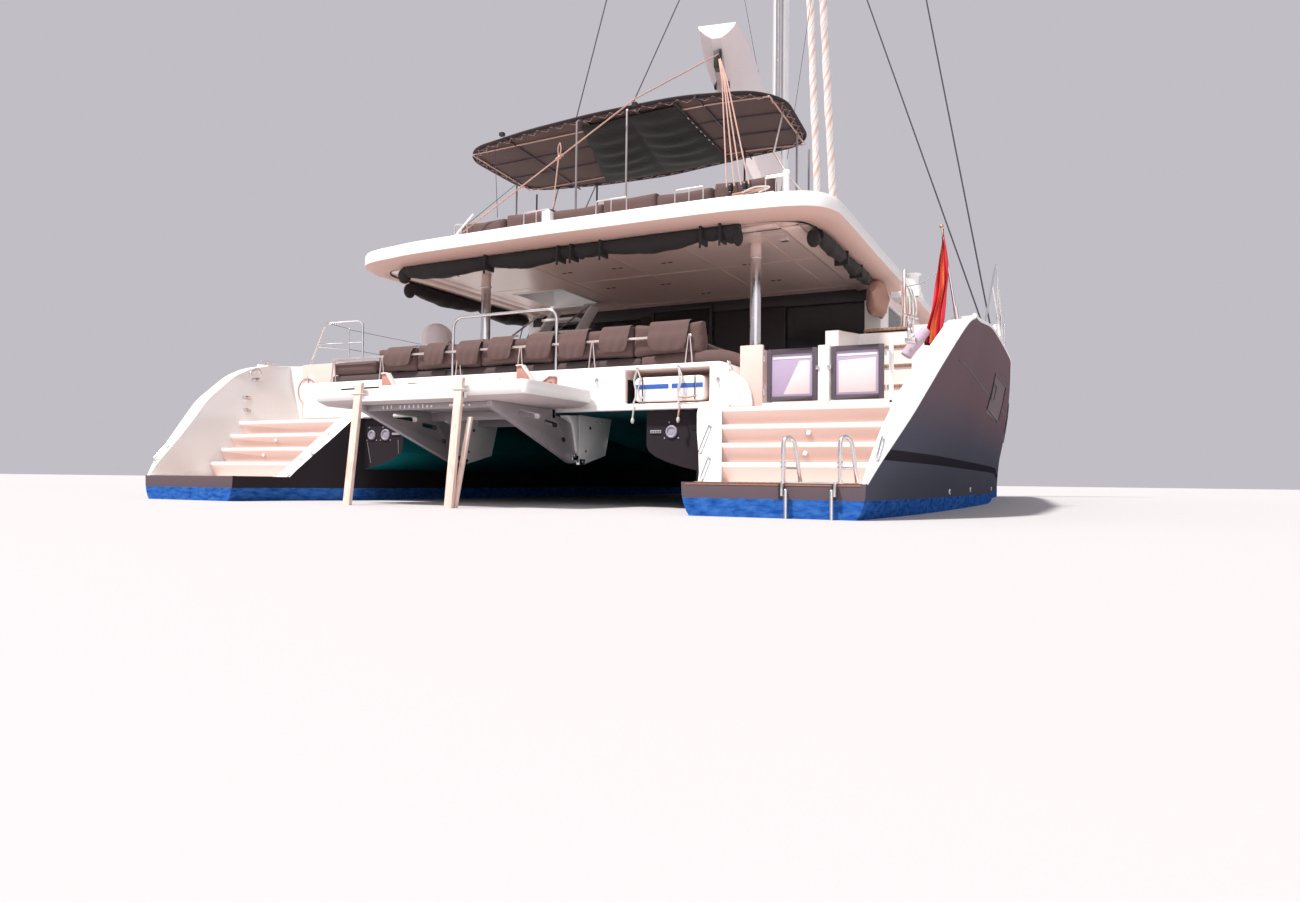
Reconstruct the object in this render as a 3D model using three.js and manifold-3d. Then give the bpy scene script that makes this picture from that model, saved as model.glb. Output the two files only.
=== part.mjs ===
// A 19 m sailing catamaran with a flybridge, at anchor.
// Millimetres. +X is starboard, +Y is the bow, +Z is up.
// The origin is on the centreline, at the waterline, at half the hull length.
import * as THREE from 'three';
import { mergeVertices } from 'three/addons/utils/BufferGeometryUtils.js';
import Module from 'manifold-3d';

const wasm = await Module();
wasm.setup();

// Driving dimensions
const GAP = 0.3;                 // between pieces that bear on each other
const STERN = -9450;             // aft edge of the swim platforms
const STEM = 9450;               // forward end of the hulls
const PLATFORM_Z = 300;          // top of the swim platforms
const LANDING_Z = 1090;          // landing at the head of the transom steps
const BRIDGE_BOTTOM = 1100;      // underside of the bridgedeck
const SOLE_Z = 1450;             // cockpit and saloon sole
const SIDE_DECK_Z = 2130;        // side decks beside the saloon
const ROOF_BOTTOM = 3380;        // ceiling of the cockpit
const ROOF_TOP = 3640;           // sole of the flybridge
const TUNNEL_HALF = 1780;        // inner hull side to the centreline
const STEPS_IN = 3050;           // inboard end of the lowest transom step
const STEPS_HEAD_IN = 2750;      // the same end of the highest step
const STAIR_OUT = 4500;          // outboard side of the side passage
const CUT_FAR = 6000;            // beyond the object on any side, for cuts that run right through
const STEPS_FOOT_Y = -8740;      // lowest riser
const STEPS_HEAD_Y = -8011;      // highest riser
const STEP_COUNT = 4;
const STEP_NOSE = 48;            // upright front of each tread
const STEP_UNDERCUT = 60;        // how far each riser leans in under its tread
const GATE_Y = -7850;            // plane of the cockpit gates
const WELL_AFT_Y = -6900;        // aft end of the sunken side passage floor
const SALOON_AFT_Y = -2850;      // aft face of the saloon
const SALOON_FORE_Y = 3360;      // forward face of the saloon
const MAST_Y = 2110;
const MAST_TOP = 29600;
const HOUNDS_Z = 27200;          // where the stays meet the mast
const BOOM_SWING = 11.5;         // degrees to starboard, as moored
const CROSSBEAM_Y = 7800;
const CROSSBEAM_Z = 2050;

// Colours, roughness and metalness
const finish = (color, roughness, metalness) => new THREE.MeshStandardMaterial({ color, roughness, metalness });
const gelcoat = () => finish(0xf2efec, 0.3, 0);
const topside = () => finish(0x8d8389, 0.25, 0.3);
const antifouling = () => finish(0x1f3f86, 0.8, 0);
const steel = () => finish(0xc9c9cc, 0.2, 1);
const bronze = () => finish(0xb08d57, 0.35, 1);
const alloy = () => finish(0xd9dadd, 0.4, 0.6);
const greyAlloy = () => finish(0x8f8a8c, 0.45, 0.5);
const canvas = () => finish(0x3b2f2d, 0.9, 0);
const cushion = () => finish(0x4a3a37, 0.85, 0);
const glass = () => finish(0x15171b, 0.05, 0.1);
const teak = () => finish(0x9a5f3c, 0.7, 0);
const net = () => finish(0xe6e2dc, 0.9, 0);
const sailcloth = () => finish(0xf0e6df, 0.8, 0);
const flagRed = () => finish(0xc8242b, 0.8, 0);
const sternBoard = () => finish(0xe2c9bd, 0.6, 0);

// Solids from geometry, and back
function solidOf(geometry) {
  const bare = geometry.clone();
  for (const name of Object.keys(bare.attributes)) {
    if (name !== 'position') bare.deleteAttribute(name);
  }
  const merged = mergeVertices(bare, 0.001);
  const vertProperties = Float32Array.from(merged.attributes.position.array);
  const triVerts = Uint32Array.from(merged.index.array);
  return new wasm.Manifold(new wasm.Mesh({ numProp: 3, vertProperties, triVerts }));
}

function geometryOf(solid) {
  const mesh = solid.getMesh();
  const geometry = new THREE.BufferGeometry();
  geometry.setAttribute('position', new THREE.BufferAttribute(mesh.vertProperties, 3));
  geometry.setIndex(new THREE.BufferAttribute(mesh.triVerts, 1));
  geometry.computeVertexNormals();
  return geometry;
}

const join = (solids) => solids.reduce((whole, next) => whole.add(next));

// The same solid on the other side of the centreline
function mirrored(solid) {
  const geometry = geometryOf(solid);
  geometry.scale(-1, 1, 1);
  const index = geometry.index.array;
  for (let i = 0; i < index.length; i += 3) {
    [index[i], index[i + 1]] = [index[i + 1], index[i]];
  }
  return solidOf(geometry);
}

function shifted(solid, x, y, z) {
  const geometry = geometryOf(solid);
  geometry.translate(x, y, z);
  return solidOf(geometry);
}

function box(x0, x1, y0, y1, z0, z1) {
  const geometry = new THREE.BoxGeometry(x1 - x0, y1 - y0, z1 - z0);
  geometry.translate((x0 + x1) / 2, (y0 + y1) / 2, (z0 + z1) / 2);
  return solidOf(geometry);
}

const shapeOf = (points) => new THREE.Shape(points.map(([a, b]) => new THREE.Vector2(a, b)));

// An XY outline raised from z0 to z1
function prismZ(points, z0, z1) {
  const geometry = new THREE.ExtrudeGeometry(shapeOf(points), { depth: z1 - z0, bevelEnabled: false });
  geometry.translate(0, 0, z0);
  return solidOf(geometry);
}

// A YZ outline run from x0 to x1
function prismX(points, x0, x1) {
  const geometry = new THREE.ExtrudeGeometry(shapeOf(points), { depth: x1 - x0, bevelEnabled: false });
  const turn = new THREE.Matrix4().makeBasis(
    new THREE.Vector3(0, 1, 0), new THREE.Vector3(0, 0, 1), new THREE.Vector3(1, 0, 0));
  geometry.applyMatrix4(turn);
  geometry.translate(x0, 0, 0);
  return solidOf(geometry);
}

// An XZ outline run from y0 to y1
function prismY(points, y0, y1) {
  const geometry = new THREE.ExtrudeGeometry(shapeOf(points), { depth: y1 - y0, bevelEnabled: false });
  const turn = new THREE.Matrix4().makeBasis(
    new THREE.Vector3(1, 0, 0), new THREE.Vector3(0, 0, 1), new THREE.Vector3(0, -1, 0));
  geometry.applyMatrix4(turn);
  geometry.translate(0, y1, 0);
  return solidOf(geometry);
}

// A round bar between two points
function rod(from, to, radius, sides = 8) {
  const a = new THREE.Vector3(...from);
  const b = new THREE.Vector3(...to);
  const along = b.clone().sub(a);
  const geometry = new THREE.CylinderGeometry(radius, radius, along.length(), sides);
  const turn = new THREE.Quaternion().setFromUnitVectors(new THREE.Vector3(0, 1, 0), along.normalize());
  geometry.applyQuaternion(turn);
  const middle = a.add(b).multiplyScalar(0.5);
  geometry.translate(middle.x, middle.y, middle.z);
  return solidOf(geometry);
}

const rods = (list, radius, sides = 6) => join(list.map(([from, to]) => rod(from, to, radius, sides)));

// A bent bar through a list of points, each corner filled with a ball
function bentBar(points, radius, sides = 6) {
  const parts = [];
  for (let i = 1; i < points.length; i += 1) {
    parts.push(rod(points[i - 1], points[i], radius, sides));
  }
  for (let i = 1; i < points.length - 1; i += 1) {
    const ball = new THREE.SphereGeometry(radius * 1.05, sides, 4);
    ball.translate(...points[i]);
    parts.push(solidOf(ball));
  }
  return join(parts);
}

// A skin through closed loops of equal length, with a fan over each end
function loft(loops) {
  const count = loops[0].length;
  const positions = loops.flat().flat();
  const index = [];
  for (let k = 1; k < loops.length; k += 1) {
    for (let i = 0; i < count; i += 1) {
      const a = (k - 1) * count + i;
      const b = (k - 1) * count + ((i + 1) % count);
      const c = b + count;
      const d = a + count;
      index.push(a, b, c, a, c, d);
    }
  }
  const middleOf = (loop) => [0, 1, 2].map((n) => loop.reduce((sum, p) => sum + p[n], 0) / count);
  const ends = [[loops[0], 0, true], [loops[loops.length - 1], (loops.length - 1) * count, false]];
  for (const [loop, start, flip] of ends) {
    const hub = positions.length / 3;
    positions.push(...middleOf(loop));
    for (let i = 0; i < count; i += 1) {
      const a = start + i;
      const b = start + ((i + 1) % count);
      index.push(...(flip ? [hub, b, a] : [hub, a, b]));
    }
  }
  const geometry = new THREE.BufferGeometry();
  geometry.setAttribute('position', new THREE.Float32BufferAttribute(positions, 3));
  geometry.setIndex(index);
  if (signedVolume(geometry) < 0) {
    for (let i = 0; i < index.length; i += 3) {
      [index[i], index[i + 1]] = [index[i + 1], index[i]];
    }
    geometry.setIndex(index);
  }
  return solidOf(geometry);
}

function signedVolume(geometry) {
  const p = geometry.attributes.position;
  const index = geometry.index.array;
  const corner = (i) => new THREE.Vector3(p.getX(index[i]), p.getY(index[i]), p.getZ(index[i]));
  let sum = 0;
  for (let i = 0; i < index.length; i += 3) {
    sum += corner(i).dot(corner(i + 1).cross(corner(i + 2)));
  }
  return sum / 6;
}

// The object
const group = new THREE.Group();

function piece(name, solid, material) {
  const mesh = new THREE.Mesh(geometryOf(solid), material);
  mesh.name = name;
  group.add(mesh);
  return mesh;
}

// A starboard solid and its port mirror image
function pair(name, solid, material) {
  piece(`${name}_starboard`, solid, material());
  piece(`${name}_port`, mirrored(solid), material());
}

// Hulls
// y, inner and outer side at platform height, keel depth, inner and outer deck edge, sheer height
const HULL_STATIONS = [
  [STERN, 2954, 4600, -230, 2954, 4960, 2000],
  [-8740, 2810, 4650, -300, 2780, 5080, 2000],
  [-7840, 2450, 4700, -400, 2450, 5180, 2000],
  [-7330, 2480, 4720, -460, 2480, 5200, 2000],
  [-5500, 2600, 4740, -620, 2600, 5200, 2150],
  [-3000, 2700, 4740, -700, 2700, 5170, 2160],
  [-1200, 2735, 4710, -700, 2700, 5045, 2200],
  [0, 2750, 4620, -700, 2700, 4950, 2230],
  [3000, 2850, 4360, -700, 2750, 4700, 2380],
  [5500, 3060, 4120, -640, 3000, 4460, 2450],
  [7500, 3370, 3990, -560, 3330, 4230, 2480],
  [8800, 3640, 3920, -470, 3610, 4020, 2500],
  [STEM, 3800, 3860, -380, 3790, 3870, 2510],
];

function hullSection([y, inner, outer, keel, innerTop, outerTop, sheer]) {
  const middle = (inner + outer) / 2;
  const half = (outer - inner) / 2;
  const pad = Math.min(260, half * 0.4);
  return [
    [innerTop, y, sheer],
    [inner, y, PLATFORM_Z],
    [middle - half * 0.95, y, -60],
    [middle - half * 0.74, y, keel * 0.66],
    [middle - pad, y, keel],
    [middle + pad, y, keel],
    [middle + half * 0.74, y, keel * 0.66],
    [middle + half * 0.95, y, -60],
    [outer, y, PLATFORM_Z],
    [outer + (outerTop - outer) * 0.75, y, (PLATFORM_Z + sheer) / 2 + 100],
    [outerTop, y, sheer],
  ];
}

// y, inner side, height of the knuckle under it
const BULGE_STATIONS = [
  [-7840, TUNNEL_HALF, 540],
  [-4000, TUNNEL_HALF, 620],
  [0, 1850, 760],
  [3600, 2050, 900],
  [6200, 2980, 1350],
];

function bulgeSection([y, inner, knuckle]) {
  return [
    [inner, y, 2130],
    [inner, y, knuckle],
    [inner + (3300 - inner) * 0.45, y, knuckle - 130],
    [3300, y, knuckle - 300],
    [3300, y, 2130],
  ];
}

const CUT_TOP = 2700;
const WING_EDGE = [
  [STERN - 50, PLATFORM_Z], [-9420, PLATFORM_Z], [-9300, 470], [-8890, 900], [-8460, 1360],
  [-7910, 1770], [-7600, 1915], [-7330, 1980], [-7330, CUT_TOP], [STERN - 50, CUT_TOP],
];
const SCOOP_EDGE = [
  [STERN - 50, PLATFORM_Z], [STEPS_FOOT_Y, PLATFORM_Z], [STEPS_HEAD_Y, LANDING_Z],
  [WELL_AFT_Y, LANDING_Z], [WELL_AFT_Y, CUT_TOP], [STERN - 50, CUT_TOP],
];

// x and z of the wing's inner face, which leans outboard, and how far forward it runs
const WING_FACE = [
  [1000, 0], [4560, 0], [4560, PLATFORM_Z], [4620, 760], [4700, LANDING_Z], [4960, 1800], [4990, CUT_TOP],
  [1000, CUT_TOP],
];
// Plan of the steps between the stringer and the wing
const STEPS_PLAN = [
  [STEPS_IN, STEPS_FOOT_Y - 10], [STEPS_IN, STEPS_FOOT_Y], [STEPS_HEAD_IN, STEPS_HEAD_Y],
  [STEPS_HEAD_IN, STEPS_HEAD_Y + 100], [CUT_FAR, STEPS_HEAD_Y + 100], [CUT_FAR, STEPS_FOOT_Y - 10],
];

function stepNotches() {
  const run = (STEPS_HEAD_Y - STEPS_FOOT_Y) / STEP_COUNT;
  const rise = (LANDING_Z - PLATFORM_Z) / STEP_COUNT;
  const notches = [];
  for (let i = 0; i < STEP_COUNT; i += 1) {
    const y = STEPS_FOOT_Y + i * run;
    const z = PLATFORM_Z + i * rise;
    const noseFoot = z + rise - STEP_NOSE;
    notches.push(prismX([
      [y, z], [y + run + STEP_UNDERCUT, z], [y + run, noseFoot], [y + run, z + rise], [y, z + rise],
    ], 1000, CUT_FAR));
  }
  return join(notches).intersect(prismZ(STEPS_PLAN, 0, CUT_TOP));
}

// Four teak-topped steps from the side passage to the side deck
const DECK_STEPS = 4;
const DECK_STEP_RUN = 320;
const STAIR_IN = 3700;

function deckStairCut() {
  const rise = (SIDE_DECK_Z + 20 - LANDING_Z) / DECK_STEPS;
  const outline = [[WELL_AFT_Y - 10, LANDING_Z]];
  for (let i = 0; i < DECK_STEPS; i += 1) {
    outline.push([WELL_AFT_Y + i * DECK_STEP_RUN, LANDING_Z + i * rise]);
    outline.push([WELL_AFT_Y + i * DECK_STEP_RUN, LANDING_Z + (i + 1) * rise]);
  }
  outline.push([WELL_AFT_Y + DECK_STEPS * DECK_STEP_RUN, SIDE_DECK_Z + 20]);
  outline.push([WELL_AFT_Y + DECK_STEPS * DECK_STEP_RUN, CUT_TOP]);
  outline.push([WELL_AFT_Y - 10, CUT_TOP]);
  return prismX(outline, STAIR_IN, STAIR_OUT);
}

// Plan of the saloon, inset by a distance
const saloonHalfPlan = [[3300, SALOON_AFT_Y], [3340, 300], [3080, 2500], [2500, 3150], [1300, 3340]];

function saloonPlan(inset) {
  const centre = [0, (SALOON_AFT_Y + SALOON_FORE_Y) / 2];
  const shrink = ([x, y]) => {
    const sx = Math.sign(x) * (Math.abs(x) - inset);
    const scale = 1 - inset / ((SALOON_FORE_Y - SALOON_AFT_Y) / 2);
    return [sx, centre[1] + (y - centre[1]) * scale];
  };
  const right = saloonHalfPlan.map(shrink);
  const left = right.map(([x, y]) => [-x, y]).reverse();
  return [...right, ...left];
}

const COCKPIT_HALF = 3550;

function hull() {
  const wingFace = prismY(WING_FACE, STERN - 60, WELL_AFT_Y + 10);
  const body = loft(HULL_STATIONS.map(hullSection)).add(loft(BULGE_STATIONS.map(bulgeSection)));
  return body
    .subtract(prismX(WING_EDGE, 0, CUT_FAR))
    .subtract(prismX(SCOOP_EDGE, 0, CUT_FAR).add(stepNotches()).intersect(wingFace))
    .subtract(deckStairCut())
    .subtract(box(0, COCKPIT_HALF, WELL_AFT_Y - 10, SALOON_AFT_Y, SOLE_Z, CUT_TOP))
    .subtract(prismZ(saloonPlan(-GAP), SOLE_Z, CUT_TOP));
}

pair('hull', hull(), topside);

// Stub keels, lofted from a flat pad under each hull down to the shoe
const KEEL_X = 3725;

function foilLoop(x, y, z, chord, thickness) {
  const table = [[0, 0], [0.06, 0.32], [0.25, 0.5], [0.55, 0.42], [1, 0.03]];
  const side = table.map(([along, wide]) => [x + wide * thickness, y - along * chord, z]);
  const other = table.slice(1).reverse().map(([along, wide]) => [x - wide * thickness, y - along * chord, z]);
  return [...side, ...other];
}

pair('keel', loft([
  foilLoop(KEEL_X, 1700, -700 - GAP, 3300, 380),
  foilLoop(KEEL_X, 1500, -1200, 3000, 330),
  foilLoop(KEEL_X, 1250, -1550, 2500, 240),
]), antifouling);

// Spade rudders, each turning about its stock
const RUDDER_X = 3760;
const RUDDER_Y = -8200;

pair('rudder', loft([
  foilLoop(RUDDER_X, RUDDER_Y + 190, -430, 720, 110),
  foilLoop(RUDDER_X, RUDDER_Y + 150, -1400, 560, 70),
]).add(rod([RUDDER_X, RUDDER_Y, -500], [RUDDER_X, RUDDER_Y, -368], 38, 12)), antifouling);

// Propeller shafts on their brackets, and the propellers
const SHAFT_Z = -820;
const PROPELLER_Y = -7150;

pair('shaft', join([
  rod([RUDDER_X, PROPELLER_Y + 110, SHAFT_Z], [RUDDER_X, -5300, SHAFT_Z], 24, 10),
  prismX([[-6900, -860], [-6780, -860], [-6700, -495], [-6950, -470]], RUDDER_X - 16, RUDDER_X + 16),
  rod([RUDDER_X, -6930, SHAFT_Z], [RUDDER_X, -6750, SHAFT_Z], 48, 10),
  prismX([[-5620, -850], [-5300, -850], [-5000, -640], [-5500, -615]], RUDDER_X - 45, RUDDER_X + 45),
]).subtract(shifted(hull(), 0, 0, -GAP)), bronze);

function propeller() {
  const hub = rod([RUDDER_X, PROPELLER_Y - 90, SHAFT_Z], [RUDDER_X, PROPELLER_Y + 95, SHAFT_Z], 50, 12);
  const blades = [0, 1, 2].map((n) => {
    const blade = new THREE.BoxGeometry(150, 16, 240);
    blade.translate(0, 0, 145);
    blade.rotateZ(0.6);
    blade.rotateY((n * Math.PI * 2) / 3);
    blade.translate(RUDDER_X, PROPELLER_Y, SHAFT_Z);
    return solidOf(blade);
  });
  return join([hub, ...blades]);
}

pair('propeller', propeller(), bronze);

// Bridgedeck between the hulls, with the nacelle under it and the foredeck ahead of the saloon
const BRIDGE_HALF = TUNNEL_HALF - GAP;
const BRIDGE_AFT_Y = -7840;
const FOREDECK_Y = 5200;
const bridgeProfile = [
  [BRIDGE_AFT_Y, BRIDGE_BOTTOM], [3600, BRIDGE_BOTTOM], [FOREDECK_Y, 1500], [FOREDECK_Y, SIDE_DECK_Z],
  [1000, SIDE_DECK_Z], [1000, SOLE_Z], [BRIDGE_AFT_Y, SOLE_Z],
];
const nacelle = loft([
  [[-500, -6200, 1110], [-60, -6200, 1090], [60, -6200, 1090], [500, -6200, 1110]],
  [[-700, -3500, 1110], [-180, -3500, 720], [180, -3500, 720], [700, -3500, 1110]],
  [[-700, 2600, 1110], [-180, 2600, 760], [180, 2600, 760], [700, 2600, 1110]],
  [[-300, 4600, 1360], [-60, 4600, 1340], [60, 4600, 1340], [300, 4600, 1360]],
]);
const RAFT_X0 = 1550;
const RAFT_X1 = 2540;
const RAFT_FLOOR = 1185;
const BEAM_AFT_Y = -7900;
const raftRecess = box(RAFT_X0, RAFT_X1, BEAM_AFT_Y - 50, BEAM_AFT_Y + 450, RAFT_FLOOR, 1530);
const bridgedeck = prismX(bridgeProfile, -BRIDGE_HALF, BRIDGE_HALF).add(nacelle)
  .subtract(raftRecess)
  .subtract(prismZ(saloonPlan(-GAP), SOLE_Z, CUT_TOP));
piece('bridgedeck', bridgedeck, gelcoat());

// Aft beam of the cockpit, with the recess that holds the life raft
const BEAM_FORE_Y = -7230;
const BEAM_TOP = 1600;
const BEAM_PORT_X = -3560;
const beamOutline = [
  [BEAM_PORT_X, LANDING_Z + GAP], [2860, LANDING_Z + GAP], [2845, 1440],
  [2720, 1585], [2680, BEAM_TOP], [BEAM_PORT_X, BEAM_TOP],
];
const beamBody = prismY(beamOutline, BEAM_AFT_Y, BEAM_FORE_Y)
  .subtract(box(-TUNNEL_HALF, TUNNEL_HALF, BRIDGE_AFT_Y - GAP, BEAM_FORE_Y + 10, 1000, SOLE_Z + GAP))
  .subtract(raftRecess);
piece('aft_beam', beamBody, gelcoat());

// Life raft in its canister, lying across the recess
function capsuleOutline(halfWidth, halfHeight, corner) {
  const points = [];
  for (const [sx, sz, from] of [[1, 1, 0], [-1, 1, 90], [-1, -1, 180], [1, -1, 270]]) {
    for (let i = 0; i <= 3; i += 1) {
      const angle = ((from + i * 30) * Math.PI) / 180;
      const x = sx * (halfWidth - corner) + corner * Math.cos(angle);
      const z = sz * (halfHeight - corner) + corner * Math.sin(angle);
      points.push([x, z]);
    }
  }
  return points;
}

const RAFT_HALF_HEIGHT = 140;
const raftMiddle = [2060, RAFT_FLOOR + GAP + RAFT_HALF_HEIGHT];
const raftOutline = capsuleOutline(430, RAFT_HALF_HEIGHT, 70).map(([x, z]) => [x + raftMiddle[0], z + raftMiddle[1]]);
piece('life_raft', prismY(raftOutline, BEAM_AFT_Y + 20, BEAM_AFT_Y + 430), gelcoat());

// Saloon, a ring of wall with windows, a glass ring inside it and a sliding door aft
const WALL = 70;
const DOOR_X0 = -700;
const DOOR_X1 = 500;
const DOOR_TOP = 3300;
const WINDOW_SILL = 2330;
const WINDOW_TOP = 3180;
const saloonOuter = prismZ(saloonPlan(0), SOLE_Z + GAP, ROOF_BOTTOM - GAP);
const saloonInner = prismZ(saloonPlan(WALL), SOLE_Z - 10, ROOF_BOTTOM + 10);
// x0, x1, y0, y1 of the boxes that cut the windows
const WINDOW_CUTS = [
  [-3600, 3600, -2300, 300],
  [-3600, 3600, 420, 2300],
  [-2350, -1450, 2400, 3700],
  [-1300, -60, 2900, 3700],
  [60, 1300, 2900, 3700],
  [1450, 2350, 2400, 3700],
];
const windowCuts = join(WINDOW_CUTS.map(([x0, x1, y0, y1]) => box(x0, x1, y0, y1, WINDOW_SILL, WINDOW_TOP)));
const aftWindow = (x0, x1) => box(x0, x1, SALOON_AFT_Y - 100, SALOON_AFT_Y + 200, 1700, WINDOW_TOP);
const saloonShell = saloonOuter.subtract(saloonInner)
  .subtract(windowCuts)
  .subtract(box(DOOR_X0, DOOR_X1, SALOON_AFT_Y - 100, SALOON_AFT_Y + 200, SOLE_Z + 30, DOOR_TOP))
  .subtract(aftWindow(-3050, -900))
  .subtract(aftWindow(1750, 3050));
piece('saloon_shell', saloonShell, gelcoat());

const GLASS_SILL = 1640;
const glassRing = prismZ(saloonPlan(WALL + 1), GLASS_SILL, WINDOW_TOP + 60)
  .subtract(prismZ(saloonPlan(WALL + 11), GLASS_SILL - 20, WINDOW_TOP + 80))
  .subtract(box(DOOR_X0 - 100, DOOR_X1 + 100, SALOON_AFT_Y - 10, SALOON_AFT_Y + 300, 1500, 3400));
piece('saloon_glazing', glassRing, glass());
const doorY = SALOON_AFT_Y - 50;
const doorFrame = box(DOOR_X0 + 20, DOOR_X1 - 20, doorY, doorY + 40, SOLE_Z + 12, DOOR_TOP + 20);
piece('saloon_door', doorFrame, glass());

// Hardtop over the cockpit and saloon, which is the flybridge sole
const ROOF_AFT_Y = -7190;
const ROOF_HALF = 3620;
const ROOF_FORE_Y = 4050;
const roofHalfPlan = [
  [0, ROOF_AFT_Y - 40], [2100, ROOF_AFT_Y], [2700, ROOF_AFT_Y + 60], [3150, ROOF_AFT_Y + 130],
  [3430, ROOF_AFT_Y + 260], [3580, ROOF_AFT_Y + 490], [ROOF_HALF, ROOF_AFT_Y + 890], [3600, -4500], [3540, 1200],
  [3300, 2700], [2700, 3600], [1500, ROOF_FORE_Y - 60],
];
const roofPlan = [
  ...roofHalfPlan, [0, ROOF_FORE_Y], ...roofHalfPlan.slice(1).map(([x, y]) => [-x, y]).reverse(),
];
const HATCH = [-2350, -1350, -4700, -3500];

// The roof's outline moved in by a distance, at a height
function roofLoop(inset, z) {
  return roofPlan.map(([x, y], i) => {
    const [ax, ay] = roofPlan[(i + roofPlan.length - 1) % roofPlan.length];
    const [bx, by] = roofPlan[(i + 1) % roofPlan.length];
    const length = Math.hypot(bx - ax, by - ay);
    return [x - (inset * (by - ay)) / length, y + (inset * (bx - ax)) / length, z];
  });
}

// inset and height of the soffit's edge, the lip, the shoulder and the flybridge sole
const ROOF_RIM = [[60, ROOF_BOTTOM], [0, 3420], [0, 3560], [110, ROOF_TOP]];
const hardtop = loft(ROOF_RIM.map(([inset, z]) => roofLoop(inset, z)))
  .subtract(box(HATCH[0], HATCH[1], HATCH[2], HATCH[3], ROOF_BOTTOM - 50, ROOF_TOP + 50));
piece('hardtop', hardtop, gelcoat());

// Steps from the cockpit through the hatch to the flybridge
function flybridgeStairs() {
  const treads = [];
  const count = 7;
  const rise = (ROOF_BOTTOM - 60 - SOLE_Z) / count;
  for (let i = 0; i < count; i += 1) {
    const z = SOLE_Z + rise * (i + 1);
    const y = HATCH[2] - 650 + i * 255;
    treads.push(box(HATCH[0] + 120, HATCH[1] - 120, y, y + 260, z - 40, z));
  }
  const aft = HATCH[2] - 650;
  const slope = [
    [aft - 60, SOLE_Z + GAP], [aft + 260, SOLE_Z + GAP], [aft + 1980, ROOF_BOTTOM - 60],
    [aft + 1700, ROOF_BOTTOM - 60],
  ];
  const side = (x) => prismX(slope, x, x + 40);
  return join([...treads, side(HATCH[0] + 100), side(HATCH[1] - 140)]);
}
piece('flybridge_stairs', flybridgeStairs(), gelcoat());

// Two steel posts under the hardtop
const POST_Y = -5960;
const POSTS = { port: -1930, starboard: 2370 };
const POST_RADIUS = 72;
for (const [side, x] of Object.entries(POSTS)) {
  const foot = [x, POST_Y, SOLE_Z + GAP];
  const head = [x, POST_Y, ROOF_BOTTOM - GAP];
  piece(`hardtop_post_${side}`, rod(foot, head, POST_RADIUS, 16), steel());
}

// Cockpit sofa along the aft beam, its cushions, the table and the starboard lounge
const SOFA_X0 = -3500;
const SOFA_X1 = 2080;
const SEAT_FORE_Y = -6560;
piece('cockpit_sofa_base', box(SOFA_X0, SOFA_X1, BEAM_FORE_Y + GAP, SEAT_FORE_Y, SOLE_Z + GAP, 1790), gelcoat());
piece('cockpit_seat_cushions', box(SOFA_X0, SOFA_X1, BEAM_FORE_Y + 20, SEAT_FORE_Y + 20, 1792, 1930), cushion());
piece('cockpit_back_cushions', box(SOFA_X0, 2560, BEAM_FORE_Y - 190, BEAM_FORE_Y - 20, BEAM_TOP + 4, 2120), cushion());
piece('cockpit_table', join([
  box(-1500, 900, -5900, -4900, 2150, 2190),
  box(-1000, -800, -5500, -5300, SOLE_Z + GAP, 2160),
  box(200, 400, -5500, -5300, SOLE_Z + GAP, 2160),
]), teak());
piece('starboard_lounge', box(2480, 3300, -4700, -3400, SOLE_Z + GAP, 1930)
  .add(box(3120, 3300, -4700, -3400, 1900, 2330)), cushion());

// Cabinet by the port coaming, with a round covered grill on it
piece('grill_cabinet', box(-3300, -2520, -6350, -5600, SOLE_Z + GAP, 2210), gelcoat());
const grillBall = new THREE.SphereGeometry(255, 16, 10);
grillBall.translate(-2870, -5950, 2210 + 255);
piece('grill_cover', solidOf(grillBall).subtract(box(-3300, -2500, -6400, -5500, 2100, 2250))
  .add(rod([-2870, -5950, 2210 + GAP], [-2870, -5950, 2300], 120, 12)), sailcloth());

// Gates at the head of the starboard steps, each hinged to a fixed post
const GATE_Z0 = 1150;
const GATE_Z1 = 1690;
const GATE_THICKNESS = 40;
const INNER_GATE = [3190, 3728];
const OUTER_GATE = [3872, 4400];
const PLINTH_TOP = 1754;
const gatePanel = ([x0, x1]) => box(x0, x1, GATE_Y, GATE_Y + GATE_THICKNESS, GATE_Z0, GATE_Z1);
piece('gate_inner', gatePanel(INNER_GATE), greyAlloy());
piece('gate_outer', gatePanel(OUTER_GATE), greyAlloy());
piece('gate_surround', join([
  prismZ([[2890, GATE_Y], [3110, GATE_Y], [3110, GATE_Y + 50], [3050, GATE_Y + 50], [3050, GATE_Y + 600],
    [2890, GATE_Y + 600]], LANDING_Z + GAP, PLINTH_TOP),
  box(3050, 3140, GATE_Y, GATE_Y + 60, LANDING_Z + GAP, GATE_Z1),
  box(3740, 3860, GATE_Y - 10, GATE_Y + 50, LANDING_Z + GAP, GATE_Z1 + 20),
  box(4450, 4490, GATE_Y, GATE_Y + 60, LANDING_Z + GAP, GATE_Z1),
  box(3050, 4690, GATE_Y, GATE_Y + 50, LANDING_Z + GAP, LANDING_Z + 45),
]), gelcoat());

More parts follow.
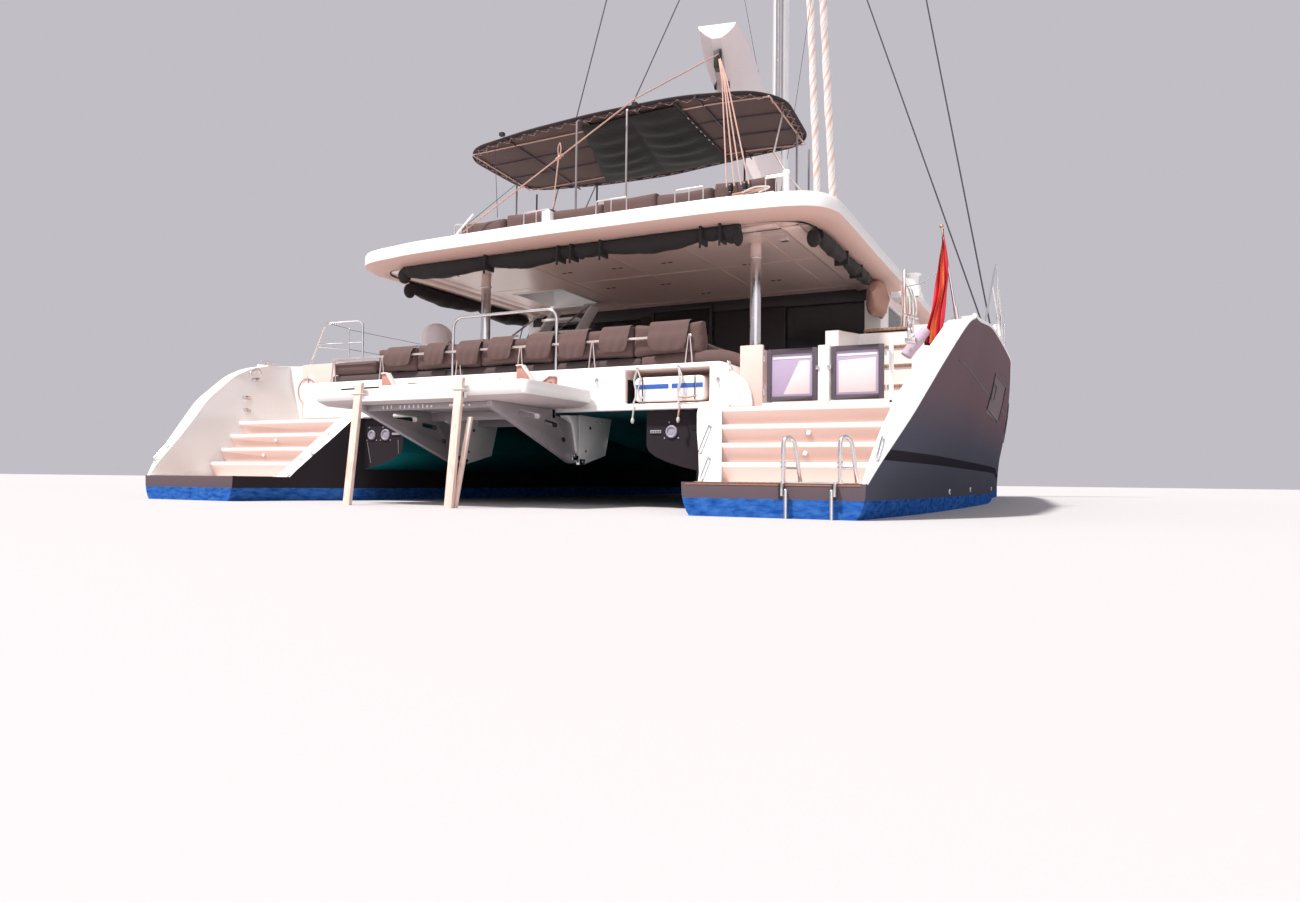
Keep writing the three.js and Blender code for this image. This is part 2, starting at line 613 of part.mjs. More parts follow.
// Stainless handholds on the starboard platform and the folding swim ladder below them
const LADDER_X0 = 3940;
const LADDER_X1 = 4330;
const LADDER_Y = -9500;
const loopRail = (x) => bentBar([
  [x, -9380, PLATFORM_Z + GAP], [x, -9380, 620], [x + 30, -9330, 690], [x + 70, -9280, 620],
  [x + 110, -9240, PLATFORM_Z + 8],
], 19, 8);
piece('ladder_handles', join([
  loopRail(LADDER_X0 - 60),
  loopRail(LADDER_X1 + 40),
  box(LADDER_X0 - 80, LADDER_X1 + 60, -9410, -9350, PLATFORM_Z + GAP, PLATFORM_Z + 14),
  ...[LADDER_X0 - 30, LADDER_X1 + 30].flatMap((x) => [
    box(x - 9, x + 9, LADDER_Y - 20, STERN - GAP, 190, PLATFORM_Z + 14),
    box(x - 9, x + 9, STERN - 10, -9400, PLATFORM_Z + GAP, PLATFORM_Z + 14),
  ]),
]), steel());

function swimLadder() {
  const rungs = [-120, -380, -640, -900].map((z) =>
    box(LADDER_X0, LADDER_X1, LADDER_Y - 35, LADDER_Y + 25, z - 18, z + 18));
  const rails = [LADDER_X0, LADDER_X1].map((x) => rod([x, LADDER_Y, 240], [x, LADDER_Y, -980], 17, 8));
  return join([...rungs, ...rails]);
}
piece('swim_ladder', swimLadder(), steel());

// Tender platform, lifted and lowered in front of the aft beam, on two slotted arms
const TENDER_X0 = -1880;
const TENDER_X1 = 1400;
const TENDER_AFT_Y = -9250;
const TENDER_FORE_Y = BEAM_AFT_Y - 30;
const TENDER_Z0 = 1130;
const TENDER_Z1 = 1330;
const tenderPlan = [
  [TENDER_X0, TENDER_AFT_Y + 60], [TENDER_X0 + 60, TENDER_AFT_Y], [TENDER_X1 - 260, TENDER_AFT_Y],
  [TENDER_X1, TENDER_FORE_Y], [TENDER_X0, TENDER_FORE_Y],
];
piece('tender_platform', prismZ(tenderPlan, TENDER_Z0, TENDER_Z1), gelcoat());
const armOutline = [
  [TENDER_AFT_Y + 90, TENDER_Z0 - GAP], [TENDER_AFT_Y + 90, TENDER_Z0 - 60], [-7620, 520],
  [-7520, 520], [-7480, 620], [-7600, 980], [-7960, 1060], [-7960, TENDER_Z0 - GAP],
];
const slots = join([
  prismX([[-8700, 1060], [-8300, 1060], [-8300, 1010], [-8640, 1040]], -CUT_FAR, CUT_FAR),
  prismX([[-8200, 1000], [-7900, 980], [-7900, 910], [-8160, 960]], -CUT_FAR, CUT_FAR),
  prismX([[-7820, 820], [-7700, 800], [-7700, 740], [-7800, 760]], -CUT_FAR, CUT_FAR),
]);
const ARM_X = [-1200, 600];
const arms = join(ARM_X.map((x) => prismX(armOutline, x - 35, x + 35)));
const armBeam = box(ARM_X[0] - 35, ARM_X[1] + 35, -8010, -7950, 1020, TENDER_Z0 - GAP);
piece('tender_platform_arms', arms.subtract(slots).add(armBeam), greyAlloy());
// Fixed brackets under the bridgedeck, in which the arms run
piece('tender_arm_brackets', join(ARM_X.map((x) =>
  prismX([[-7440, BRIDGE_BOTTOM - GAP], [-7440, 560], [-7330, 500], [-6800, 620], [-6650, BRIDGE_BOTTOM - GAP]],
    x - 60, x + 60))).add(box(ARM_X[0], ARM_X[1], -7100, -7000, 1000, BRIDGE_BOTTOM - GAP)), greyAlloy());

// Chocks for a tender on the platform, and the two boards that slope into the water
const chock = (x, y) => prismY([
  [x - 260, TENDER_Z1 + GAP], [x + 260, TENDER_Z1 + GAP], [x + 260, TENDER_Z1 + 170],
  [x + 200, TENDER_Z1 + 170], [x, TENDER_Z1 + 45], [x - 200, TENDER_Z1 + 170], [x - 260, TENDER_Z1 + 170],
], y, y + 60);
piece('tender_chocks', join([chock(-1250, -8350), chock(650, -8350)])
  .add(box(-1250, 650, -8340, -8300, TENDER_Z1 + GAP, TENDER_Z1 + 30)), gelcoat());
const boardLine = [[-9290, TENDER_Z1 + 30], [-9330, TENDER_Z1 + 30], [-9520, -420], [-9480, -420]];
piece('stern_boards', join([
  prismX(boardLine, -1130, -1035),
  prismX(boardLine, 285, 380),
  box(-1130, 380, TENDER_AFT_Y - 75, TENDER_AFT_Y - GAP, TENDER_Z0 + 20, TENDER_Z0 + 80),
]), sternBoard());

// Rails about the cockpit and the stern
const RAIL_R = 16;
piece('cockpit_hoop_rail', bentBar([
  [-1310, -7450, BEAM_TOP + GAP], [-1310, -7450, 2300], [-1190, -7450, 2430],
  [190, -7450, 2430], [310, -7450, 2300], [310, -7450, BEAM_TOP + GAP],
], 20, 8), steel());
const LOW_RAIL_Y = -7490;
const LOW_RAIL_Z = 1975;
const LOW_RAIL_LEGS = [-3420, -2510, -1180, -200, 850, 2130];
const lowRail = rods([
  [[-3450, LOW_RAIL_Y, LOW_RAIL_Z], [2150, LOW_RAIL_Y, LOW_RAIL_Z]],
  ...LOW_RAIL_LEGS.map((x) => [[x, LOW_RAIL_Y, BEAM_TOP + GAP], [x, LOW_RAIL_Y, LOW_RAIL_Z]]),
], RAIL_R);
piece('cockpit_low_rail', lowRail, steel());

// y, deck edge x and deck height of each stanchion, starboard side
const STANCHIONS = [
  [-5600, 5090, 2140], [-3600, 5080, 2150], [-1500, 4980, 2190], [800, 4800, 2260],
  [3000, 4620, 2370], [5000, 4420, 2430], [6700, 4230, 2460], [8100, 4050, 2480],
];
const LIFELINE_HEIGHT = 700;

// The sloping handrail beside the starboard gate in the lifelines
const GATE_RAIL = [
  [[5090, -5600, 2120], [4980, -2890, 3570]], [[4980, -2890, 3570], [4960, -1840, 2990]],
  [[4960, -1840, 2990], [4960, -1840, 2180]],
];
// The stern rail across the head of the port stairs, given as for starboard
const STERN_RAIL = [
  [[4650, -6840, 1980], [4080, -7040, 2620]], [[4080, -7040, 2620], [3620, -6750, 2680]],
  [[3620, -6750, 2680], [3620, -6750, 2000]], [[4340, -6949, 2330], [3620, -6750, 2350]],
  [[4365, -6940, 2300], [5090, -5600, 2490]],
];

function sideRails(extra) {
  const parts = STANCHIONS.map(([y, x, z]) => rod([x, y, z], [x, y, z + LIFELINE_HEIGHT], 15, 6));
  for (let i = 1; i < STANCHIONS.length; i += 1) {
    const [y0, x0, z0] = STANCHIONS[i - 1];
    const [y1, x1, z1] = STANCHIONS[i];
    for (const height of [LIFELINE_HEIGHT - 15, LIFELINE_HEIGHT / 2]) {
      parts.push(rod([x0, y0, z0 + height], [x1, y1, z1 + height], 7, 6));
    }
  }
  const pulpit = [
    [[4050, 8100, 3165], [3860, 9330, 3190]], [[3860, 9330, 3190], [3560, 8700, 3180]],
    [[3560, 8700, 3180], [3560, 8700, 2530]], [[3860, 9330, 3190], [3835, 9250, 2530]],
  ];
  return join([...parts, rods(pulpit, RAIL_R), rods(extra, RAIL_R)]).subtract(shifted(hull(), 0, 0, GAP));
}
piece('side_rails_starboard', sideRails(GATE_RAIL), steel());
piece('side_rails_port', mirrored(sideRails(STERN_RAIL)), steel());

// Flybridge: seats and their cushions, helm, bimini
const FLY_AFT_Y = -6500;
const SEAT_TOP = 3720;
const CUSHION_TOP = 3840;
const BACK_TOP = 3970;
const flySeat = (inset, z0, z1) => {
  const outer = [[-2750 + inset, -3300 - inset], [-2750 + inset, FLY_AFT_Y + 300], [-2450, FLY_AFT_Y + inset],
    [2450, FLY_AFT_Y + inset], [2750 - inset, FLY_AFT_Y + 300], [2750 - inset, -3300 - inset]];
  return prismZ(outer, z0, z1).subtract(box(-2050 - inset, 2050 + inset, FLY_AFT_Y + 700, 0, z0 - 10, z1 + 10));
};
const flyHatchCut = box(HATCH[0] - 60, HATCH[1] + 60, HATCH[2] - 60, HATCH[3] + 60, ROOF_TOP - 20, 5000);
piece('flybridge_seats', flySeat(0, ROOF_TOP + GAP, SEAT_TOP).subtract(flyHatchCut), gelcoat());
const backs = join([
  box(-2450, 2450, FLY_AFT_Y + 20, FLY_AFT_Y + 190, SEAT_TOP + 2, BACK_TOP),
  ...[-1, 1].map((side) => box(2635 * side - 105, 2635 * side + 105, FLY_AFT_Y + 320, -3340, SEAT_TOP + 2, BACK_TOP)),
  ...[-1, 1].map((side) => box(2300 * side - 240, 2300 * side + 240, FLY_AFT_Y + 320, -3340, SEAT_TOP + 2, CUSHION_TOP)),
  box(-2540, 2540, FLY_AFT_Y + 100, FLY_AFT_Y + 690, SEAT_TOP + 2, CUSHION_TOP),
]);
piece('flybridge_cushions', backs.subtract(flyHatchCut), cushion());
piece('helm_console', prismX([
  [-400, ROOF_TOP + GAP], [-1150, ROOF_TOP + GAP], [-1150, 4300], [-1000, 4520], [-500, 4650], [-400, 4500],
], 500, 1700), gelcoat());
const WHEEL = [1100, -1260, 4330];

function helmWheel() {
  const ring = new THREE.TorusGeometry(330, 16, 6, 20);
  ring.rotateX(Math.PI / 2);
  ring.translate(...WHEEL);
  const hub = rod([WHEEL[0], WHEEL[1] - 30, WHEEL[2]], [WHEEL[0], WHEEL[1] + 100, WHEEL[2]], 45, 10);
  const spokes = [0, 120, 240].map((degrees) => {
    const angle = (degrees * Math.PI) / 180;
    return rod(WHEEL, [WHEEL[0] + 330 * Math.sin(angle), WHEEL[1], WHEEL[2] + 330 * Math.cos(angle)], 11, 6);
  });
  return join([solidOf(ring), hub, ...spokes]);
}
piece('helm_wheel', helmWheel(), steel());

const BIMINI_Z = 5480;
// x, y and foot height of the posts
const BIMINI_POSTS = [
  [-2450, -4500, CUSHION_TOP], [-2450, -3900, CUSHION_TOP], [2450, -4500, CUSHION_TOP], [2450, -3900, CUSHION_TOP],
  [-800, -6050, CUSHION_TOP], [800, -6050, CUSHION_TOP], [1500, -4100, ROOF_TOP],
];
const barHeight = (y) => BIMINI_Z - 90 - (y + 6200) * 0.05;
const crossBar = (y) => rod([-2500, y, barHeight(y)], [2500, y, barHeight(y)], 18, 8);
const foreAftBar = (x) => rod([x, -6060, barHeight(-6060)], [x, -3880, barHeight(-3880)], 16, 8);
piece('bimini_frame', join([
  ...BIMINI_POSTS.map(([x, y, foot]) => rod([x, y, foot + 2 + GAP], [x, y, barHeight(y)], 20, 8)),
  ...[-5700, -4100].map(crossBar),
  ...[-2450, -800, 800, 1500, 2450].map(foreAftBar),
]), steel());

const canopyPlan = [[-2620, -5500], [-2300, -5850], [0, -6080], [2300, -5850], [2620, -5500], [2560, -4300],
  [2300, -4000], [0, -3680], [-2300, -4000], [-2560, -4300]];
const canopySection = [
  [-2620, BIMINI_Z - 95], [-1300, BIMINI_Z + 5], [0, BIMINI_Z + 40], [1300, BIMINI_Z + 5], [2620, BIMINI_Z - 95],
  [2620, BIMINI_Z - 65], [1300, BIMINI_Z + 35], [0, BIMINI_Z + 70], [-1300, BIMINI_Z + 35], [-2620, BIMINI_Z - 65],
];
const canopySlope = loft([
  canopySection.map(([x, z]) => [x, -6200, z + 40]),
  canopySection.map(([x, z]) => [x, -3600, z - 90]),
]);
piece('bimini_canopy', prismZ(canopyPlan, 5000, 6000).intersect(canopySlope), canvas());

// Rolled curtains along the edge of the cockpit ceiling
const CURTAIN_Z = ROOF_BOTTOM - 118;
const CURTAIN_R = 112;
const curtainTrack = prismZ([[-3320, -2950], [-3320, -6400], [-2600, -6960], [2600, -6960], [3320, -6400],
  [3320, -2950], [3270, -2950], [3270, -6380], [2580, -6910], [-2580, -6910], [-3270, -6380], [-3270, -2950]],
ROOF_BOTTOM - 20, ROOF_BOTTOM - GAP);
piece('rolled_curtains', join([
  curtainTrack,
  rod([-2650, -6920, CURTAIN_Z], [2650, -6920, CURTAIN_Z], CURTAIN_R, 8),
  rod([3290, -6100, CURTAIN_Z], [3290, -2960, CURTAIN_Z], CURTAIN_R, 8),
  rod([-3290, -6100, CURTAIN_Z], [-3290, -2960, CURTAIN_Z], CURTAIN_R, 8),
]), canvas());

// Mast with two pairs of spreaders
const MAST_HALF_X = 152;
const MAST_HALF_Y = 235;
const mastLoop = (z, scale) => [0, 1, 2, 3, 4, 5, 6, 7, 8, 9, 10, 11].map((n) => {
  const angle = (n * Math.PI) / 6;
  return [MAST_HALF_X * scale * Math.cos(angle), MAST_Y + MAST_HALF_Y * scale * Math.sin(angle), z];
});
// height, half span, sweep aft
const SPREADERS = [[11800, 900, 260], [19500, 760, 220]];
const spreaders = SPREADERS.flatMap(([z, span, sweep]) => [-1, 1].map((side) =>
  rod([side * 60, MAST_Y, z], [side * span, MAST_Y - sweep, z + 40], 32, 6)));
piece('mast', join([
  loft([mastLoop(ROOF_TOP + GAP, 1), mastLoop(24000, 1), mastLoop(MAST_TOP, 0.7)]),
  ...spreaders,
  box(-40, 40, MAST_Y - 420, MAST_Y - 100, 6480, 6720),
]), alloy());

// Boom, a deep V-shaped trough that holds the stowed sail, turned about the gooseneck
const GOOSENECK_Y = MAST_Y - 480;
const BOOM_LENGTH = 6500;
// distance aft of the gooseneck, half width, keel height, top height
const BOOM_SECTIONS = [
  [0, 190, 6330, 6880], [700, 290, 6200, 7050], [3200, 370, 6180, 7120], [5500, 370, 6260, 7120],
  [BOOM_LENGTH, 300, 6420, 7060],
];
const boomBody = loft(BOOM_SECTIONS.map(([back, half, bottom, top]) => [
  [-half, GOOSENECK_Y - 60 - back, top], [-half * 0.9, GOOSENECK_Y - 60 - back, top - 260],
  [-half * 0.25, GOOSENECK_Y - 60 - back, bottom], [half * 0.25, GOOSENECK_Y - 60 - back, bottom],
  [half * 0.9, GOOSENECK_Y - 60 - back, top - 260], [half, GOOSENECK_Y - 60 - back, top],
]));
const gooseneck = box(-34, 34, GOOSENECK_Y - 70, GOOSENECK_Y + 30, 6500, 6700);

// Turned about the vertical through the gooseneck
function swung(solid) {
  const geometry = geometryOf(solid);
  geometry.translate(0, -GOOSENECK_Y, 0);
  geometry.rotateZ((BOOM_SWING * Math.PI) / 180);
  geometry.translate(0, GOOSENECK_Y, 0);
  return solidOf(geometry);
}
piece('boom', swung(boomBody.add(gooseneck)), gelcoat());
const stowedSail = loft(BOOM_SECTIONS.slice(1, 4).map(([back, half, , top]) => {
  const y = GOOSENECK_Y - 60 - back;
  const w = half * 0.72;
  return [[-w, y, top + 12], [w, y, top + 12], [w * 0.8, y, top + 170], [0, y, top + 250], [-w * 0.8, y, top + 170]];
}));
piece('stowed_mainsail', swung(stowedSail), sailcloth());

// Furled headsails on the two forestays
// foot y, foot height, head y, head height, roll radius
const HEADSAILS = {
  genoa: [CROSSBEAM_Y, CROSSBEAM_Z + 130, MAST_Y + 260, HOUNDS_Z, 105],
  staysail: [5900, 2310, MAST_Y + 260, 24600, 95],
};
for (const [name, [footY, footZ, headY, headZ, radius]] of Object.entries(HEADSAILS)) {
  const at = (t) => [0, footY + (headY - footY) * t, footZ + (headZ - footZ) * t];
  piece(`${name}_furled`, join([
    rod(at(0), at(0.995), 14, 6),
    rod(at(0.008), at(0.03), 120, 10),
    rod(at(0.035), at(0.9), radius, 8),
    rod(at(0.9), at(0.95), radius * 0.5, 8),
  ]), sailcloth());
}

// Shrouds from the chainplates on the side decks to the mast
const CHAINPLATE = [4880, -1410, 2195];
const shroud = (height) => {
  const foot = new THREE.Vector3(...CHAINPLATE);
  const head = new THREE.Vector3(MAST_HALF_X + 12, MAST_Y - 60, height);
  return rod(foot.toArray(), head.toArray(), 11, 6);
};
const shroudPair = join([
  shroud(HOUNDS_Z), shroud(16200),
  box(CHAINPLATE[0] - 12, CHAINPLATE[0] + 12, CHAINPLATE[1] - 60, CHAINPLATE[1] + 60, 2100, 2330),
]).subtract(shifted(hull(), 0, 0, GAP));
pair('shrouds', shroudPair, steel);

// Forward crossbeam, longeron and the two trampolines
piece('forward_crossbeam', join([
  rod([-3355, CROSSBEAM_Y, CROSSBEAM_Z], [3355, CROSSBEAM_Y, CROSSBEAM_Z], 130, 12),
  box(-110, 110, FOREDECK_Y + GAP, CROSSBEAM_Y - 20, 1900, 2090),
  box(-70, 70, 5820, 5980, 2080, 2300),
]), alloy());
const trampolinePlan = [
  [160, FOREDECK_Y + 120], [2600, FOREDECK_Y + 120], [2930, 6200], [3290, CROSSBEAM_Y - 200],
  [160, CROSSBEAM_Y - 200],
];
pair('trampoline', prismZ(trampolinePlan, 2050, 2070), net);

// Ensign on its staff at the starboard quarter
const STAFF_FOOT = [5030, -7450, 1985];
const STAFF_HEAD = [4890, -7450, 2930];
piece('ensign_staff', rod(STAFF_FOOT, STAFF_HEAD, 15, 8), steel());
piece('ensign', loft([
  [[4860, -7530, 2790], [4960, -7530, 2790], [4960, -7470, 2790], [4860, -7470, 2790]],
  [[4800, -7620, 2350], [4940, -7620, 2350], [4940, -7500, 2350], [4800, -7500, 2350]],
  [[4700, -7640, 2010], [4880, -7640, 2010], [4880, -7510, 2010], [4700, -7510, 2010]],
]), flagRed());

export default group;
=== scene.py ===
# Looks of a sailing catamaran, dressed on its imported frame.
# Metres. +X is starboard, +Y is the bow, +Z is up, and the waterline is at height 0.
import math
import random

import bmesh
import bpy
from mathutils import Euler, Matrix, Vector


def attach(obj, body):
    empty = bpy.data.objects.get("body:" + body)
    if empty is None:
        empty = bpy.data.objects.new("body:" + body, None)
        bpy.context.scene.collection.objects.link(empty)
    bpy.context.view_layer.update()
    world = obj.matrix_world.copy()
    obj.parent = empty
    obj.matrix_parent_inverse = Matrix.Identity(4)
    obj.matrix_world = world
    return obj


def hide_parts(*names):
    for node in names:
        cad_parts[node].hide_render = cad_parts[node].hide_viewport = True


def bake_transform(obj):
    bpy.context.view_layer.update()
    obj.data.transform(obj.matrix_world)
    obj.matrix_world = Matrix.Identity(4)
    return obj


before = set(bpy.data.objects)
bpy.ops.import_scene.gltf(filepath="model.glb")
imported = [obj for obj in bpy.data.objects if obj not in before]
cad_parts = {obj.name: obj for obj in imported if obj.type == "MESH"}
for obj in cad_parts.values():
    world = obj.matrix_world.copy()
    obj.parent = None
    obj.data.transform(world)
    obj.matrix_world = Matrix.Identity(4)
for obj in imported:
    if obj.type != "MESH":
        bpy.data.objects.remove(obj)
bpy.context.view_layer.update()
ROOT = "root"
SIDES = (("starboard", 1), ("port", -1))


# Camera, where the photograph was taken from, just above the water
CAMERA_PLACE = Vector((6.24, -16.58, 0.30))
CAMERA_HEADING = math.radians(26.80)   # to port of straight ahead
CAMERA_PITCH = math.radians(1.98)
CAMERA_ROLL = math.radians(0.70)
CAMERA_LENS = 24.3                     # millimetres
SENSOR_WIDTH = 36.0                    # millimetres


def add_camera():
    data = bpy.data.cameras.new("camera")
    data.lens = CAMERA_LENS
    data.sensor_width = SENSOR_WIDTH
    data.clip_start = 0.05
    data.clip_end = 2000
    camera = bpy.data.objects.new("camera", data)
    ahead = Vector((
        -math.sin(CAMERA_HEADING) * math.cos(CAMERA_PITCH),
        math.cos(CAMERA_HEADING) * math.cos(CAMERA_PITCH),
        math.sin(CAMERA_PITCH),
    ))
    right = Vector((math.cos(CAMERA_HEADING), math.sin(CAMERA_HEADING), 0))
    up = right.cross(ahead)
    right, up = (
        right * math.cos(CAMERA_ROLL) + up * math.sin(CAMERA_ROLL),
        up * math.cos(CAMERA_ROLL) - right * math.sin(CAMERA_ROLL),
    )
    camera.matrix_world = Matrix.Translation(CAMERA_PLACE) @ Matrix((right, up, -ahead)).transposed().to_4x4()
    bpy.context.scene.collection.objects.link(camera)
    bpy.context.scene.camera = camera


# Light and floor
FLOOR_REACH = 600
WORLD_COLOUR = (0.86, 0.83, 0.90, 1)
WORLD_STRENGTH = 0.62
SUN_ANGLES = (24, -15)                 # degrees from overhead: towards the stern, towards port
SUN_COLOUR = (1.0, 0.965, 0.92)
FILL_RUN = Vector((-0.42, 0.80, -0.42))    # the fill light comes from off the starboard quarter


def sun_lamp(name, energy, spread, rotation, colour=(1, 1, 1)):
    data = bpy.data.lights.new(name, "SUN")
    data.energy = energy
    data.angle = math.radians(spread)
    data.color = colour
    lamp = bpy.data.objects.new(name, data)
    lamp.rotation_euler = rotation
    bpy.context.scene.collection.objects.link(lamp)


def add_lights():
    world = bpy.data.worlds.new("studio")
    world.use_nodes = True
    background = world.node_tree.nodes["Background"]
    background.inputs["Color"].default_value = WORLD_COLOUR
    background.inputs["Strength"].default_value = WORLD_STRENGTH
    bpy.context.scene.world = world
    sun_lamp("key", 5.2, 5, Euler([math.radians(a) for a in SUN_ANGLES] + [0]), SUN_COLOUR)
    sun_lamp("fill", 0.65, 60, FILL_RUN.to_track_quat("-Z", "Y").to_euler())
    bpy.context.scene.view_settings.view_transform = "Standard"


# Materials. Every pattern is in the object's own coordinates, which are metres in the frame.
class Finish:
    """A material of nodes about one Principled shader."""

    def __init__(self, name, roughness=0.5, metallic=0.0, **sockets):
        self.material = bpy.data.materials.new(name)
        self.material.use_nodes = True
        self.tree = self.material.node_tree
        self.shader = self.tree.nodes["Principled BSDF"]
        self.shader.inputs["Roughness"].default_value = roughness
        self.shader.inputs["Metallic"].default_value = metallic
        for socket, value in sockets.items():
            self.shader.inputs[socket.replace("_", " ")].default_value = value
        self.place = self.node("ShaderNodeTexCoord").outputs["Object"]

    def node(self, kind, **settings):
        made = self.tree.nodes.new(kind)
        for key, value in settings.items():
            setattr(made, key, value)
        return made

    def link(self, output, socket):
        self.tree.links.new(output, socket)

    def feed(self, socket, value):
        """Links an output, or sets a plain value."""
        if hasattr(value, "is_linked"):
            self.link(value, socket)
        else:
            socket.default_value = value

    def stretched(self, stretch):
        mapping = self.node("ShaderNodeMapping")
        mapping.inputs["Scale"].default_value = stretch
        self.link(self.place, mapping.inputs["Vector"])
        return mapping.outputs["Vector"]

    def noise(self, scale, detail=4.0, stretch=(1, 1, 1), distortion=0.0):
        made = self.node("ShaderNodeTexNoise")
        made.inputs["Scale"].default_value = scale
        made.inputs["Detail"].default_value = detail
        made.inputs["Distortion"].default_value = distortion
        self.link(self.stretched(stretch), made.inputs["Vector"])
        return made.outputs["Fac"]

    def wave(self, scale, direction="X", distortion=0.0):
        made = self.node("ShaderNodeTexWave", bands_direction=direction)
        made.inputs["Scale"].default_value = scale
        made.inputs["Distortion"].default_value = distortion
        self.link(self.place, made.inputs["Vector"])
        return made.outputs["Fac"]

    def axis(self, name):
        split = self.node("ShaderNodeSeparateXYZ")
        self.link(self.place, split.inputs["Vector"])
        return split.outputs[name]

    def math(self, operation, first, second=0.0):
        made = self.node("ShaderNodeMath", operation=operation)
        self.feed(made.inputs[0], first)
        self.feed(made.inputs[1], second)
        return made.outputs["Value"]

    def ramp(self, value, stops):
        """stops are (position, colour) pairs."""
        made = self.node("ShaderNodeValToRGB")
        elements = made.color_ramp.elements
        while len(elements) < len(stops):
            elements.new(0.5)
        for element, (position, colour) in zip(elements, stops):
            element.position = position
            element.color = (*colour, 1)
        self.link(value, made.inputs["Fac"])
        return made.outputs["Color"]

    def mix(self, factor, first, second):
        made = self.node("ShaderNodeMix", data_type="RGBA")
        self.feed(made.inputs["Factor"], factor)
        self.feed(made.inputs["A"], (*first, 1) if isinstance(first, tuple) else first)
        self.feed(made.inputs["B"], (*second, 1) if isinstance(second, tuple) else second)
        return made.outputs["Result"]

    def spread(self, value, low, high):
        made = self.node("ShaderNodeMapRange")
        made.inputs["To Min"].default_value = low
        made.inputs["To Max"].default_value = high
        self.link(value, made.inputs["Value"])
        return made.outputs["Result"]

    def bump(self, height, strength, distance, under=None):
        made = self.node("ShaderNodeBump")
        made.inputs["Strength"].default_value = strength
        made.inputs["Distance"].default_value = distance
        self.link(height, made.inputs["Height"])
        if under is not None:
            self.link(under, made.inputs["Normal"])
        return made.outputs["Normal"]

    def use(self, colour=None, roughness=None, normal=None):
        if colour is not None:
            self.link(colour, self.shader.inputs["Base Color"])
        if roughness is not None:
            self.link(roughness, self.shader.inputs["Roughness"])
        if normal is not None:
            self.link(normal, self.shader.inputs["Normal"])
        return self.material


def shade(colour, factor):
    return tuple(min(1.0, c * factor) for c in colour)


def moulded(name, colour, roughness=0.28, coat=0.35, grain=0.0):
    """Gelcoat, paint or moulded plastic: broad mottling, faint orange peel, slightly uneven gloss."""
    finish = Finish(name, roughness, Coat_Weight=coat, Coat_Roughness=0.12)
    broad = finish.noise(0.9, 3)
    chalk = finish.noise(14, 6, distortion=0.4)
    tone = finish.mix(finish.spread(broad, 0.25, 0.75), shade(colour, 0.93), shade(colour, 1.04))
    tone = finish.mix(finish.spread(chalk, 0.0, 0.10), tone, shade(colour, 0.72))
    normal = finish.bump(finish.noise(55, 2), 0.12, 0.002)
    if grain:
        normal = finish.bump(finish.noise(420, 2), grain, 0.0015, normal)
    return finish.use(tone, finish.spread(chalk, roughness - 0.06, roughness + 0.12), normal)


def metal(name, colour, roughness=0.22, brushed=0.0):
    """Tube or cast metal: fine drawn lines and dulled patches."""
    finish = Finish(name, roughness, metallic=1.0)
    patches = finish.noise(6, 5, distortion=0.6)
    drawn = finish.noise(90, 3, stretch=(1, 1, 0.06))
    tone = finish.mix(patches, shade(colour, 0.82), shade(colour, 1.05))
    dull = finish.spread(patches, roughness - 0.07, roughness + 0.14)
    return finish.use(tone, dull, finish.bump(drawn, 0.08 + brushed, 0.0006))


def painted(name, colour, roughness=0.4, metallic=0.25):
    """Painted metal or panel: faint patches and specks."""
    finish = Finish(name, roughness, metallic=metallic)
    patches = finish.noise(3, 5)
    speck = finish.noise(70, 4)
    tone = finish.mix(patches, shade(colour, 0.84), shade(colour, 1.1))
    tone = finish.mix(finish.spread(speck, 0, 0.12), tone, shade(colour, 0.5))
    return finish.use(tone, finish.spread(speck, roughness - 0.08, roughness + 0.1),
                      finish.bump(speck, 0.1, 0.001))


def cloth(name, colour, weave=260, fade=0.16, roughness=0.92, wrinkle=0.5, sheen=0.04):
    """Woven cloth: warp and weft, faded patches, soft creases."""
    finish = Finish(name, roughness, Sheen_Weight=sheen, Sheen_Roughness=0.5)
    warp = finish.wave(weave, "X", distortion=0.6)
    weft = finish.wave(weave, "Z", distortion=0.6)
    run = finish.wave(weave, "Y", distortion=0.6)
    threads = finish.math("ADD", finish.math("MULTIPLY", warp, weft), finish.math("MULTIPLY", run, 0.5))
    patches = finish.noise(2.2, 6, distortion=0.8)
    tone = finish.mix(patches, shade(colour, 1 - fade), shade(colour, 1 + fade))
    tone = finish.mix(finish.math("MULTIPLY", threads, 0.22), tone, shade(colour, 1.5))
    creases = finish.bump(finish.noise(7, 5, distortion=1.2), wrinkle, 0.012)
    return finish.use(tone, finish.spread(patches, roughness - 0.08, roughness),
                      finish.bump(threads, 0.25, 0.0012, creases))


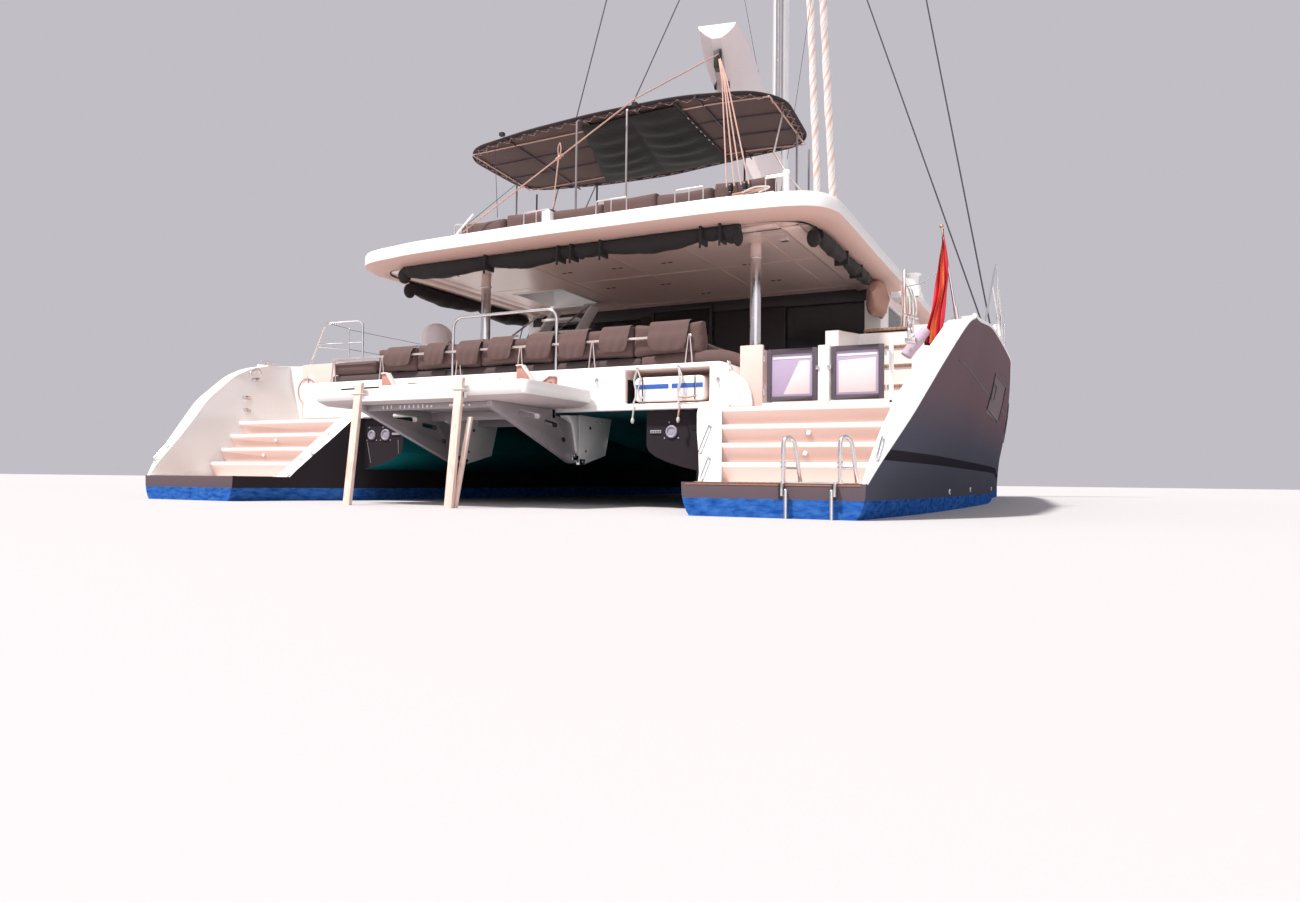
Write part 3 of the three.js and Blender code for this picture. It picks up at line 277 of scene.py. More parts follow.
def timber(name, colour, seams=0.0, along="Y", roughness=0.62):
    """Teak or pale board: grain along one axis, plank seams across it."""
    stretch = {"X": (0.12, 1, 1), "Y": (1, 0.12, 1), "Z": (1, 1, 0.10)}[along]
    finish = Finish(name, roughness)
    grain = finish.noise(38, 8, stretch=stretch, distortion=1.1)
    broad = finish.noise(4, 3, stretch=stretch)
    tone = finish.ramp(grain, [(0.25, shade(colour, 0.62)), (0.5, colour), (0.8, shade(colour, 1.25))])
    tone = finish.mix(finish.spread(broad, 0, 0.35), tone, shade(colour, 0.75))
    height = grain
    if seams:
        across = finish.math("FRACT",
                             finish.math("MULTIPLY", finish.axis("X" if along == "Y" else "Y"), 1 / seams))
        gap = finish.math("LESS_THAN", finish.math("ABSOLUTE", finish.math("SUBTRACT", across, 0.5)), 0.045)
        tone = finish.mix(gap, tone, (0.02, 0.018, 0.016))
        height = finish.math("SUBTRACT", grain, gap)
    return finish.use(tone, finish.spread(grain, roughness - 0.12, roughness + 0.15),
                      finish.bump(height, 0.35, 0.002))


def rope(name, colour, second, lay=150):
    """Braided or laid line: slanting strands."""
    finish = Finish(name, 0.85, Sheen_Weight=0.2)
    strands = finish.wave(lay, "DIAGONAL", distortion=1.0)
    fuzz = finish.noise(500, 2)
    tone = finish.mix(strands, colour, second)
    return finish.use(tone, finish.spread(fuzz, 0.7, 0.95), finish.bump(strands, 0.7, 0.003))


def tinted_glass(name, colour, roughness=0.06, alpha=1.0, grime=0.25, specular=0.6):
    """Dark or frosted pane with a little salt on it."""
    finish = Finish(name, roughness, Specular_IOR_Level=specular, Alpha=alpha)
    salt = finish.noise(5, 7, distortion=0.5)
    tone = finish.mix(finish.spread(salt, 0, grime), colour, shade(colour, 2.2))
    return finish.use(tone, finish.spread(salt, roughness, roughness + 0.16), finish.bump(salt, 0.05, 0.001))


WATERLINE_BAND = 0.155     # top of the blue antifouling
STRIPE_LOW = 0.50
STRIPE_HIGH = 0.59
HEIGHT_SPAN = 3.0          # metres that a height ramp covers
ANTIFOULING_BLUES = [(0.3, (0.012, 0.055, 0.24)), (0.55, (0.030, 0.120, 0.40)), (0.8, (0.075, 0.17, 0.40))]


def hull_paint(name, colours, stripe=None):
    """Matt topside paint over blue antifouling; colours are (height, colour) pairs."""
    finish = Finish(name, 0.5, Coat_Weight=0.0, Specular_IOR_Level=0.0)
    height = finish.axis("Z")
    share = finish.math("DIVIDE", height, HEIGHT_SPAN)
    tone = finish.ramp(share, [(z / HEIGHT_SPAN, colour) for z, colour in colours])
    if stripe is not None:
        low = finish.math("GREATER_THAN", height, STRIPE_LOW)
        high = finish.math("LESS_THAN", height, STRIPE_HIGH)
        tone = finish.mix(finish.math("MULTIPLY", low, high), tone, stripe)
    streaks = finish.noise(1.3, 5, stretch=(1, 0.8, 0.35), distortion=0.5)
    tone = finish.mix(finish.spread(streaks, 0, 0.22), tone, (0.05, 0.05, 0.055))
    scum = finish.noise(9, 6, stretch=(1, 1, 3))
    blue = finish.ramp(scum, ANTIFOULING_BLUES)
    edge = finish.math("ADD", finish.math("MULTIPLY", scum, 0.012), WATERLINE_BAND)
    tone = finish.mix(finish.math("LESS_THAN", height, edge), tone, blue)
    gloss = finish.spread(streaks, 0.42, 0.60)
    return finish.use(tone, gloss, finish.bump(finish.noise(1.6, 2), 0.12, 0.01))


WHITE = (0.87, 0.845, 0.83)
# Pinkish white: painted shade of the white gelcoat, used on the step risers, the raft recess, the gate
# plinth, the locker hollow and the ceiling's seam strips.
BLUSH = (0.80, 0.585, 0.53)
MAT = {}


def make_materials():
    taupe = (0.205, 0.140, 0.158)
    slate = (0.085, 0.088, 0.116)
    charcoal = (0.030, 0.023, 0.027)
    teal = (0.004, 0.150, 0.165)
    MAT.update(
        gelcoat=moulded("gelcoat", WHITE),
        blush=moulded("shaded_gelcoat", BLUSH, roughness=0.4),
        deck=moulded("deck_nonskid", (0.80, 0.775, 0.76), roughness=0.6, coat=0.0, grain=0.8),
        # The ceiling's pinkish tone is painted shade on white panels. The post tops, the ceiling border and
        # some saloon furniture take it too.
        ceiling=moulded("ceiling_panel", (0.84, 0.64, 0.59), roughness=0.3),
        plastic=moulded("white_plastic", (0.86, 0.85, 0.84), roughness=0.4, coat=0.1),
        black=moulded("black_plastic", (0.02, 0.018, 0.02), roughness=0.45, coat=0.0),
        topside=hull_paint("topside_paint", [(0.16, slate), (0.75, shade(slate, 1.1)),
                                             (1.20, shade(taupe, 0.80)), (2.5, taupe)],
                           stripe=(0.026, 0.024, 0.032)),
        # Charcoal on the inboard faces of the hulls: painted shade of the hull paint.
        tunnel=hull_paint("tunnel_paint", [(0.16, charcoal), (2.5, charcoal)]),
        # Teal low on the inboard faces, under the bridgedeck and on the nacelle: painted light reflected from
        # the water, below charcoal painted shade higher up.
        tunnel_deep=hull_paint("tunnel_paint_deep", [(0.16, teal), (0.9, teal), (1.3, charcoal)]),
        stern=hull_paint("platform_edge_paint",
                         [(0.16, (0.120, 0.088, 0.100)), (0.4, (0.150, 0.110, 0.122))]),
        antifouling=hull_paint("antifouling_paint", [(0.16, charcoal)]),
        steel=metal("polished_steel", (0.78, 0.76, 0.77), 0.2),
        warm_steel=metal("rubbed_steel", (0.80, 0.70, 0.68), 0.3),
        bronze=metal("cast_bronze", (0.55, 0.36, 0.16), 0.35, brushed=0.1),
        alloy=painted("spar_white", (0.84, 0.84, 0.85), 0.35, 0.1),
        spar_grey=painted("spar_grey", (0.30, 0.31, 0.35), 0.4, 0.5),
        grey=painted("grey_alloy", (0.37, 0.33, 0.345)),
        frame_grey=painted("gate_frame", (0.105, 0.082, 0.105), 0.45, 0.2),
        canvas=cloth("brown_canvas", (0.085, 0.048, 0.043), wrinkle=0.25),
        hem=cloth("canvas_hem", (0.026, 0.014, 0.017)),
        slack=cloth("black_canvas", (0.009, 0.007, 0.007), wrinkle=0.9),
        curtain=cloth("curtain_cloth", (0.016, 0.012, 0.013), wrinkle=0.4),
        cushion=cloth("cushion_cloth", (0.098, 0.056, 0.052), wrinkle=0.35),
        cushion_dark=cloth("cushion_cloth_dark", (0.060, 0.040, 0.040), wrinkle=0.35),
        sailcloth=cloth("sailcloth", (0.84, 0.78, 0.74), weave=120, sheen=0.1),
        cover=cloth("round_cover_cloth", (0.72, 0.62, 0.62), weave=200),
        glass=tinted_glass("dark_glass", (0.010, 0.008, 0.010)),
        clear=tinted_glass("interior_glass", (0.012, 0.010, 0.012), alpha=0.82),
        frosted=tinted_glass("frosted_pane", (0.40, 0.32, 0.46), roughness=0.3, grime=0.1),
        teak=timber("teak", (0.36, 0.155, 0.085)),
        teak_deck=timber("teak_deck", (0.36, 0.20, 0.13), seams=0.055),
        board=timber("pale_board", (0.80, 0.60, 0.52), along="Z"),
        netting=rope("netting", (0.80, 0.77, 0.73), (0.55, 0.52, 0.5)),
        rope_white=rope("white_rope", (0.84, 0.82, 0.80), (0.62, 0.58, 0.56)),
        rope_warm=rope("warm_rope", (0.56, 0.27, 0.20), (0.76, 0.50, 0.42)),
        post_grey=painted("post_grey", (0.34, 0.30, 0.31), 0.35, 0.4),
        # The boom is white; its pinker, darker tone is painted shade.
        boom_paint=moulded("boom_paint", (0.76, 0.665, 0.67)),
        copper_tube=painted("copper_tube", (0.62, 0.38, 0.32), 0.4, 0.0),
        # Salmon band under the roof's rim: a darker painted shade of white gelcoat.
        soffit=moulded("roof_soffit", (0.66, 0.44, 0.385), roughness=0.5, coat=0.0),
        wire=metal("rigging_wire", (0.10, 0.09, 0.11), 0.4),
        webbing=cloth("black_webbing", (0.015, 0.012, 0.013), weave=420, wrinkle=0.05),
        stripe_blue=moulded("blue_stripe", (0.030, 0.115, 0.47), roughness=0.35),
        lens=moulded("lamp_lens", (0.92, 0.92, 0.93), roughness=0.2),
        hull_glass=tinted_glass("hull_window_glass", (0.150, 0.105, 0.118), roughness=0.4, grime=0.1,
                                specular=0.02),
        # Pale pinkish pane: painted sunlight on the frosted gate panes.
        frosted_warm=tinted_glass("frosted_band", (0.72, 0.58, 0.60), roughness=0.35, grime=0.1),
        fitting_grey=moulded("fitting_grey", (0.33, 0.31, 0.37), roughness=0.4, coat=0.0),
        # Grey-pink under the white tender platform: painted shade.
        underside=moulded("platform_underside", (0.52, 0.43, 0.43), roughness=0.5, coat=0.0),
        chock=moulded("chock_brown", (0.47, 0.24, 0.19), roughness=0.5, coat=0.0),
        wall_dark=painted("saloon_dark", (0.026, 0.018, 0.021), 0.5, 0.0),
        flag_red=cloth("flag_red", (0.62, 0.030, 0.045), weave=300, wrinkle=0.6),
        flag_yellow=cloth("flag_yellow", (0.74, 0.33, 0.045), weave=300, wrinkle=0.6),
        bag=cloth("bag_canvas", (0.42, 0.24, 0.19), wrinkle=0.9),
        # A white cloth sleeve; its lilac tone is painted shade.
        lilac=cloth("lilac_sleeve", (0.46, 0.36, 0.44), wrinkle=0.4),
        fender=moulded("fender_white", (0.80, 0.79, 0.80), roughness=0.45, coat=0.1),
        sail_strip=cloth("sail_strip", (0.74, 0.50, 0.44), weave=120, sheen=0.1),
        blind=cloth("saloon_blind", (0.20, 0.10, 0.095), wrinkle=0.2),
    )


# Forms
def lerp(a, b, t):
    return a + (b - a) * t


def monotone(table, column, at):
    """A smooth curve through one column of a table, whose first column is the place along it."""
    xs = [row[0] for row in table]
    ys = [row[column] for row in table]
    if at <= xs[0]:
        return ys[0]
    if at >= xs[-1]:
        return ys[-1]
    slopes = [(ys[i + 1] - ys[i]) / (xs[i + 1] - xs[i]) for i in range(len(xs) - 1)]
    tangents = [slopes[0]]
    for left, right in zip(slopes, slopes[1:]):
        tangents.append(0 if left * right <= 0 else 2 * left * right / (left + right))
    tangents.append(slopes[-1])
    i = max(k for k in range(len(xs) - 1) if xs[k] <= at)
    width = xs[i + 1] - xs[i]
    t = (at - xs[i]) / width
    return (
        ys[i] * (2 * t**3 - 3 * t**2 + 1) + ys[i + 1] * (3 * t**2 - 2 * t**3)
        + tangents[i] * width * (t**3 - 2 * t**2 + t) + tangents[i + 1] * width * (t**3 - t**2)
    )


def rounded(path, radius, steps=5, closed=False):
    """The path with its corners turned into arcs."""
    points = [Vector(p) for p in path]
    count = len(points)
    made = []
    for i, corner in enumerate(points):
        if not closed and i in (0, count - 1):
            made.append(corner)
            continue
        before = points[i - 1] - corner
        after = points[(i + 1) % count] - corner
        reach = min(radius, before.length * 0.48, after.length * 0.48)
        start = corner + before.normalized() * reach
        end = corner + after.normalized() * reach
        for k in range(steps + 1):
            t = k / steps
            made.append(start.lerp(corner, t).lerp(corner.lerp(end, t), t))
    return made


def spline(points, steps=8):
    """A smooth curve through points, end to end."""
    points = [Vector(p) for p in points]
    extended = [points[0] * 2 - points[1], *points, points[-1] * 2 - points[-2]]
    made = []
    for i in range(1, len(extended) - 2):
        a, b, c, d = extended[i - 1:i + 3]
        for k in range(steps):
            t = k / steps
            square, cube = 2 * a - 5 * b + 4 * c - d, 3 * b - a - 3 * c + d
            made.append(0.5 * (2 * b + (c - a) * t + square * t**2 + cube * t**3))
    made.append(points[-1])
    return made


def turning(centre, degrees):
    """The matrix of a turn about the vertical through a point."""
    spin = Matrix.Rotation(math.radians(degrees), 4, "Z")
    return Matrix.Translation(centre) @ spin @ Matrix.Translation(-centre)


class Form:
    """Points and faces gathered from simple shapes. Each face has a material number."""

    def __init__(self):
        self.points = []
        self.faces = []
        self.tints = []

    def add(self, points, faces, tint=0):
        start = len(self.points)
        self.points += [Vector(p) for p in points]
        self.faces += [[i + start for i in face] for face in faces]
        self.tints += tint if isinstance(tint, list) else [tint] * len(faces)
        return self

    def grid(self, rows, tint=0, closed=False, caps=False):
        """A skin over rows of points of one length; tint may be a list with one entry for each column."""
        width = len(rows[0])
        columns = width if closed else width - 1
        faces = []
        tints = []
        for r in range(len(rows) - 1):
            for c in range(columns):
                a = r * width + c
                b = r * width + (c + 1) % width
                faces.append([a, b, b + width, a + width])
                tints.append(tint[c] if isinstance(tint, list) else tint)
        if caps:
            end = tint[0] if isinstance(tint, list) else tint
            faces += [list(range(width))[::-1], [i + (len(rows) - 1) * width for i in range(width)]]
            tints += [end, end]
        return self.add([p for row in rows for p in row], faces, tints)

    def box(self, low, high, tint=0):
        (x0, y0, z0), (x1, y1, z1) = low, high
        return self.prism([(x0, y0), (x1, y0), (x1, y1), (x0, y1)], "Z", z0, z1, tint)

    def prism(self, outline, axis, start, end, tint=0):
        """An outline in the two other axes, run along an axis."""
        place = {
            "X": lambda a, b, run: (run, a, b),
            "Y": lambda a, b, run: (a, run, b),
            "Z": lambda a, b, run: (a, b, run),
        }[axis]
        rows = [[place(a, b, run) for a, b in outline] for run in (start, end)]
        return self.grid(rows, tint, closed=True, caps=True)

    def tube(self, path, radius, sides=10, tint=0):
        """A round bar; radius may be a list with one entry for each point."""
        path = [Vector(p) for p in path]
        radii = radius if isinstance(radius, list) else [radius] * len(path)
        along = []
        for i in range(len(path)):
            step = path[min(i + 1, len(path) - 1)] - path[max(i - 1, 0)]
            along.append(step.normalized() if step.length > 1e-9 else Vector((0, 0, 1)))
        across = along[0].orthogonal().normalized()
        rows = []
        for place, direction, reach in zip(path, along, radii):
            across = (across - direction * across.dot(direction)).normalized()
            third = direction.cross(across)
            rows.append([
                place + (across * math.cos(a) + third * math.sin(a)) * reach
                for a in (2 * math.pi * k / sides for k in range(sides))
            ])
        return self.grid(rows, tint, closed=True, caps=True)

    def ball(self, centre, radii, tint=0, rings=10, sides=16):
        centre = Vector(centre)
        rows = []
        for r in range(rings + 1):
            angle = math.pi * (0.02 + 0.96 * r / rings)
            rows.append([
                centre + Vector((
                    radii[0] * math.sin(angle) * math.cos(2 * math.pi * k / sides),
                    radii[1] * math.sin(angle) * math.sin(2 * math.pi * k / sides),
                    -radii[2] * math.cos(angle),
                ))
                for k in range(sides)
            ])
        return self.grid(rows, tint, closed=True, caps=True)

    def disc(self, centre, direction, radius, depth, tint=0, sides=20):
        centre = Vector(centre)
        direction = Vector(direction).normalized()
        return self.tube([centre, centre + direction * depth], radius, sides, tint)

    def ring(self, centre, direction, radius, thickness, tint=0, sides=24, round_sides=8):
        centre = Vector(centre)
        direction = Vector(direction).normalized()
        across = direction.orthogonal().normalized()
        third = direction.cross(across)
        rows = []
        for k in range(sides + 1):
            a = 2 * math.pi * k / sides
            out = across * math.cos(a) + third * math.sin(a)
            rows.append([
                centre + out * (radius + thickness * math.cos(b)) + direction * thickness * math.sin(b)
                for b in (2 * math.pi * j / round_sides for j in range(round_sides))
            ])
        return self.grid(rows, tint, closed=True)

    def mirrored(self):
        made = Form()
        made.points = [Vector((-p.x, p.y, p.z)) for p in self.points]
        made.faces = [face[::-1] for face in self.faces]
        made.tints = list(self.tints)
        return made

    def turned(self, centre, degrees):
        """Turned about the vertical through a point."""
        spin = turning(centre, degrees)
        self.points = [spin @ p for p in self.points]
        return self


def mesh_of(form, name):
    mesh = bpy.data.meshes.new(name)
    mesh.from_pydata([tuple(p) for p in form.points], [], form.faces)
    mesh.polygons.foreach_set("material_index", form.tints)
    work = bmesh.new()
    work.from_mesh(mesh)
    bmesh.ops.remove_doubles(work, verts=work.verts, dist=1e-5)
    bmesh.ops.recalc_face_normals(work, faces=work.faces)
    work.to_mesh(mesh)
    work.free()
    mesh.update()
    return mesh


def object_of(form, name, materials):
    thing = bpy.data.objects.new(name, mesh_of(form, name))
    bpy.context.scene.collection.objects.link(thing)
    for material in materials:
        thing.data.materials.append(material)
    return thing


def bake(thing):
    """Replaces an object's mesh by what its modifiers make."""
    bpy.context.view_layer.update()
    graph = bpy.context.evaluated_depsgraph_get()
    mesh = bpy.data.meshes.new_from_object(thing.evaluated_get(graph))
    thing.modifiers.clear()
    thing.data = mesh


def carve(thing, cuts=(), joins=(), keep=()):
    """Cuts forms out of an object, joins forms to it, or keeps only what lies in them."""
    tools = []
    for operation, forms in (("UNION", joins), ("DIFFERENCE", cuts), ("INTERSECT", keep)):
        for form in forms:
            tool = form if isinstance(form, bpy.types.Object) else object_of(form, "tool",
                                                                             thing.data.materials)
            modifier = thing.modifiers.new("carve", "BOOLEAN")
            modifier.operation = operation
            modifier.solver = "EXACT"
            modifier.object = tool
            tools.append(tool)
    bake(thing)
    for tool in tools:
        bpy.data.objects.remove(tool)
    assert len(thing.data.polygons) > 3, f"nothing is left of {thing.name}"
    return thing


def dress(thing, body=ROOT, slot=None, replaces=(), bevel=0.0, segments=2, sharp=35, subdivide=0):
    """The last steps of a piece: soft edges, shading, its body and the nodes that it stands for. The slot
    argument is not used.
    """
    if subdivide:
        modifier = thing.modifiers.new("smooth", "SUBSURF")
        modifier.levels = subdivide
        modifier.render_levels = subdivide
    if bevel:
        modifier = thing.modifiers.new("bevel", "BEVEL")
        modifier.width = bevel
        modifier.segments = segments
        modifier.limit_method = "ANGLE"
        modifier.angle_limit = math.radians(sharp)
    if thing.modifiers:
        bake(thing)
    thing.data.polygons.foreach_set("use_smooth", [True] * len(thing.data.polygons))
    thing.data.set_sharp_from_angle(angle=math.radians(sharp))
    thing.data.update()
    if body:
        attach(thing, body)
    if replaces:
        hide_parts(*replaces)
    return thing


def piece(name, form, materials, **how):
    """A finished piece from a form; materials are names in MAT."""
    return dress(object_of(form, name, [MAT[m] for m in materials]), **how)


def repaint(thing, material):
    thing.data.materials.clear()
    thing.data.materials.append(MAT[material])


def fill_holes(thing):
    work = bmesh.new()
    work.from_mesh(thing.data)
    bmesh.ops.holes_fill(work, edges=[e for e in work.edges if e.is_boundary], sides=0)
    bmesh.ops.recalc_face_normals(work, faces=work.faces)
    work.to_mesh(thing.data)
    work.free()


def frame_bars(form, low, high, side, head):
    """Four bars about an opening that faces aft."""
    (x0, y0, z0), (x1, y1, z1) = low, high
    form.box((x0, y0, z0), (x0 + side, y1, z1))
    form.box((x1 - side, y0, z0), (x1, y1, z1))
    form.box((x0 + side, y0, z0), (x1 - side, y1, z0 + head))
    form.box((x0 + side, y0, z1 - head), (x1 - side, y1, z1))


# Hulls
STERN = -9.45
BOW = 9.45
PLATFORM_Z = 0.30
LANDING_Z = 1.09
SOLE_Z = 1.45
STEPS_IN = 3.05
STEPS_HEAD_IN = 2.75
STAIR_OUT = 4.50
STEPS_FOOT_Y = -8.74
STEPS_HEAD_Y = -8.011
STEP_COUNT = 4
STEP_NOSE = 0.048
STEP_UNDERCUT = 0.060
WELL_AFT_Y = -6.90
SALOON_AFT_Y = -2.85
CUT_TOP = 2.70
# y, inner and outer side at platform height, keel depth, inner and outer deck edge, sheer height
HULL_STATIONS = [
    (STERN, 2.954, 4.600, -0.230, 2.954, 4.960, 2.00),
    (-8.74, 2.810, 4.650, -0.300, 2.780, 5.080, 2.00),
    (-7.84, 2.450, 4.700, -0.400, 2.450, 5.180, 2.00),
    (-7.33, 2.480, 4.720, -0.460, 2.480, 5.200, 2.00),
    (-5.50, 2.600, 4.740, -0.620, 2.600, 5.200, 2.15),
    (-3.00, 2.700, 4.740, -0.700, 2.700, 5.170, 2.16),
    (-1.20, 2.735, 4.710, -0.700, 2.700, 5.045, 2.20),
    (0.00, 2.750, 4.620, -0.700, 2.700, 4.950, 2.23),
    (3.00, 2.850, 4.360, -0.700, 2.750, 4.700, 2.38),
    (5.50, 3.060, 4.120, -0.640, 3.000, 4.460, 2.45),
    (7.50, 3.370, 3.990, -0.560, 3.330, 4.230, 2.48),
    (8.80, 3.640, 3.920, -0.470, 3.610, 4.020, 2.50),
    (BOW, 3.800, 3.860, -0.380, 3.790, 3.870, 2.51),
]
# y, inner side, height of the knuckle under the bulge that carries the bridgedeck
BULGE_AFT, BULGE_FORE = -7.84, 6.20
BULGE_STATIONS = [
    (BULGE_AFT, 1.780, 0.54), (-4.00, 1.780, 0.62), (0.00, 1.850, 0.76), (3.60, 2.050, 0.90),
    (BULGE_FORE, 2.980, 1.35),
]
WING_EDGE = [
    (-9.42, 0.30), (-9.30, 0.47), (-8.89, 0.90), (-8.46, 1.36), (-7.91, 1.77), (-7.60, 1.915), (-7.33, 1.98),
]
# x and z of the wing's inner face, which leans outboard
WING_FACE = [(4.56, 0.0), (4.56, PLATFORM_Z), (4.62, 0.76), (4.70, LANDING_Z), (4.96, 1.80), (4.99, CUT_TOP)]
SALOON_PLAN = [(3.30, SALOON_AFT_Y), (3.34, 0.30), (3.08, 2.50), (2.50, 3.15), (1.30, 3.34)]
SECTION_FULLNESS = 2.6
INNER_STEPS, BOTTOM_STEPS, OUTER_STEPS = 5, 24, 10
HULL_ROWS = 96
# The inboard faces take charcoal painted shade, the step risers the pinkish painted shade, and the underside
# of the bulge the teal painted light from the water.
TOPSIDE, TUNNEL, WHITE_CUT, RISER, STERN_FACE, DECK, DEEP = range(7)
HULL_MATERIALS = ["topside", "tunnel", "gelcoat", "blush", "stern", "deck", "tunnel_deep"]


def flare(t):
    """Share of the topside's flare at a share of its height."""
    return 1.789 * t - 0.789 * t * t


def topside_x(y, z):
    outer, outer_top, sheer = (monotone(HULL_STATIONS, c, y) for c in (2, 5, 6))
    t = min(1.0, max(0.0, (z - PLATFORM_Z) / (sheer - PLATFORM_Z)))
    return outer + (outer_top - outer) * flare(t)


def sheer_z(y):
    return monotone(HULL_STATIONS, 6, y)


def signed_power(value, power):
    return math.copysign(abs(value) ** power, value)


def hull_row(y):
    inner, outer, keel, inner_top, sheer = (monotone(HULL_STATIONS, c, y) for c in (1, 2, 3, 4, 6))
    middle = (inner + outer) / 2
    half = (outer - inner) / 2
    row = []
    for i in range(INNER_STEPS):
        t = i / INNER_STEPS
        row.append((lerp(inner_top, inner, t), y, lerp(sheer, PLATFORM_Z, t)))
    for i in range(BOTTOM_STEPS + 1):
        angle = math.pi * i / BOTTOM_STEPS
        x = middle - half * signed_power(math.cos(angle), 2 / SECTION_FULLNESS)
        z = PLATFORM_Z - (PLATFORM_Z - keel) * math.sin(angle) ** (2 / SECTION_FULLNESS)
        row.append((x, y, z))
    for i in range(1, OUTER_STEPS + 1):
        z = lerp(PLATFORM_Z, sheer, i / OUTER_STEPS)
        row.append((topside_x(y, z), y, z))
    return row


def hull_form():
    form = Form()
    ys = [lerp(STERN, BOW, i / HULL_ROWS) for i in range(HULL_ROWS + 1)]
    half = INNER_STEPS + BOTTOM_STEPS // 2
    tints = [TUNNEL] * half + [TOPSIDE] * (BOTTOM_STEPS - BOTTOM_STEPS // 2 + OUTER_STEPS) + [DECK]
    form.grid([hull_row(y) for y in ys], tints, closed=True, caps=True)
    form.tints[-2] = STERN_FACE
    return form


def bulge_row(y):
    inner = monotone(BULGE_STATIONS, 1, y)
    knuckle = monotone(BULGE_STATIONS, 2, y)
    low = (inner + (3.3 - inner) * 0.45, knuckle - 0.13)
    corner = [(inner, knuckle + 0.16), (inner, knuckle), low]
    row = [(inner, y, 2.13)]
    for k in range(6):
        t = k / 5
        a = [lerp(corner[0][n], corner[1][n], t) for n in (0, 1)]
        b = [lerp(corner[1][n], corner[2][n], t) for n in (0, 1)]
        row.append((lerp(a[0], b[0], t), y, lerp(a[1], b[1], t)))
    return [*row, (3.3, y, knuckle - 0.3), (3.3, y, 2.13)]


def bulge_form():
    form = Form()
    rows = [bulge_row(lerp(BULGE_AFT, BULGE_FORE, i / 40)) for i in range(41)]
    form.grid(rows, [DEEP] * 8 + [DECK], closed=True, caps=True)
    form.tints[-2] = TUNNEL
    return form


def steps_in(y):
    """Inboard end of the steps, which slants with the inner side of the hull."""
    return lerp(STEPS_IN, STEPS_HEAD_IN, (y - STEPS_FOOT_Y) / (STEPS_HEAD_Y - STEPS_FOOT_Y))


def face_x(z):
    """The wing's inner face at a height."""
    return monotone([(z, x) for x, z in WING_FACE], 1, z)


def step_cuts():
    run = (STEPS_HEAD_Y - STEPS_FOOT_Y) / STEP_COUNT
    rise = (LANDING_Z - PLATFORM_Z) / STEP_COUNT
    forms = []
    for i in range(STEP_COUNT):
        y = STEPS_FOOT_Y + i * run
        z = PLATFORM_Z + i * rise
        outline = [(y - 0.01, z), (y + run + STEP_UNDERCUT, z), (y + run, z + rise - STEP_NOSE),
                   (y + run, z + rise), (y - 0.01, z + rise + 0.02)]
        rows = [[(steps_in(y), y, z) for y, z in outline], [(5.6, y, z) for y, z in outline]]
        form = Form().grid(rows, closed=True, caps=True)
        # The riser faces take the pinkish painted shade.
        form.tints = [WHITE_CUT, RISER, WHITE_CUT, WHITE_CUT, WHITE_CUT, WHITE_CUT, WHITE_CUT]
        forms.append(form)
    return forms


def scoop_cut():
    """The hollow between stringer and wing, with the steps in it."""
    outline = [(STERN - 0.05, PLATFORM_Z), (STEPS_FOOT_Y, PLATFORM_Z), (STEPS_HEAD_Y, LANDING_Z),
               (WELL_AFT_Y, LANDING_Z), (WELL_AFT_Y, CUT_TOP), (STERN - 0.05, CUT_TOP)]
    form = Form().prism(outline, "X", 0.9, 5.5)
    form.tints = [WHITE_CUT] * len(form.tints)
    form.tints[2] = DECK
    face = [(x, z) for x, _, z in rounded([(x, 0, z) for x, z in WING_FACE], 0.12, 4)]
    side = Form().prism([(0.8, -0.1), (4.56, -0.1), *face, (4.99, CUT_TOP + 0.1), (0.8, CUT_TOP + 0.1)],
                        "Y", STERN - 0.2, WELL_AFT_Y + 0.2)
    side.tints = [WHITE_CUT] * len(side.tints)
    hollow = object_of(form, "hollow", [MAT[m] for m in HULL_MATERIALS])
    return carve(hollow, joins=step_cuts(), keep=[side])


def wing_cut():
    edge = [(y, z) for _, y, z in rounded([(0, y, z) for y, z in WING_EDGE], 0.12, 4)]
    outline = [(STERN - 0.05, PLATFORM_Z), *edge, (-7.33, CUT_TOP), (STERN - 0.05, CUT_TOP)]
    form = Form().prism(outline, "X", 1.0, 6.0)
    form.tints = [WHITE_CUT] * len(form.tints)
    return form


DECK_STEPS = 4
DECK_STEP_RUN = 0.32
DECK_STAIR_TOP = 2.15


def deck_stair_cut():
    rise = (DECK_STAIR_TOP - LANDING_Z) / DECK_STEPS
    outline = [(WELL_AFT_Y - 0.01, LANDING_Z)]
    for i in range(DECK_STEPS):
        outline.append((WELL_AFT_Y + i * DECK_STEP_RUN, LANDING_Z + i * rise))
        outline.append((WELL_AFT_Y + i * DECK_STEP_RUN, LANDING_Z + (i + 1) * rise))
    outline += [(WELL_AFT_Y + DECK_STEPS * DECK_STEP_RUN, DECK_STAIR_TOP),
                (WELL_AFT_Y + DECK_STEPS * DECK_STEP_RUN, CUT_TOP), (WELL_AFT_Y - 0.01, CUT_TOP)]
    form = Form().prism(outline, "X", 3.70, STAIR_OUT)
    form.tints = [WHITE_CUT] * len(form.tints)
    return form


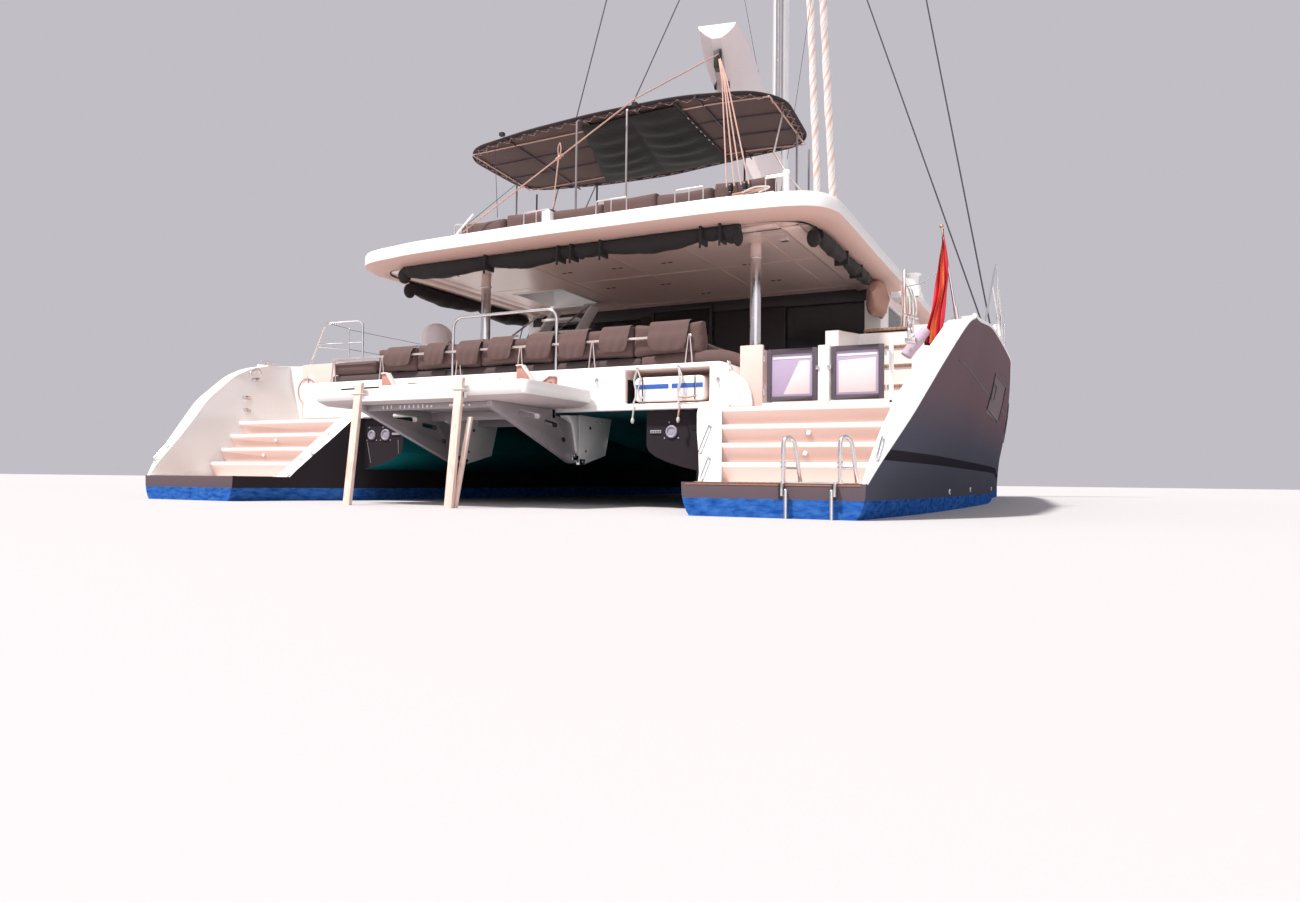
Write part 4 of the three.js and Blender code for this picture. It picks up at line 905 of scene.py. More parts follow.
def add_hulls():
    plan = [(0.93, WELL_AFT_Y - 0.013), (3.55, WELL_AFT_Y - 0.013), (3.55, SALOON_AFT_Y), *SALOON_PLAN,
            (0.97, 3.34)]
    room = Form().prism(plan, "Z", SOLE_Z, CUT_TOP, WHITE_CUT)
    cuts = [wing_cut(), deck_stair_cut(), room]
    hollow = scoop_cut()
    hollow.data.transform(Matrix.Scale(-1, 4, (1, 0, 0)))
    hollow.data.flip_normals()
    port = object_of(hull_form().mirrored(), "hull_skin_port", [MAT[m] for m in HULL_MATERIALS])
    carve(port, cuts=[hollow, *[form.mirrored() for form in cuts]], joins=[bulge_form().mirrored()])
    starboard = bpy.data.objects.new("hull_skin_starboard", port.data.copy())
    bpy.context.scene.collection.objects.link(starboard)
    starboard.data.transform(Matrix.Scale(-1, 4, (1, 0, 0)))
    starboard.data.flip_normals()
    for side, hull in (("starboard", starboard), ("port", port)):
        dress(hull, slot="topside", replaces=[f"hull_{side}"], sharp=28)


def both_sides(name, form, materials, **how):
    """A starboard piece and its mirror image to port. Node names in replaces end with an underscore."""
    nodes = how.pop("replaces", [])
    for side, sign in SIDES:
        shape = form if sign > 0 else form.mirrored()
        piece(f"{name}_{side}", shape, materials, replaces=[node + side for node in nodes], **how)


# Transoms: teak pads, lamps in the risers, grab handles, rims and hull side fittings
def slope_z(y):
    """Height of the inboard slope of the transom."""
    return PLATFORM_Z + (y - STEPS_FOOT_Y) * (LANDING_Z - PLATFORM_Z) / (STEPS_HEAD_Y - STEPS_FOOT_Y)


def wing_z(y):
    return monotone(WING_EDGE, 1, y)


def grab_handle(form, foot, head, lift, radius=0.010):
    foot, head, lift = Vector(foot), Vector(head), Vector(lift)
    bar = rounded([foot, foot + lift, head + lift, head], 0.045, 4)
    form.tube(bar, radius, 8)
    for end in (foot, head):
        form.disc(end - lift.normalized() * 0.002, lift, radius * 1.9, 0.007)


def add_transom_teak():
    run = (STEPS_HEAD_Y - STEPS_FOOT_Y) / STEP_COUNT
    rise = (LANDING_Z - PLATFORM_Z) / STEP_COUNT
    pads = Form()

    def pad(y0, y1, z, out, lift=0.006):
        pads.prism([(steps_in(min(y0, STEPS_HEAD_Y)) + 0.05, y0), (out, y0), (out, y1),
                    (steps_in(min(y1, STEPS_HEAD_Y)) + 0.05, y1)], "Z", z - 0.004, z + lift)

    pads.prism([(3.05, STERN + 0.06), (4.50, STERN + 0.06), (4.50, STEPS_FOOT_Y - 0.02),
                (3.09, STEPS_FOOT_Y - 0.02)],
               "Z", PLATFORM_Z - 0.004, PLATFORM_Z + 0.006)
    for i in range(1, STEP_COUNT):
        y = STEPS_FOOT_Y + i * run
        z = PLATFORM_Z + i * rise
        pad(y + 0.045, y + run + 0.02, z, face_x(z) - 0.07)
    pad(STEPS_HEAD_Y + 0.05, -7.88, LANDING_Z, 4.62)
    pads.box((3.20, -7.70, LANDING_Z - 0.004), (4.45, WELL_AFT_Y - 0.05, LANDING_Z + 0.006))
    for i in range(DECK_STEPS):
        y = WELL_AFT_Y + i * DECK_STEP_RUN
        z = LANDING_Z + (i + 1) * (DECK_STAIR_TOP - LANDING_Z) / DECK_STEPS
        pads.box((3.76, y - 0.015, z - 0.004), (4.44, y + DECK_STEP_RUN - 0.03, z + 0.03))
    both_sides("transom_teak", pads, ["teak_deck"], slot="teak", bevel=0.003)

    lamps = Form()
    for x, z in ((3.74, 0.80), (3.76, 0.59)):
        riser = int((z - PLATFORM_Z) / rise)
        top = PLATFORM_Z + (riser + 1) * rise - STEP_NOSE
        bottom = PLATFORM_Z + riser * rise
        y = STEPS_FOOT_Y + (riser + 1) * run + STEP_UNDERCUT * (top - z) / (top - bottom)
        lamps.disc((x, y + 0.004, z), (0, -1, 0), 0.032, 0.012, 0)
        lamps.disc((x, y - 0.007, z), (0, -1, 0), 0.022, 0.004, 1)
    both_sides("riser_lamps", lamps, ["steel", "lens"], slot="steel", bevel=0.002)


def add_transom_handles():
    bars = Form()
    for x, y, half in ((2.713, -8.346, 0.13), (2.842, -8.629, 0.10)):
        normal = (0, -0.030, 0.028)
        grab_handle(bars, (x, y - half, slope_z(y - half)), (x, y + half, slope_z(y + half)), normal)
    grab_handle(bars, (4.665, -9.11, wing_z(-9.11)), (4.655, -9.28, wing_z(-9.28)), (0, -0.03, 0.028))
    both_sides("transom_handles", bars, ["steel"], slot="steel")

    edge = [(-9.42, 0.30), *WING_EDGE[1:]]
    rim = Form()
    line = [Vector((topside_x(y, z) - 0.006, y + 0.004, z - 0.004)) for y, z in edge]
    rim.tube(rounded(line, 0.15, 4), 0.013, 8)
    gunwale = [Vector((monotone(HULL_STATIONS, 5, y) - 0.012, y, sheer_z(y) + 0.002))
               for y in (lerp(-7.33, 9.38, i / 60) for i in range(61))]
    rim.tube(gunwale, 0.022, 8)
    inner = [Vector((monotone(HULL_STATIONS, 4, y) + 0.012, y, sheer_z(y) + 0.002))
             for y in (lerp(5.35, 9.38, i / 20) for i in range(21))]
    rim.tube(inner, 0.018, 8)
    both_sides("hull_rims", rim, ["gelcoat"], slot="gelcoat")


def add_topside_groove():
    groove = Form()
    seam = [(-7.86, 1.485), (-5.45, 1.42), (-2.25, 1.38), (1.0, 1.385), (4.5, 1.45), (8.6, 1.60)]
    line = [Vector((topside_x(y, monotone(seam, 1, y)) - 0.001, y, monotone(seam, 1, y)))
            for y in (lerp(-7.86, 8.6, i / 70) for i in range(71))]
    groove.tube(line, 0.006, 6)
    both_sides("topside_groove", groove, ["black"], slot="topside")

    slots = Form()
    for x in (3.905, 4.365):
        slots.box((x - 0.045, STERN - 0.006, 0.165), (x - 0.012, STERN + 0.03, PLATFORM_Z - 0.006), 0)
    slots.box((2.99, STERN - 0.004, PLATFORM_Z - 0.022), (4.56, STERN + 0.03, PLATFORM_Z - 0.012), 1)
    piece("platform_slots", slots, ["black", "teak"], slot="teak")


def window_pane(form, low, high, y0, y1, lift, tint, rows=18):
    """A pane that follows the topside."""
    skin = [[Vector((topside_x(y, z) + lift, y, z)) for z in (low(y), lerp(low(y), high(y), 0.5), high(y))]
            for y in (lerp(y0, y1, i / rows) for i in range(rows + 1))]
    back = [[p - Vector((lift + 0.01, 0, 0)) for p in reversed(row)] for row in skin]
    form.grid([a + b for a, b in zip(skin, back)], tint, closed=True, caps=True)


def frame_line(form, points, radius, tint):
    line = [Vector((topside_x(y, z) + 0.004, y, z)) for y, z in points]
    form.tube(rounded([*line, line[0]], 0.05, 3), radius, 6, tint)


def add_hull_windows():
    windows = Form()
    for y0, y1, z0, z1 in ((-5.02, -3.20, 1.20, 1.70), (-0.6, 2.2, 1.15, 1.70), (4.3, 6.0, 1.42, 1.82)):
        window_pane(windows, lambda y: z0, lambda y: z1, y0 + 0.04, y1 - 0.04, 0.003, 0)
        ends = [(y0, z0 + 0.06), (y0 + 0.12, z1), (y1, z1), (y1 - 0.12, z0)]
        run = [(lerp(a[0], b[0], t / 8), lerp(a[1], b[1], t / 8))
               for a, b in zip(ends, ends[1:] + ends[:1]) for t in range(8)]
        frame_line(windows, run, 0.011, 1)
        port = [(y0 + 0.14, z0 + 0.19), (y0 + 0.50, z0 + 0.19), (y0 + 0.50, z1 - 0.12),
                (y0 + 0.14, z1 - 0.12)]
        frame_line(windows, port, 0.010, 1)
    both_sides("hull_windows", windows, ["hull_glass", "black"], slot="glass")


def add_vents():
    def vent(form, x, z, reach, screws):
        form.ring((x, BULGE_AFT - 0.006, z), (0, -1, 0), reach, 0.014)
        form.disc((x, BULGE_AFT + 0.004, z), (0, -1, 0), reach - 0.008, 0.012)
        for dx, dz in ((-0.085, -0.07), (0.085, -0.07), screws):
            form.disc((x + dx, BULGE_AFT + 0.002, z + dz), (0, -1, 0), 0.009, 0.010)

    face = BULGE_AFT
    vents = Form()
    vent(vents, 2.09, 0.85, 0.058, (-0.03, 0.105))
    vents.box((1.83, face - 0.012, 0.835), (1.965, face, 0.87), 0)
    for k in range(4):
        vents.box((1.845 + k * 0.03, face - 0.014, 0.845), (1.862 + k * 0.03, face - 0.010, 0.86), 1)
    # This disc takes the charcoal painted shade of the inboard faces.
    vents.disc((2.36, face + 0.002, 0.93), (0, -1, 0), 0.070, 0.006, 2)
    piece("vents_starboard", vents, ["fitting_grey", "black", "tunnel"], slot="steel", bevel=0.002)
    vents = Form()
    for x, reach in ((-2.32, 0.052), (-2.08, 0.062)):
        vent(vents, x, 0.87, reach, (-0.045, 0.10))
    vents.box((-1.965, face - 0.012, 0.865), (-1.83, face, 0.895), 0)
    for top, foot in (((-2.40, 0.78), (-2.33, 0.50)), ((-1.86, 0.80), (-1.85, 0.62))):
        vents.tube([(x, face - 0.002, z) for x, z in (top, foot)], 0.004, 6, 0)
    piece("vents_port", vents, ["fitting_grey", "black", "tunnel"], slot="steel", bevel=0.002)


def add_through_hulls():
    outlets = Form()
    outlets.disc((-2.612, -8.255, 0.36), (1, -0.4, 0), 0.040, 0.016, 0)
    outlets.disc((-2.600, -8.260, 0.36), (1, -0.4, 0), 0.016, 0.010, 1)
    for y, z in ((-5.83, 0.22), (-3.9, 0.24), (0.6, 0.24)):
        for sign in (1, -1):
            x = monotone(HULL_STATIONS, 2, y)
            outlets.disc((sign * (x - 0.012), y, z), (sign, 0, 0), 0.034, 0.022, 0)
            outlets.disc((sign * (x + 0.008), y, z), (sign, 0, 0), 0.015, 0.006, 1)
    piece("through_hulls", outlets, ["plastic", "black"], slot="gelcoat", bevel=0.002)


# Aft beam of the cockpit with the raft in its recess
BEAM_AFT_Y = -7.90
BEAM_FORE_Y = -7.23
BEAM_TOP = 1.60
RAFT_MIDDLE = (2.06, 1.3253)


def add_aft_beam():
    outline = [(-3.56, 1.093), (2.865, 1.093), (2.86, 1.30), (2.845, 1.43), (2.79, 1.53), (2.725, 1.585),
               (2.66, BEAM_TOP), (-3.56, BEAM_TOP)]
    beam = object_of(Form().prism(outline, "Y", BEAM_AFT_Y, BEAM_FORE_Y), "aft_beam_skin",
                     [MAT["gelcoat"], MAT["blush"]])
    mouth = [(1.52, 1.160), (2.565, 1.160), (2.565, 1.545), (1.52, 1.545)]
    floor = [(1.57, 1.185), (2.52, 1.185), (2.52, 1.525), (1.57, 1.525)]
    # The recess is lined with the pinkish painted shade.
    recess = Form().grid(
        [[(x, BEAM_AFT_Y - 0.03, z) for x, z in mouth], [(x, BEAM_AFT_Y + 0.16, z) for x, z in floor],
         [(x, BEAM_AFT_Y + 0.46, z) for x, z in floor]], 1, closed=True, caps=True)
    under = Form().box((-1.79, -7.845, 0.9), (1.79, BEAM_FORE_Y + 0.02, 1.452), 0)
    carve(beam, cuts=[recess, under])
    dress(beam, slot="gelcoat", replaces=["aft_beam"], bevel=0.022, segments=3, sharp=40)


def add_beam_fittings():
    trim = Form()
    trim.box((0.25, BEAM_AFT_Y - 0.028, 1.096), (2.80, BEAM_AFT_Y + 0.02, 1.132), 0)
    fairing = [(2.80, 1.097), (3.05, 1.097), (3.045, 1.16), (3.03, 1.25), (2.99, 1.35), (2.92, 1.42),
               (2.85, 1.465), (2.80, 1.50)]
    trim.prism(fairing, "Y", BEAM_AFT_Y + 0.002, -7.862, 0)
    for x, z in ((0.30, 1.43), (0.78, 1.36), (1.16, 1.45), (2.66, 1.40), (-0.2, 1.50), (-2.6, 1.50)):
        trim.disc((x, BEAM_AFT_Y + 0.004, z), (0, -1, 0), 0.026, 0.008, 1)
        eye = [(x, BEAM_AFT_Y, z + 0.028), (x, BEAM_AFT_Y - 0.04, z + 0.020),
               (x, BEAM_AFT_Y - 0.04, z - 0.020), (x, BEAM_AFT_Y, z - 0.028)]
        trim.tube(rounded(eye, 0.02, 3), 0.006, 6, 1)
    for x, y, z in ((2.74, BEAM_AFT_Y + 0.10, 1.585), (2.80, BEAM_AFT_Y + 0.02, 1.50)):
        trim.ball((x, y, z), (0.028, 0.028, 0.028), 1, 6, 10)
    piece("beam_fittings", trim, ["gelcoat", "steel"], slot="steel", bevel=0.004)


def add_raft_canister():
    raft = Form()
    outline = [Vector((RAFT_MIDDLE[0] + sx * 0.430, 0, RAFT_MIDDLE[1] + sz * 0.139))
               for sx, sz in ((1, 1), (-1, 1), (-1, -1), (1, -1))]
    loop = rounded(outline, 0.075, 6, closed=True)
    rows = []
    for y, inset in ((-7.872, 0.030), (-7.866, 0.010), (-7.852, 0.0), (-7.69, -0.004), (-7.672, 0.012),
                     (-7.654, -0.004), (-7.50, 0.0), (-7.478, 0.02)):
        rows.append([Vector((lerp(p.x, RAFT_MIDDLE[0], inset / 0.4), y,
                             lerp(p.z, RAFT_MIDDLE[1], inset / 0.19))) for p in loop])
    raft.grid(rows, 0, closed=True, caps=True)
    for x in (1.74, 2.38):
        raft.tube([(x, -7.876, 1.195), (x, -7.880, 1.24), (x, -7.880, 1.41), (x, -7.876, 1.458)], 0.006, 6, 1)
    for x0, x1 in ((1.65, 1.73), (1.75, 2.06), (2.10, 2.37), (2.39, 2.47)):
        raft.box((x0, -7.877, 1.33), (x1, -7.86, 1.38), 2)
    piece("raft_canister", raft, ["plastic", "webbing", "stripe_blue"], slot="gelcoat",
          replaces=["life_raft"], bevel=0.002)


def add_raft_lashings():
    ties = Form()
    for x, sway in ((1.69, -0.03), (2.20, 0.02)):
        hook = (x, BEAM_AFT_Y - 0.012, 1.555)
        ties.disc((x, BEAM_AFT_Y + 0.0, 1.56), (0, -1, 0), 0.014, 0.02, 1)
        low_x = x + sway
        fall = [hook, (low_x, -7.925, 1.42), (x, -7.93, 1.28), (low_x, -7.945, 1.15)]
        slack = [hook, (x + 0.05, -7.93, 1.43), (x + 0.02, -7.93, 1.30), (x + 0.09, -7.935, 1.22)]
        tail = spline([(low_x, -7.945, 1.15), (low_x + 0.015, -7.965, 1.08), (low_x, -7.955, 1.0)], 5)
        ties.tube(spline(fall, 5), 0.011, 8, 0)
        ties.tube(spline(slack, 5), 0.008, 8, 0)
        ties.tube(tail, 0.010, 8, 2 if x > 2 else 0)
        ties.ball((x + sway, -7.955, 0.972), (0.020, 0.020, 0.034), 0, 8, 10)
    ties.tube(spline([(2.19, -7.925, 1.225), (2.31, -7.93, 1.215), (2.42, -7.92, 1.235)], 5), 0.010, 8, 2)
    piece("raft_lashings", ties, ["rope_white", "steel", "rope_warm"], slot="canvas")


# Gates at the head of the starboard steps
GATE_Y = -7.85
GATE_Z0, GATE_Z1 = 1.15, 1.69


def add_gate_leaves():
    for name, x0, x1 in (("gate_inner", 3.19, 3.728), ("gate_outer", 3.872, 4.40)):
        form = Form()
        rim = 0.048
        y0, y1 = GATE_Y, GATE_Y + 0.04
        frame_bars(form, (x0, y0, GATE_Z0), (x1, y1, GATE_Z1), rim, rim)
        inner = rim - 0.004
        form.box((x0 + inner, y0 + 0.014, GATE_Z0 + inner), (x1 - inner, y1 - 0.014, GATE_Z1 - inner), 1)
        left, right = x0 + rim + 0.03, x1 - rim - 0.03
        low, high = GATE_Z0 + rim + 0.02, GATE_Z1 - rim - 0.08
        # A paler patch on each pane: painted sunlight falling on the frosted pane.
        lit = [(left + 0.10, low), (right, low), (right, high), (left + 0.27, high)]
        if name == "gate_outer":
            lit = [(left, low), (right, low), (right, high), (left, high - 0.02)]
        form.prism(lit, "Y", y0 + 0.011, y0 + 0.016, 2)
        top = GATE_Z1 - rim - 0.035
        form.box((x0 + rim + 0.02, y0 + 0.0105, top - 0.02), (x1 - rim - 0.02, y0 + 0.016, top), 3)
        piece(f"{name}_leaf", form, ["frame_grey", "frosted", "frosted_warm", "plastic"], body=name,
              slot="grey_alloy", replaces=[name], bevel=0.004)


def add_gate_posts():
    form = Form()
    # The plinth takes the pinkish painted shade.
    plinth = [(2.89, GATE_Y - 0.002), (3.145, GATE_Y - 0.002), (3.145, GATE_Y + 0.05), (3.05, GATE_Y + 0.05),
              (3.05, GATE_Y + 0.60), (2.89, GATE_Y + 0.60)]
    form.prism(plinth, "Z", LANDING_Z + 0.001, 1.754, 0)
    form.box((3.74, GATE_Y - 0.01, LANDING_Z + 0.001), (3.86, GATE_Y + 0.05, GATE_Z1 + 0.02), 1)
    form.box((4.45, GATE_Y, LANDING_Z + 0.001), (4.49, GATE_Y + 0.06, GATE_Z1), 1)
    form.box((3.05, GATE_Y, LANDING_Z + 0.001), (4.69, GATE_Y + 0.05, LANDING_Z + 0.045), 1)
    piece("gate_posts", form, ["blush", "gelcoat"], slot="gelcoat", replaces=["gate_surround"], bevel=0.008)


def add_gate_hardware():
    form = Form()
    for x in (3.165, 4.425):
        for z in (1.25, 1.60):
            form.tube([(x, GATE_Y - 0.012, z - 0.03), (x, GATE_Y - 0.012, z + 0.03)], 0.012, 10)
    for x in (3.72, 3.84):
        form.box((x, GATE_Y - 0.022, 1.46), (x + 0.04, GATE_Y - 0.002, 1.50))
    form.tube([(4.47, GATE_Y - 0.02, 1.42), (4.47, GATE_Y - 0.02, 1.62)], 0.009, 8)
    piece("gate_hardware", form, ["steel"], slot="steel", bevel=0.002)


# Handholds on the starboard platform and the folding swim ladder
LOOP_AFT_Y, LOOP_FORE_Y = -9.38, -9.24


def add_ladder():
    form = Form()
    for x in (3.88, 4.37):
        loop = rounded([(x, LOOP_AFT_Y, PLATFORM_Z), (x, LOOP_AFT_Y, 0.66), (x + 0.03, -9.335, 0.70),
                        (x + 0.07, -9.285, 0.66), (x + 0.11, LOOP_FORE_Y, PLATFORM_Z)], 0.06, 6)
        form.tube(loop, 0.0185, 12, 0)
        form.tube([(x, LOOP_AFT_Y, 0.43), (x + 0.092, -9.258, 0.43)], 0.011, 8, 0)
        for z in (0.43, 0.47):
            form.tube([(x, LOOP_AFT_Y, z - 0.013), (x, LOOP_AFT_Y, z + 0.013)], 0.026, 10, 0)
        for y, dx in ((LOOP_AFT_Y, 0.0), (LOOP_FORE_Y, 0.11)):
            form.disc((x + dx, y, PLATFORM_Z), (0, 0, 1), 0.036, 0.008, 0)
    for x in (3.91, 4.36):
        form.box((x - 0.009, -9.52, 0.19), (x + 0.009, STERN + 0.01, PLATFORM_Z + 0.014), 0)
        form.box((x - 0.009, STERN - 0.01, PLATFORM_Z), (x + 0.009, -9.40, PLATFORM_Z + 0.014), 0)
    form.box((3.86, -9.41, PLATFORM_Z), (4.39, -9.35, PLATFORM_Z + 0.012), 0)
    piece("ladder_loops", form, ["steel"], slot="steel", replaces=["ladder_handles"], bevel=0.002)
    form = Form()
    for x in (3.94, 4.33):
        form.tube([(x, -9.50, 0.24), (x, -9.50, -0.98)], 0.017, 12, 0)
        form.ball((x, -9.50, 0.24), (0.0172, 0.0172, 0.012), 0, 6, 12)
    for z in (-0.12, -0.38, -0.64, -0.90):
        form.box((3.94, -9.535, z - 0.018), (4.33, -9.475, z + 0.018), 1)
    piece("swim_ladder_frame", form, ["steel", "teak"], body="swim_ladder", slot="steel",
          replaces=["swim_ladder"], bevel=0.003)


# Tender platform, its arms and brackets, chocks and boards
TENDER_X0, TENDER_X1 = -1.88, 1.40
TENDER_AFT_Y, TENDER_FORE_Y = -9.25, -7.93
TENDER_Z0, TENDER_Z1 = 1.13, 1.33
ARM_X = (-1.20, 0.60)


def round_slot(ends, radius):
    """The outline of a long slot, from its two end centres."""
    a, b = Vector(ends[0]), Vector(ends[1])
    along = math.atan2(b.y - a.y, b.x - a.x)
    outline = []
    for centre, start in ((b, along - math.pi / 2), (a, along + math.pi / 2)):
        outline += [(centre.x + radius * math.cos(start + math.pi * k / 6),
                     centre.y + radius * math.sin(start + math.pi * k / 6)) for k in range(7)]
    return outline


def add_tender_platform_slab():
    plan = rounded([(TENDER_X0, TENDER_AFT_Y, 0), (TENDER_X1 - 0.28, TENDER_AFT_Y, 0),
                    (TENDER_X1 - 0.26, TENDER_FORE_Y, 0),
                    (TENDER_X0, TENDER_FORE_Y, 0)], 0.10, 6, closed=True)
    plan = [(p.x, p.y) for p in plan]
    middle = (sum(x for x, _ in plan) / len(plan), sum(y for _, y in plan) / len(plan))
    form = Form()
    rows = []
    for z, inset in ((TENDER_Z0, 0.10), (TENDER_Z0 + 0.050, 0.016), (TENDER_Z0 + 0.065, 0.0),
                     (TENDER_Z1 - 0.02, 0.0), (TENDER_Z1 - 0.004, 0.008), (TENDER_Z1, 0.03)):
        rows.append([(lerp(x, middle[0], inset / 1.7), lerp(y, middle[1], inset / 0.7), z) for x, y in plan])
    form.grid(rows, 0, closed=True, caps=True)
    # The bottom bevel and the underside take the grey-pink painted shade.
    form.tints[:len(plan)] = [1] * len(plan)
    form.tints[-2] = 1
    form.tints[-1] = 2
    slab = object_of(form, "tender_platform_slab",
                     [MAT["gelcoat"], MAT["underside"], MAT["deck"], MAT["black"]])
    slit = Form().prism(round_slot([(-1.42, 1.305), (-0.86, 1.311)], 0.009), "Y", TENDER_AFT_Y - 0.05,
                        TENDER_AFT_Y + 0.06, 3)
    carve(slab, cuts=[slit])
    dress(slab, body="tender_lift", slot="gelcoat", replaces=["tender_platform"], sharp=50)


def add_tender_platform_teak():
    form = Form()
    for x0, x1 in ((TENDER_X0 + 0.30, -0.42), (-0.34, 0.80)):
        for k in range(9):
            y = TENDER_AFT_Y + 0.13 + k * 0.125
            form.box((x0, y, TENDER_Z1 - 0.002), (x1, y + 0.105, TENDER_Z1 + 0.004))
    piece("tender_platform_teak", form, ["teak"], body="tender_lift", slot="teak", bevel=0.002)

    holes = []
    for ends, radius in (([(-8.66, 1.042), (-8.30, 1.020)], 0.030), ([(-8.15, 0.965), (-7.93, 0.942)], 0.026),
                         ([(-7.78, 0.785), (-7.74, 0.778)], 0.026)):
        for x in ARM_X:
            tint = 1 if ends[0][0] < -8.5 else 2
            holes.append(Form().prism(round_slot(ends, radius), "X", x - 0.2, x + 0.2, tint))
    side = [(TENDER_AFT_Y + 0.09, 1.128), (TENDER_AFT_Y + 0.09, 1.07), (-7.62, 0.52), (-7.55, 0.505),
            (-7.51, 0.54),
            (-7.48, 0.62), (-7.53, 0.80), (-7.60, 0.98), (-7.75, 1.03), (-7.96, 1.06), (-7.96, 1.128)]
    for index, x in enumerate(ARM_X):
        arm = object_of(Form().prism(side, "X", x - 0.035, x + 0.035), f"tender_arm_{index}",
                        [MAT["grey"], MAT["gelcoat"], MAT["black"]])
        carve(arm, cuts=[hole for n, hole in enumerate(holes) if n % 2 == index])
        dress(arm, body="tender_lift", slot="grey_alloy", replaces=["tender_platform_arms"], bevel=0.006,
              sharp=50)


def add_tender_arm_ends():
    form = Form()
    shoe = [(-7.70, 1.075), (-7.60, 0.985), (-7.545, 0.82), (-7.50, 0.64), (-7.47, 0.63), (-7.462, 0.85),
            (-7.49, 1.085)]
    for x in ARM_X:
        form.prism(shoe, "X", x - 0.062, x + 0.062, 0)
        form.tube([(x - 0.075, -7.545, 0.60), (x + 0.075, -7.545, 0.60)], 0.026, 12, 1)
        for left in (x - 0.07, x + 0.04):
            form.box((left, -7.60, 0.545), (left + 0.03, -7.47, 0.60), 1)
    form.box((ARM_X[0] - 0.035, -8.01, 1.02), (ARM_X[1] + 0.035, -7.95, 1.126), 2)
    form.box((ARM_X[0], -9.10, 1.062), (ARM_X[1], -9.075, 1.128), 2)
    for first, step, count in ((-0.93, 0.06, 3), (-0.68, 0.065, 6)):
        for x in (first + k * step for k in range(count)):
            form.box((x, -9.106, 1.078), (x + 0.015, -9.10, 1.118), 0)
    form.box((0.02, -9.106, 1.085), (0.16, -9.10, 1.112), 0)
    for x in (-0.28, -0.22, 0.22, 0.30):
        form.disc((x, -9.10, 1.098), (0, -1, 0), 0.016, 0.01, 1)
    piece("tender_arm_ends", form, ["gelcoat", "steel", "grey"], body="tender_lift", slot="gelcoat",
          bevel=0.006)


def add_tender_brackets():
    form = Form()
    side = [(-7.44, 1.097), (-7.44, 0.56), (-7.42, 0.53), (-7.33, 0.50), (-6.80, 0.62), (-6.65, 1.097)]
    for x in ARM_X:
        form.prism(side, "X", x - 0.06, x + 0.06, [3, 3, 0, 0, 0, 0, 0, 0])
        form.box((x - 0.045, -7.448, 1.00), (x + 0.02, -7.43, 1.045), 1)
        form.box((x - 0.02, -7.449, 0.70), (x - 0.006, -7.43, 0.74), 1)
        form.disc((x + 0.064, -7.20, 0.95), (1, 0, 0), 0.022, 0.006, 1)
        for sign in (1, -1):
            form.disc((x + sign * 0.064, -7.30, 0.66), (sign, 0, 0), 0.018, 0.006, 2)
        form.tube([(x - 0.08, -7.37, 0.53), (x + 0.08, -7.37, 0.53)], 0.020, 12, 2)
        form.box((x + 0.03, -7.46, 0.49), (x + 0.075, -7.32, 0.56), 2)
        for k in range(3):
            form.disc((x + 0.064, -7.05 + k * 0.12, 1.04), (1, 0, 0), 0.012, 0.005, 2)
    form.box((ARM_X[0], -7.10, 1.0), (ARM_X[1], -7.0, 1.097), 0)
    piece("tender_brackets", form, ["grey", "black", "steel", "gelcoat"], slot="grey_alloy",
          replaces=["tender_arm_brackets"], bevel=0.008)


def add_tender_chock_frames():
    form = Form()
    for x in (-1.42, 0.62):
        for sign, top in ((-1, 1.60), (1, 1.46)):
            wedge = [(0.26, 1.334), (0.26, top - 0.01), (0.235, top), (0.19, top - 0.005), (0.015, 1.35),
                     (0.015, 1.334)]
            edge = [(0.262, top - 0.004), (0.19, top + 0.002), (0.012, 1.353), (0.0, 1.368),
                    (0.185, top + 0.016), (0.265, top + 0.012)]
            form.prism([(x + sign * out, z) for out, z in wedge], "Y", -8.35, -8.29, 0)
            form.prism([(x + sign * out, z) for out, z in edge], "Y", -8.365, -8.275, 1)
            for dx, z, r in ((0.205, 1.38, 0.018), (0.15, 1.375, 0.014), (0.215, 1.435, 0.013)):
                if z + r < top - 0.02:
                    form.disc((x + sign * dx, -8.345, z), (0, -1, 0), r, 0.009, 2)
    form.box((-1.42, -8.34, 1.332), (0.62, -8.30, 1.36), 1)
    piece("tender_chock_frames", form, ["chock", "gelcoat", "black"], body="tender_lift", slot="gelcoat",
          replaces=["tender_chocks"], bevel=0.004)


def add_sloping_boards():
    form = Form()
    line = [(-9.285, 1.362), (-9.33, 1.357), (-9.52, -0.42), (-9.475, -0.42)]
    for x0, x1 in ((-1.13, -1.035), (0.285, 0.38)):
        rows = [[(x, y, z) for y, z in line] for x in (x0, x1)]
        form.grid(rows, 0, closed=True, caps=True)
    second = [(0.405, -9.27, 0.95), (0.455, -9.27, 0.95), (0.355, -9.46, -0.36), (0.305, -9.46, -0.36)]
    form.grid([second, [(x, y + 0.035, z) for x, y, z in second]], 0, closed=True, caps=True)
    form.box((-1.13, -9.325, 1.15), (0.38, -9.253, 1.21), 1)
    for x in (-1.083, 0.333):
        lashing = [(-0.085, -9.30), (-0.085, -9.345), (0.085, -9.345), (0.085, -9.30)]
        form.tube([(x + out, y, 1.235) for out, y in lashing], 0.008, 6, 2)
        form.disc((x, -9.333, 1.19), (0, -1, 0), 0.014, 0.008, 3)
    piece("sloping_boards", form, ["board", "gelcoat", "rope_white", "steel"], body="tender_lift",
          slot="stern_board", replaces=["stern_boards"], bevel=0.006)


# Cockpit: posts, sofa, table, lounge, grill and rails
CLOTH_FRAMES = 20


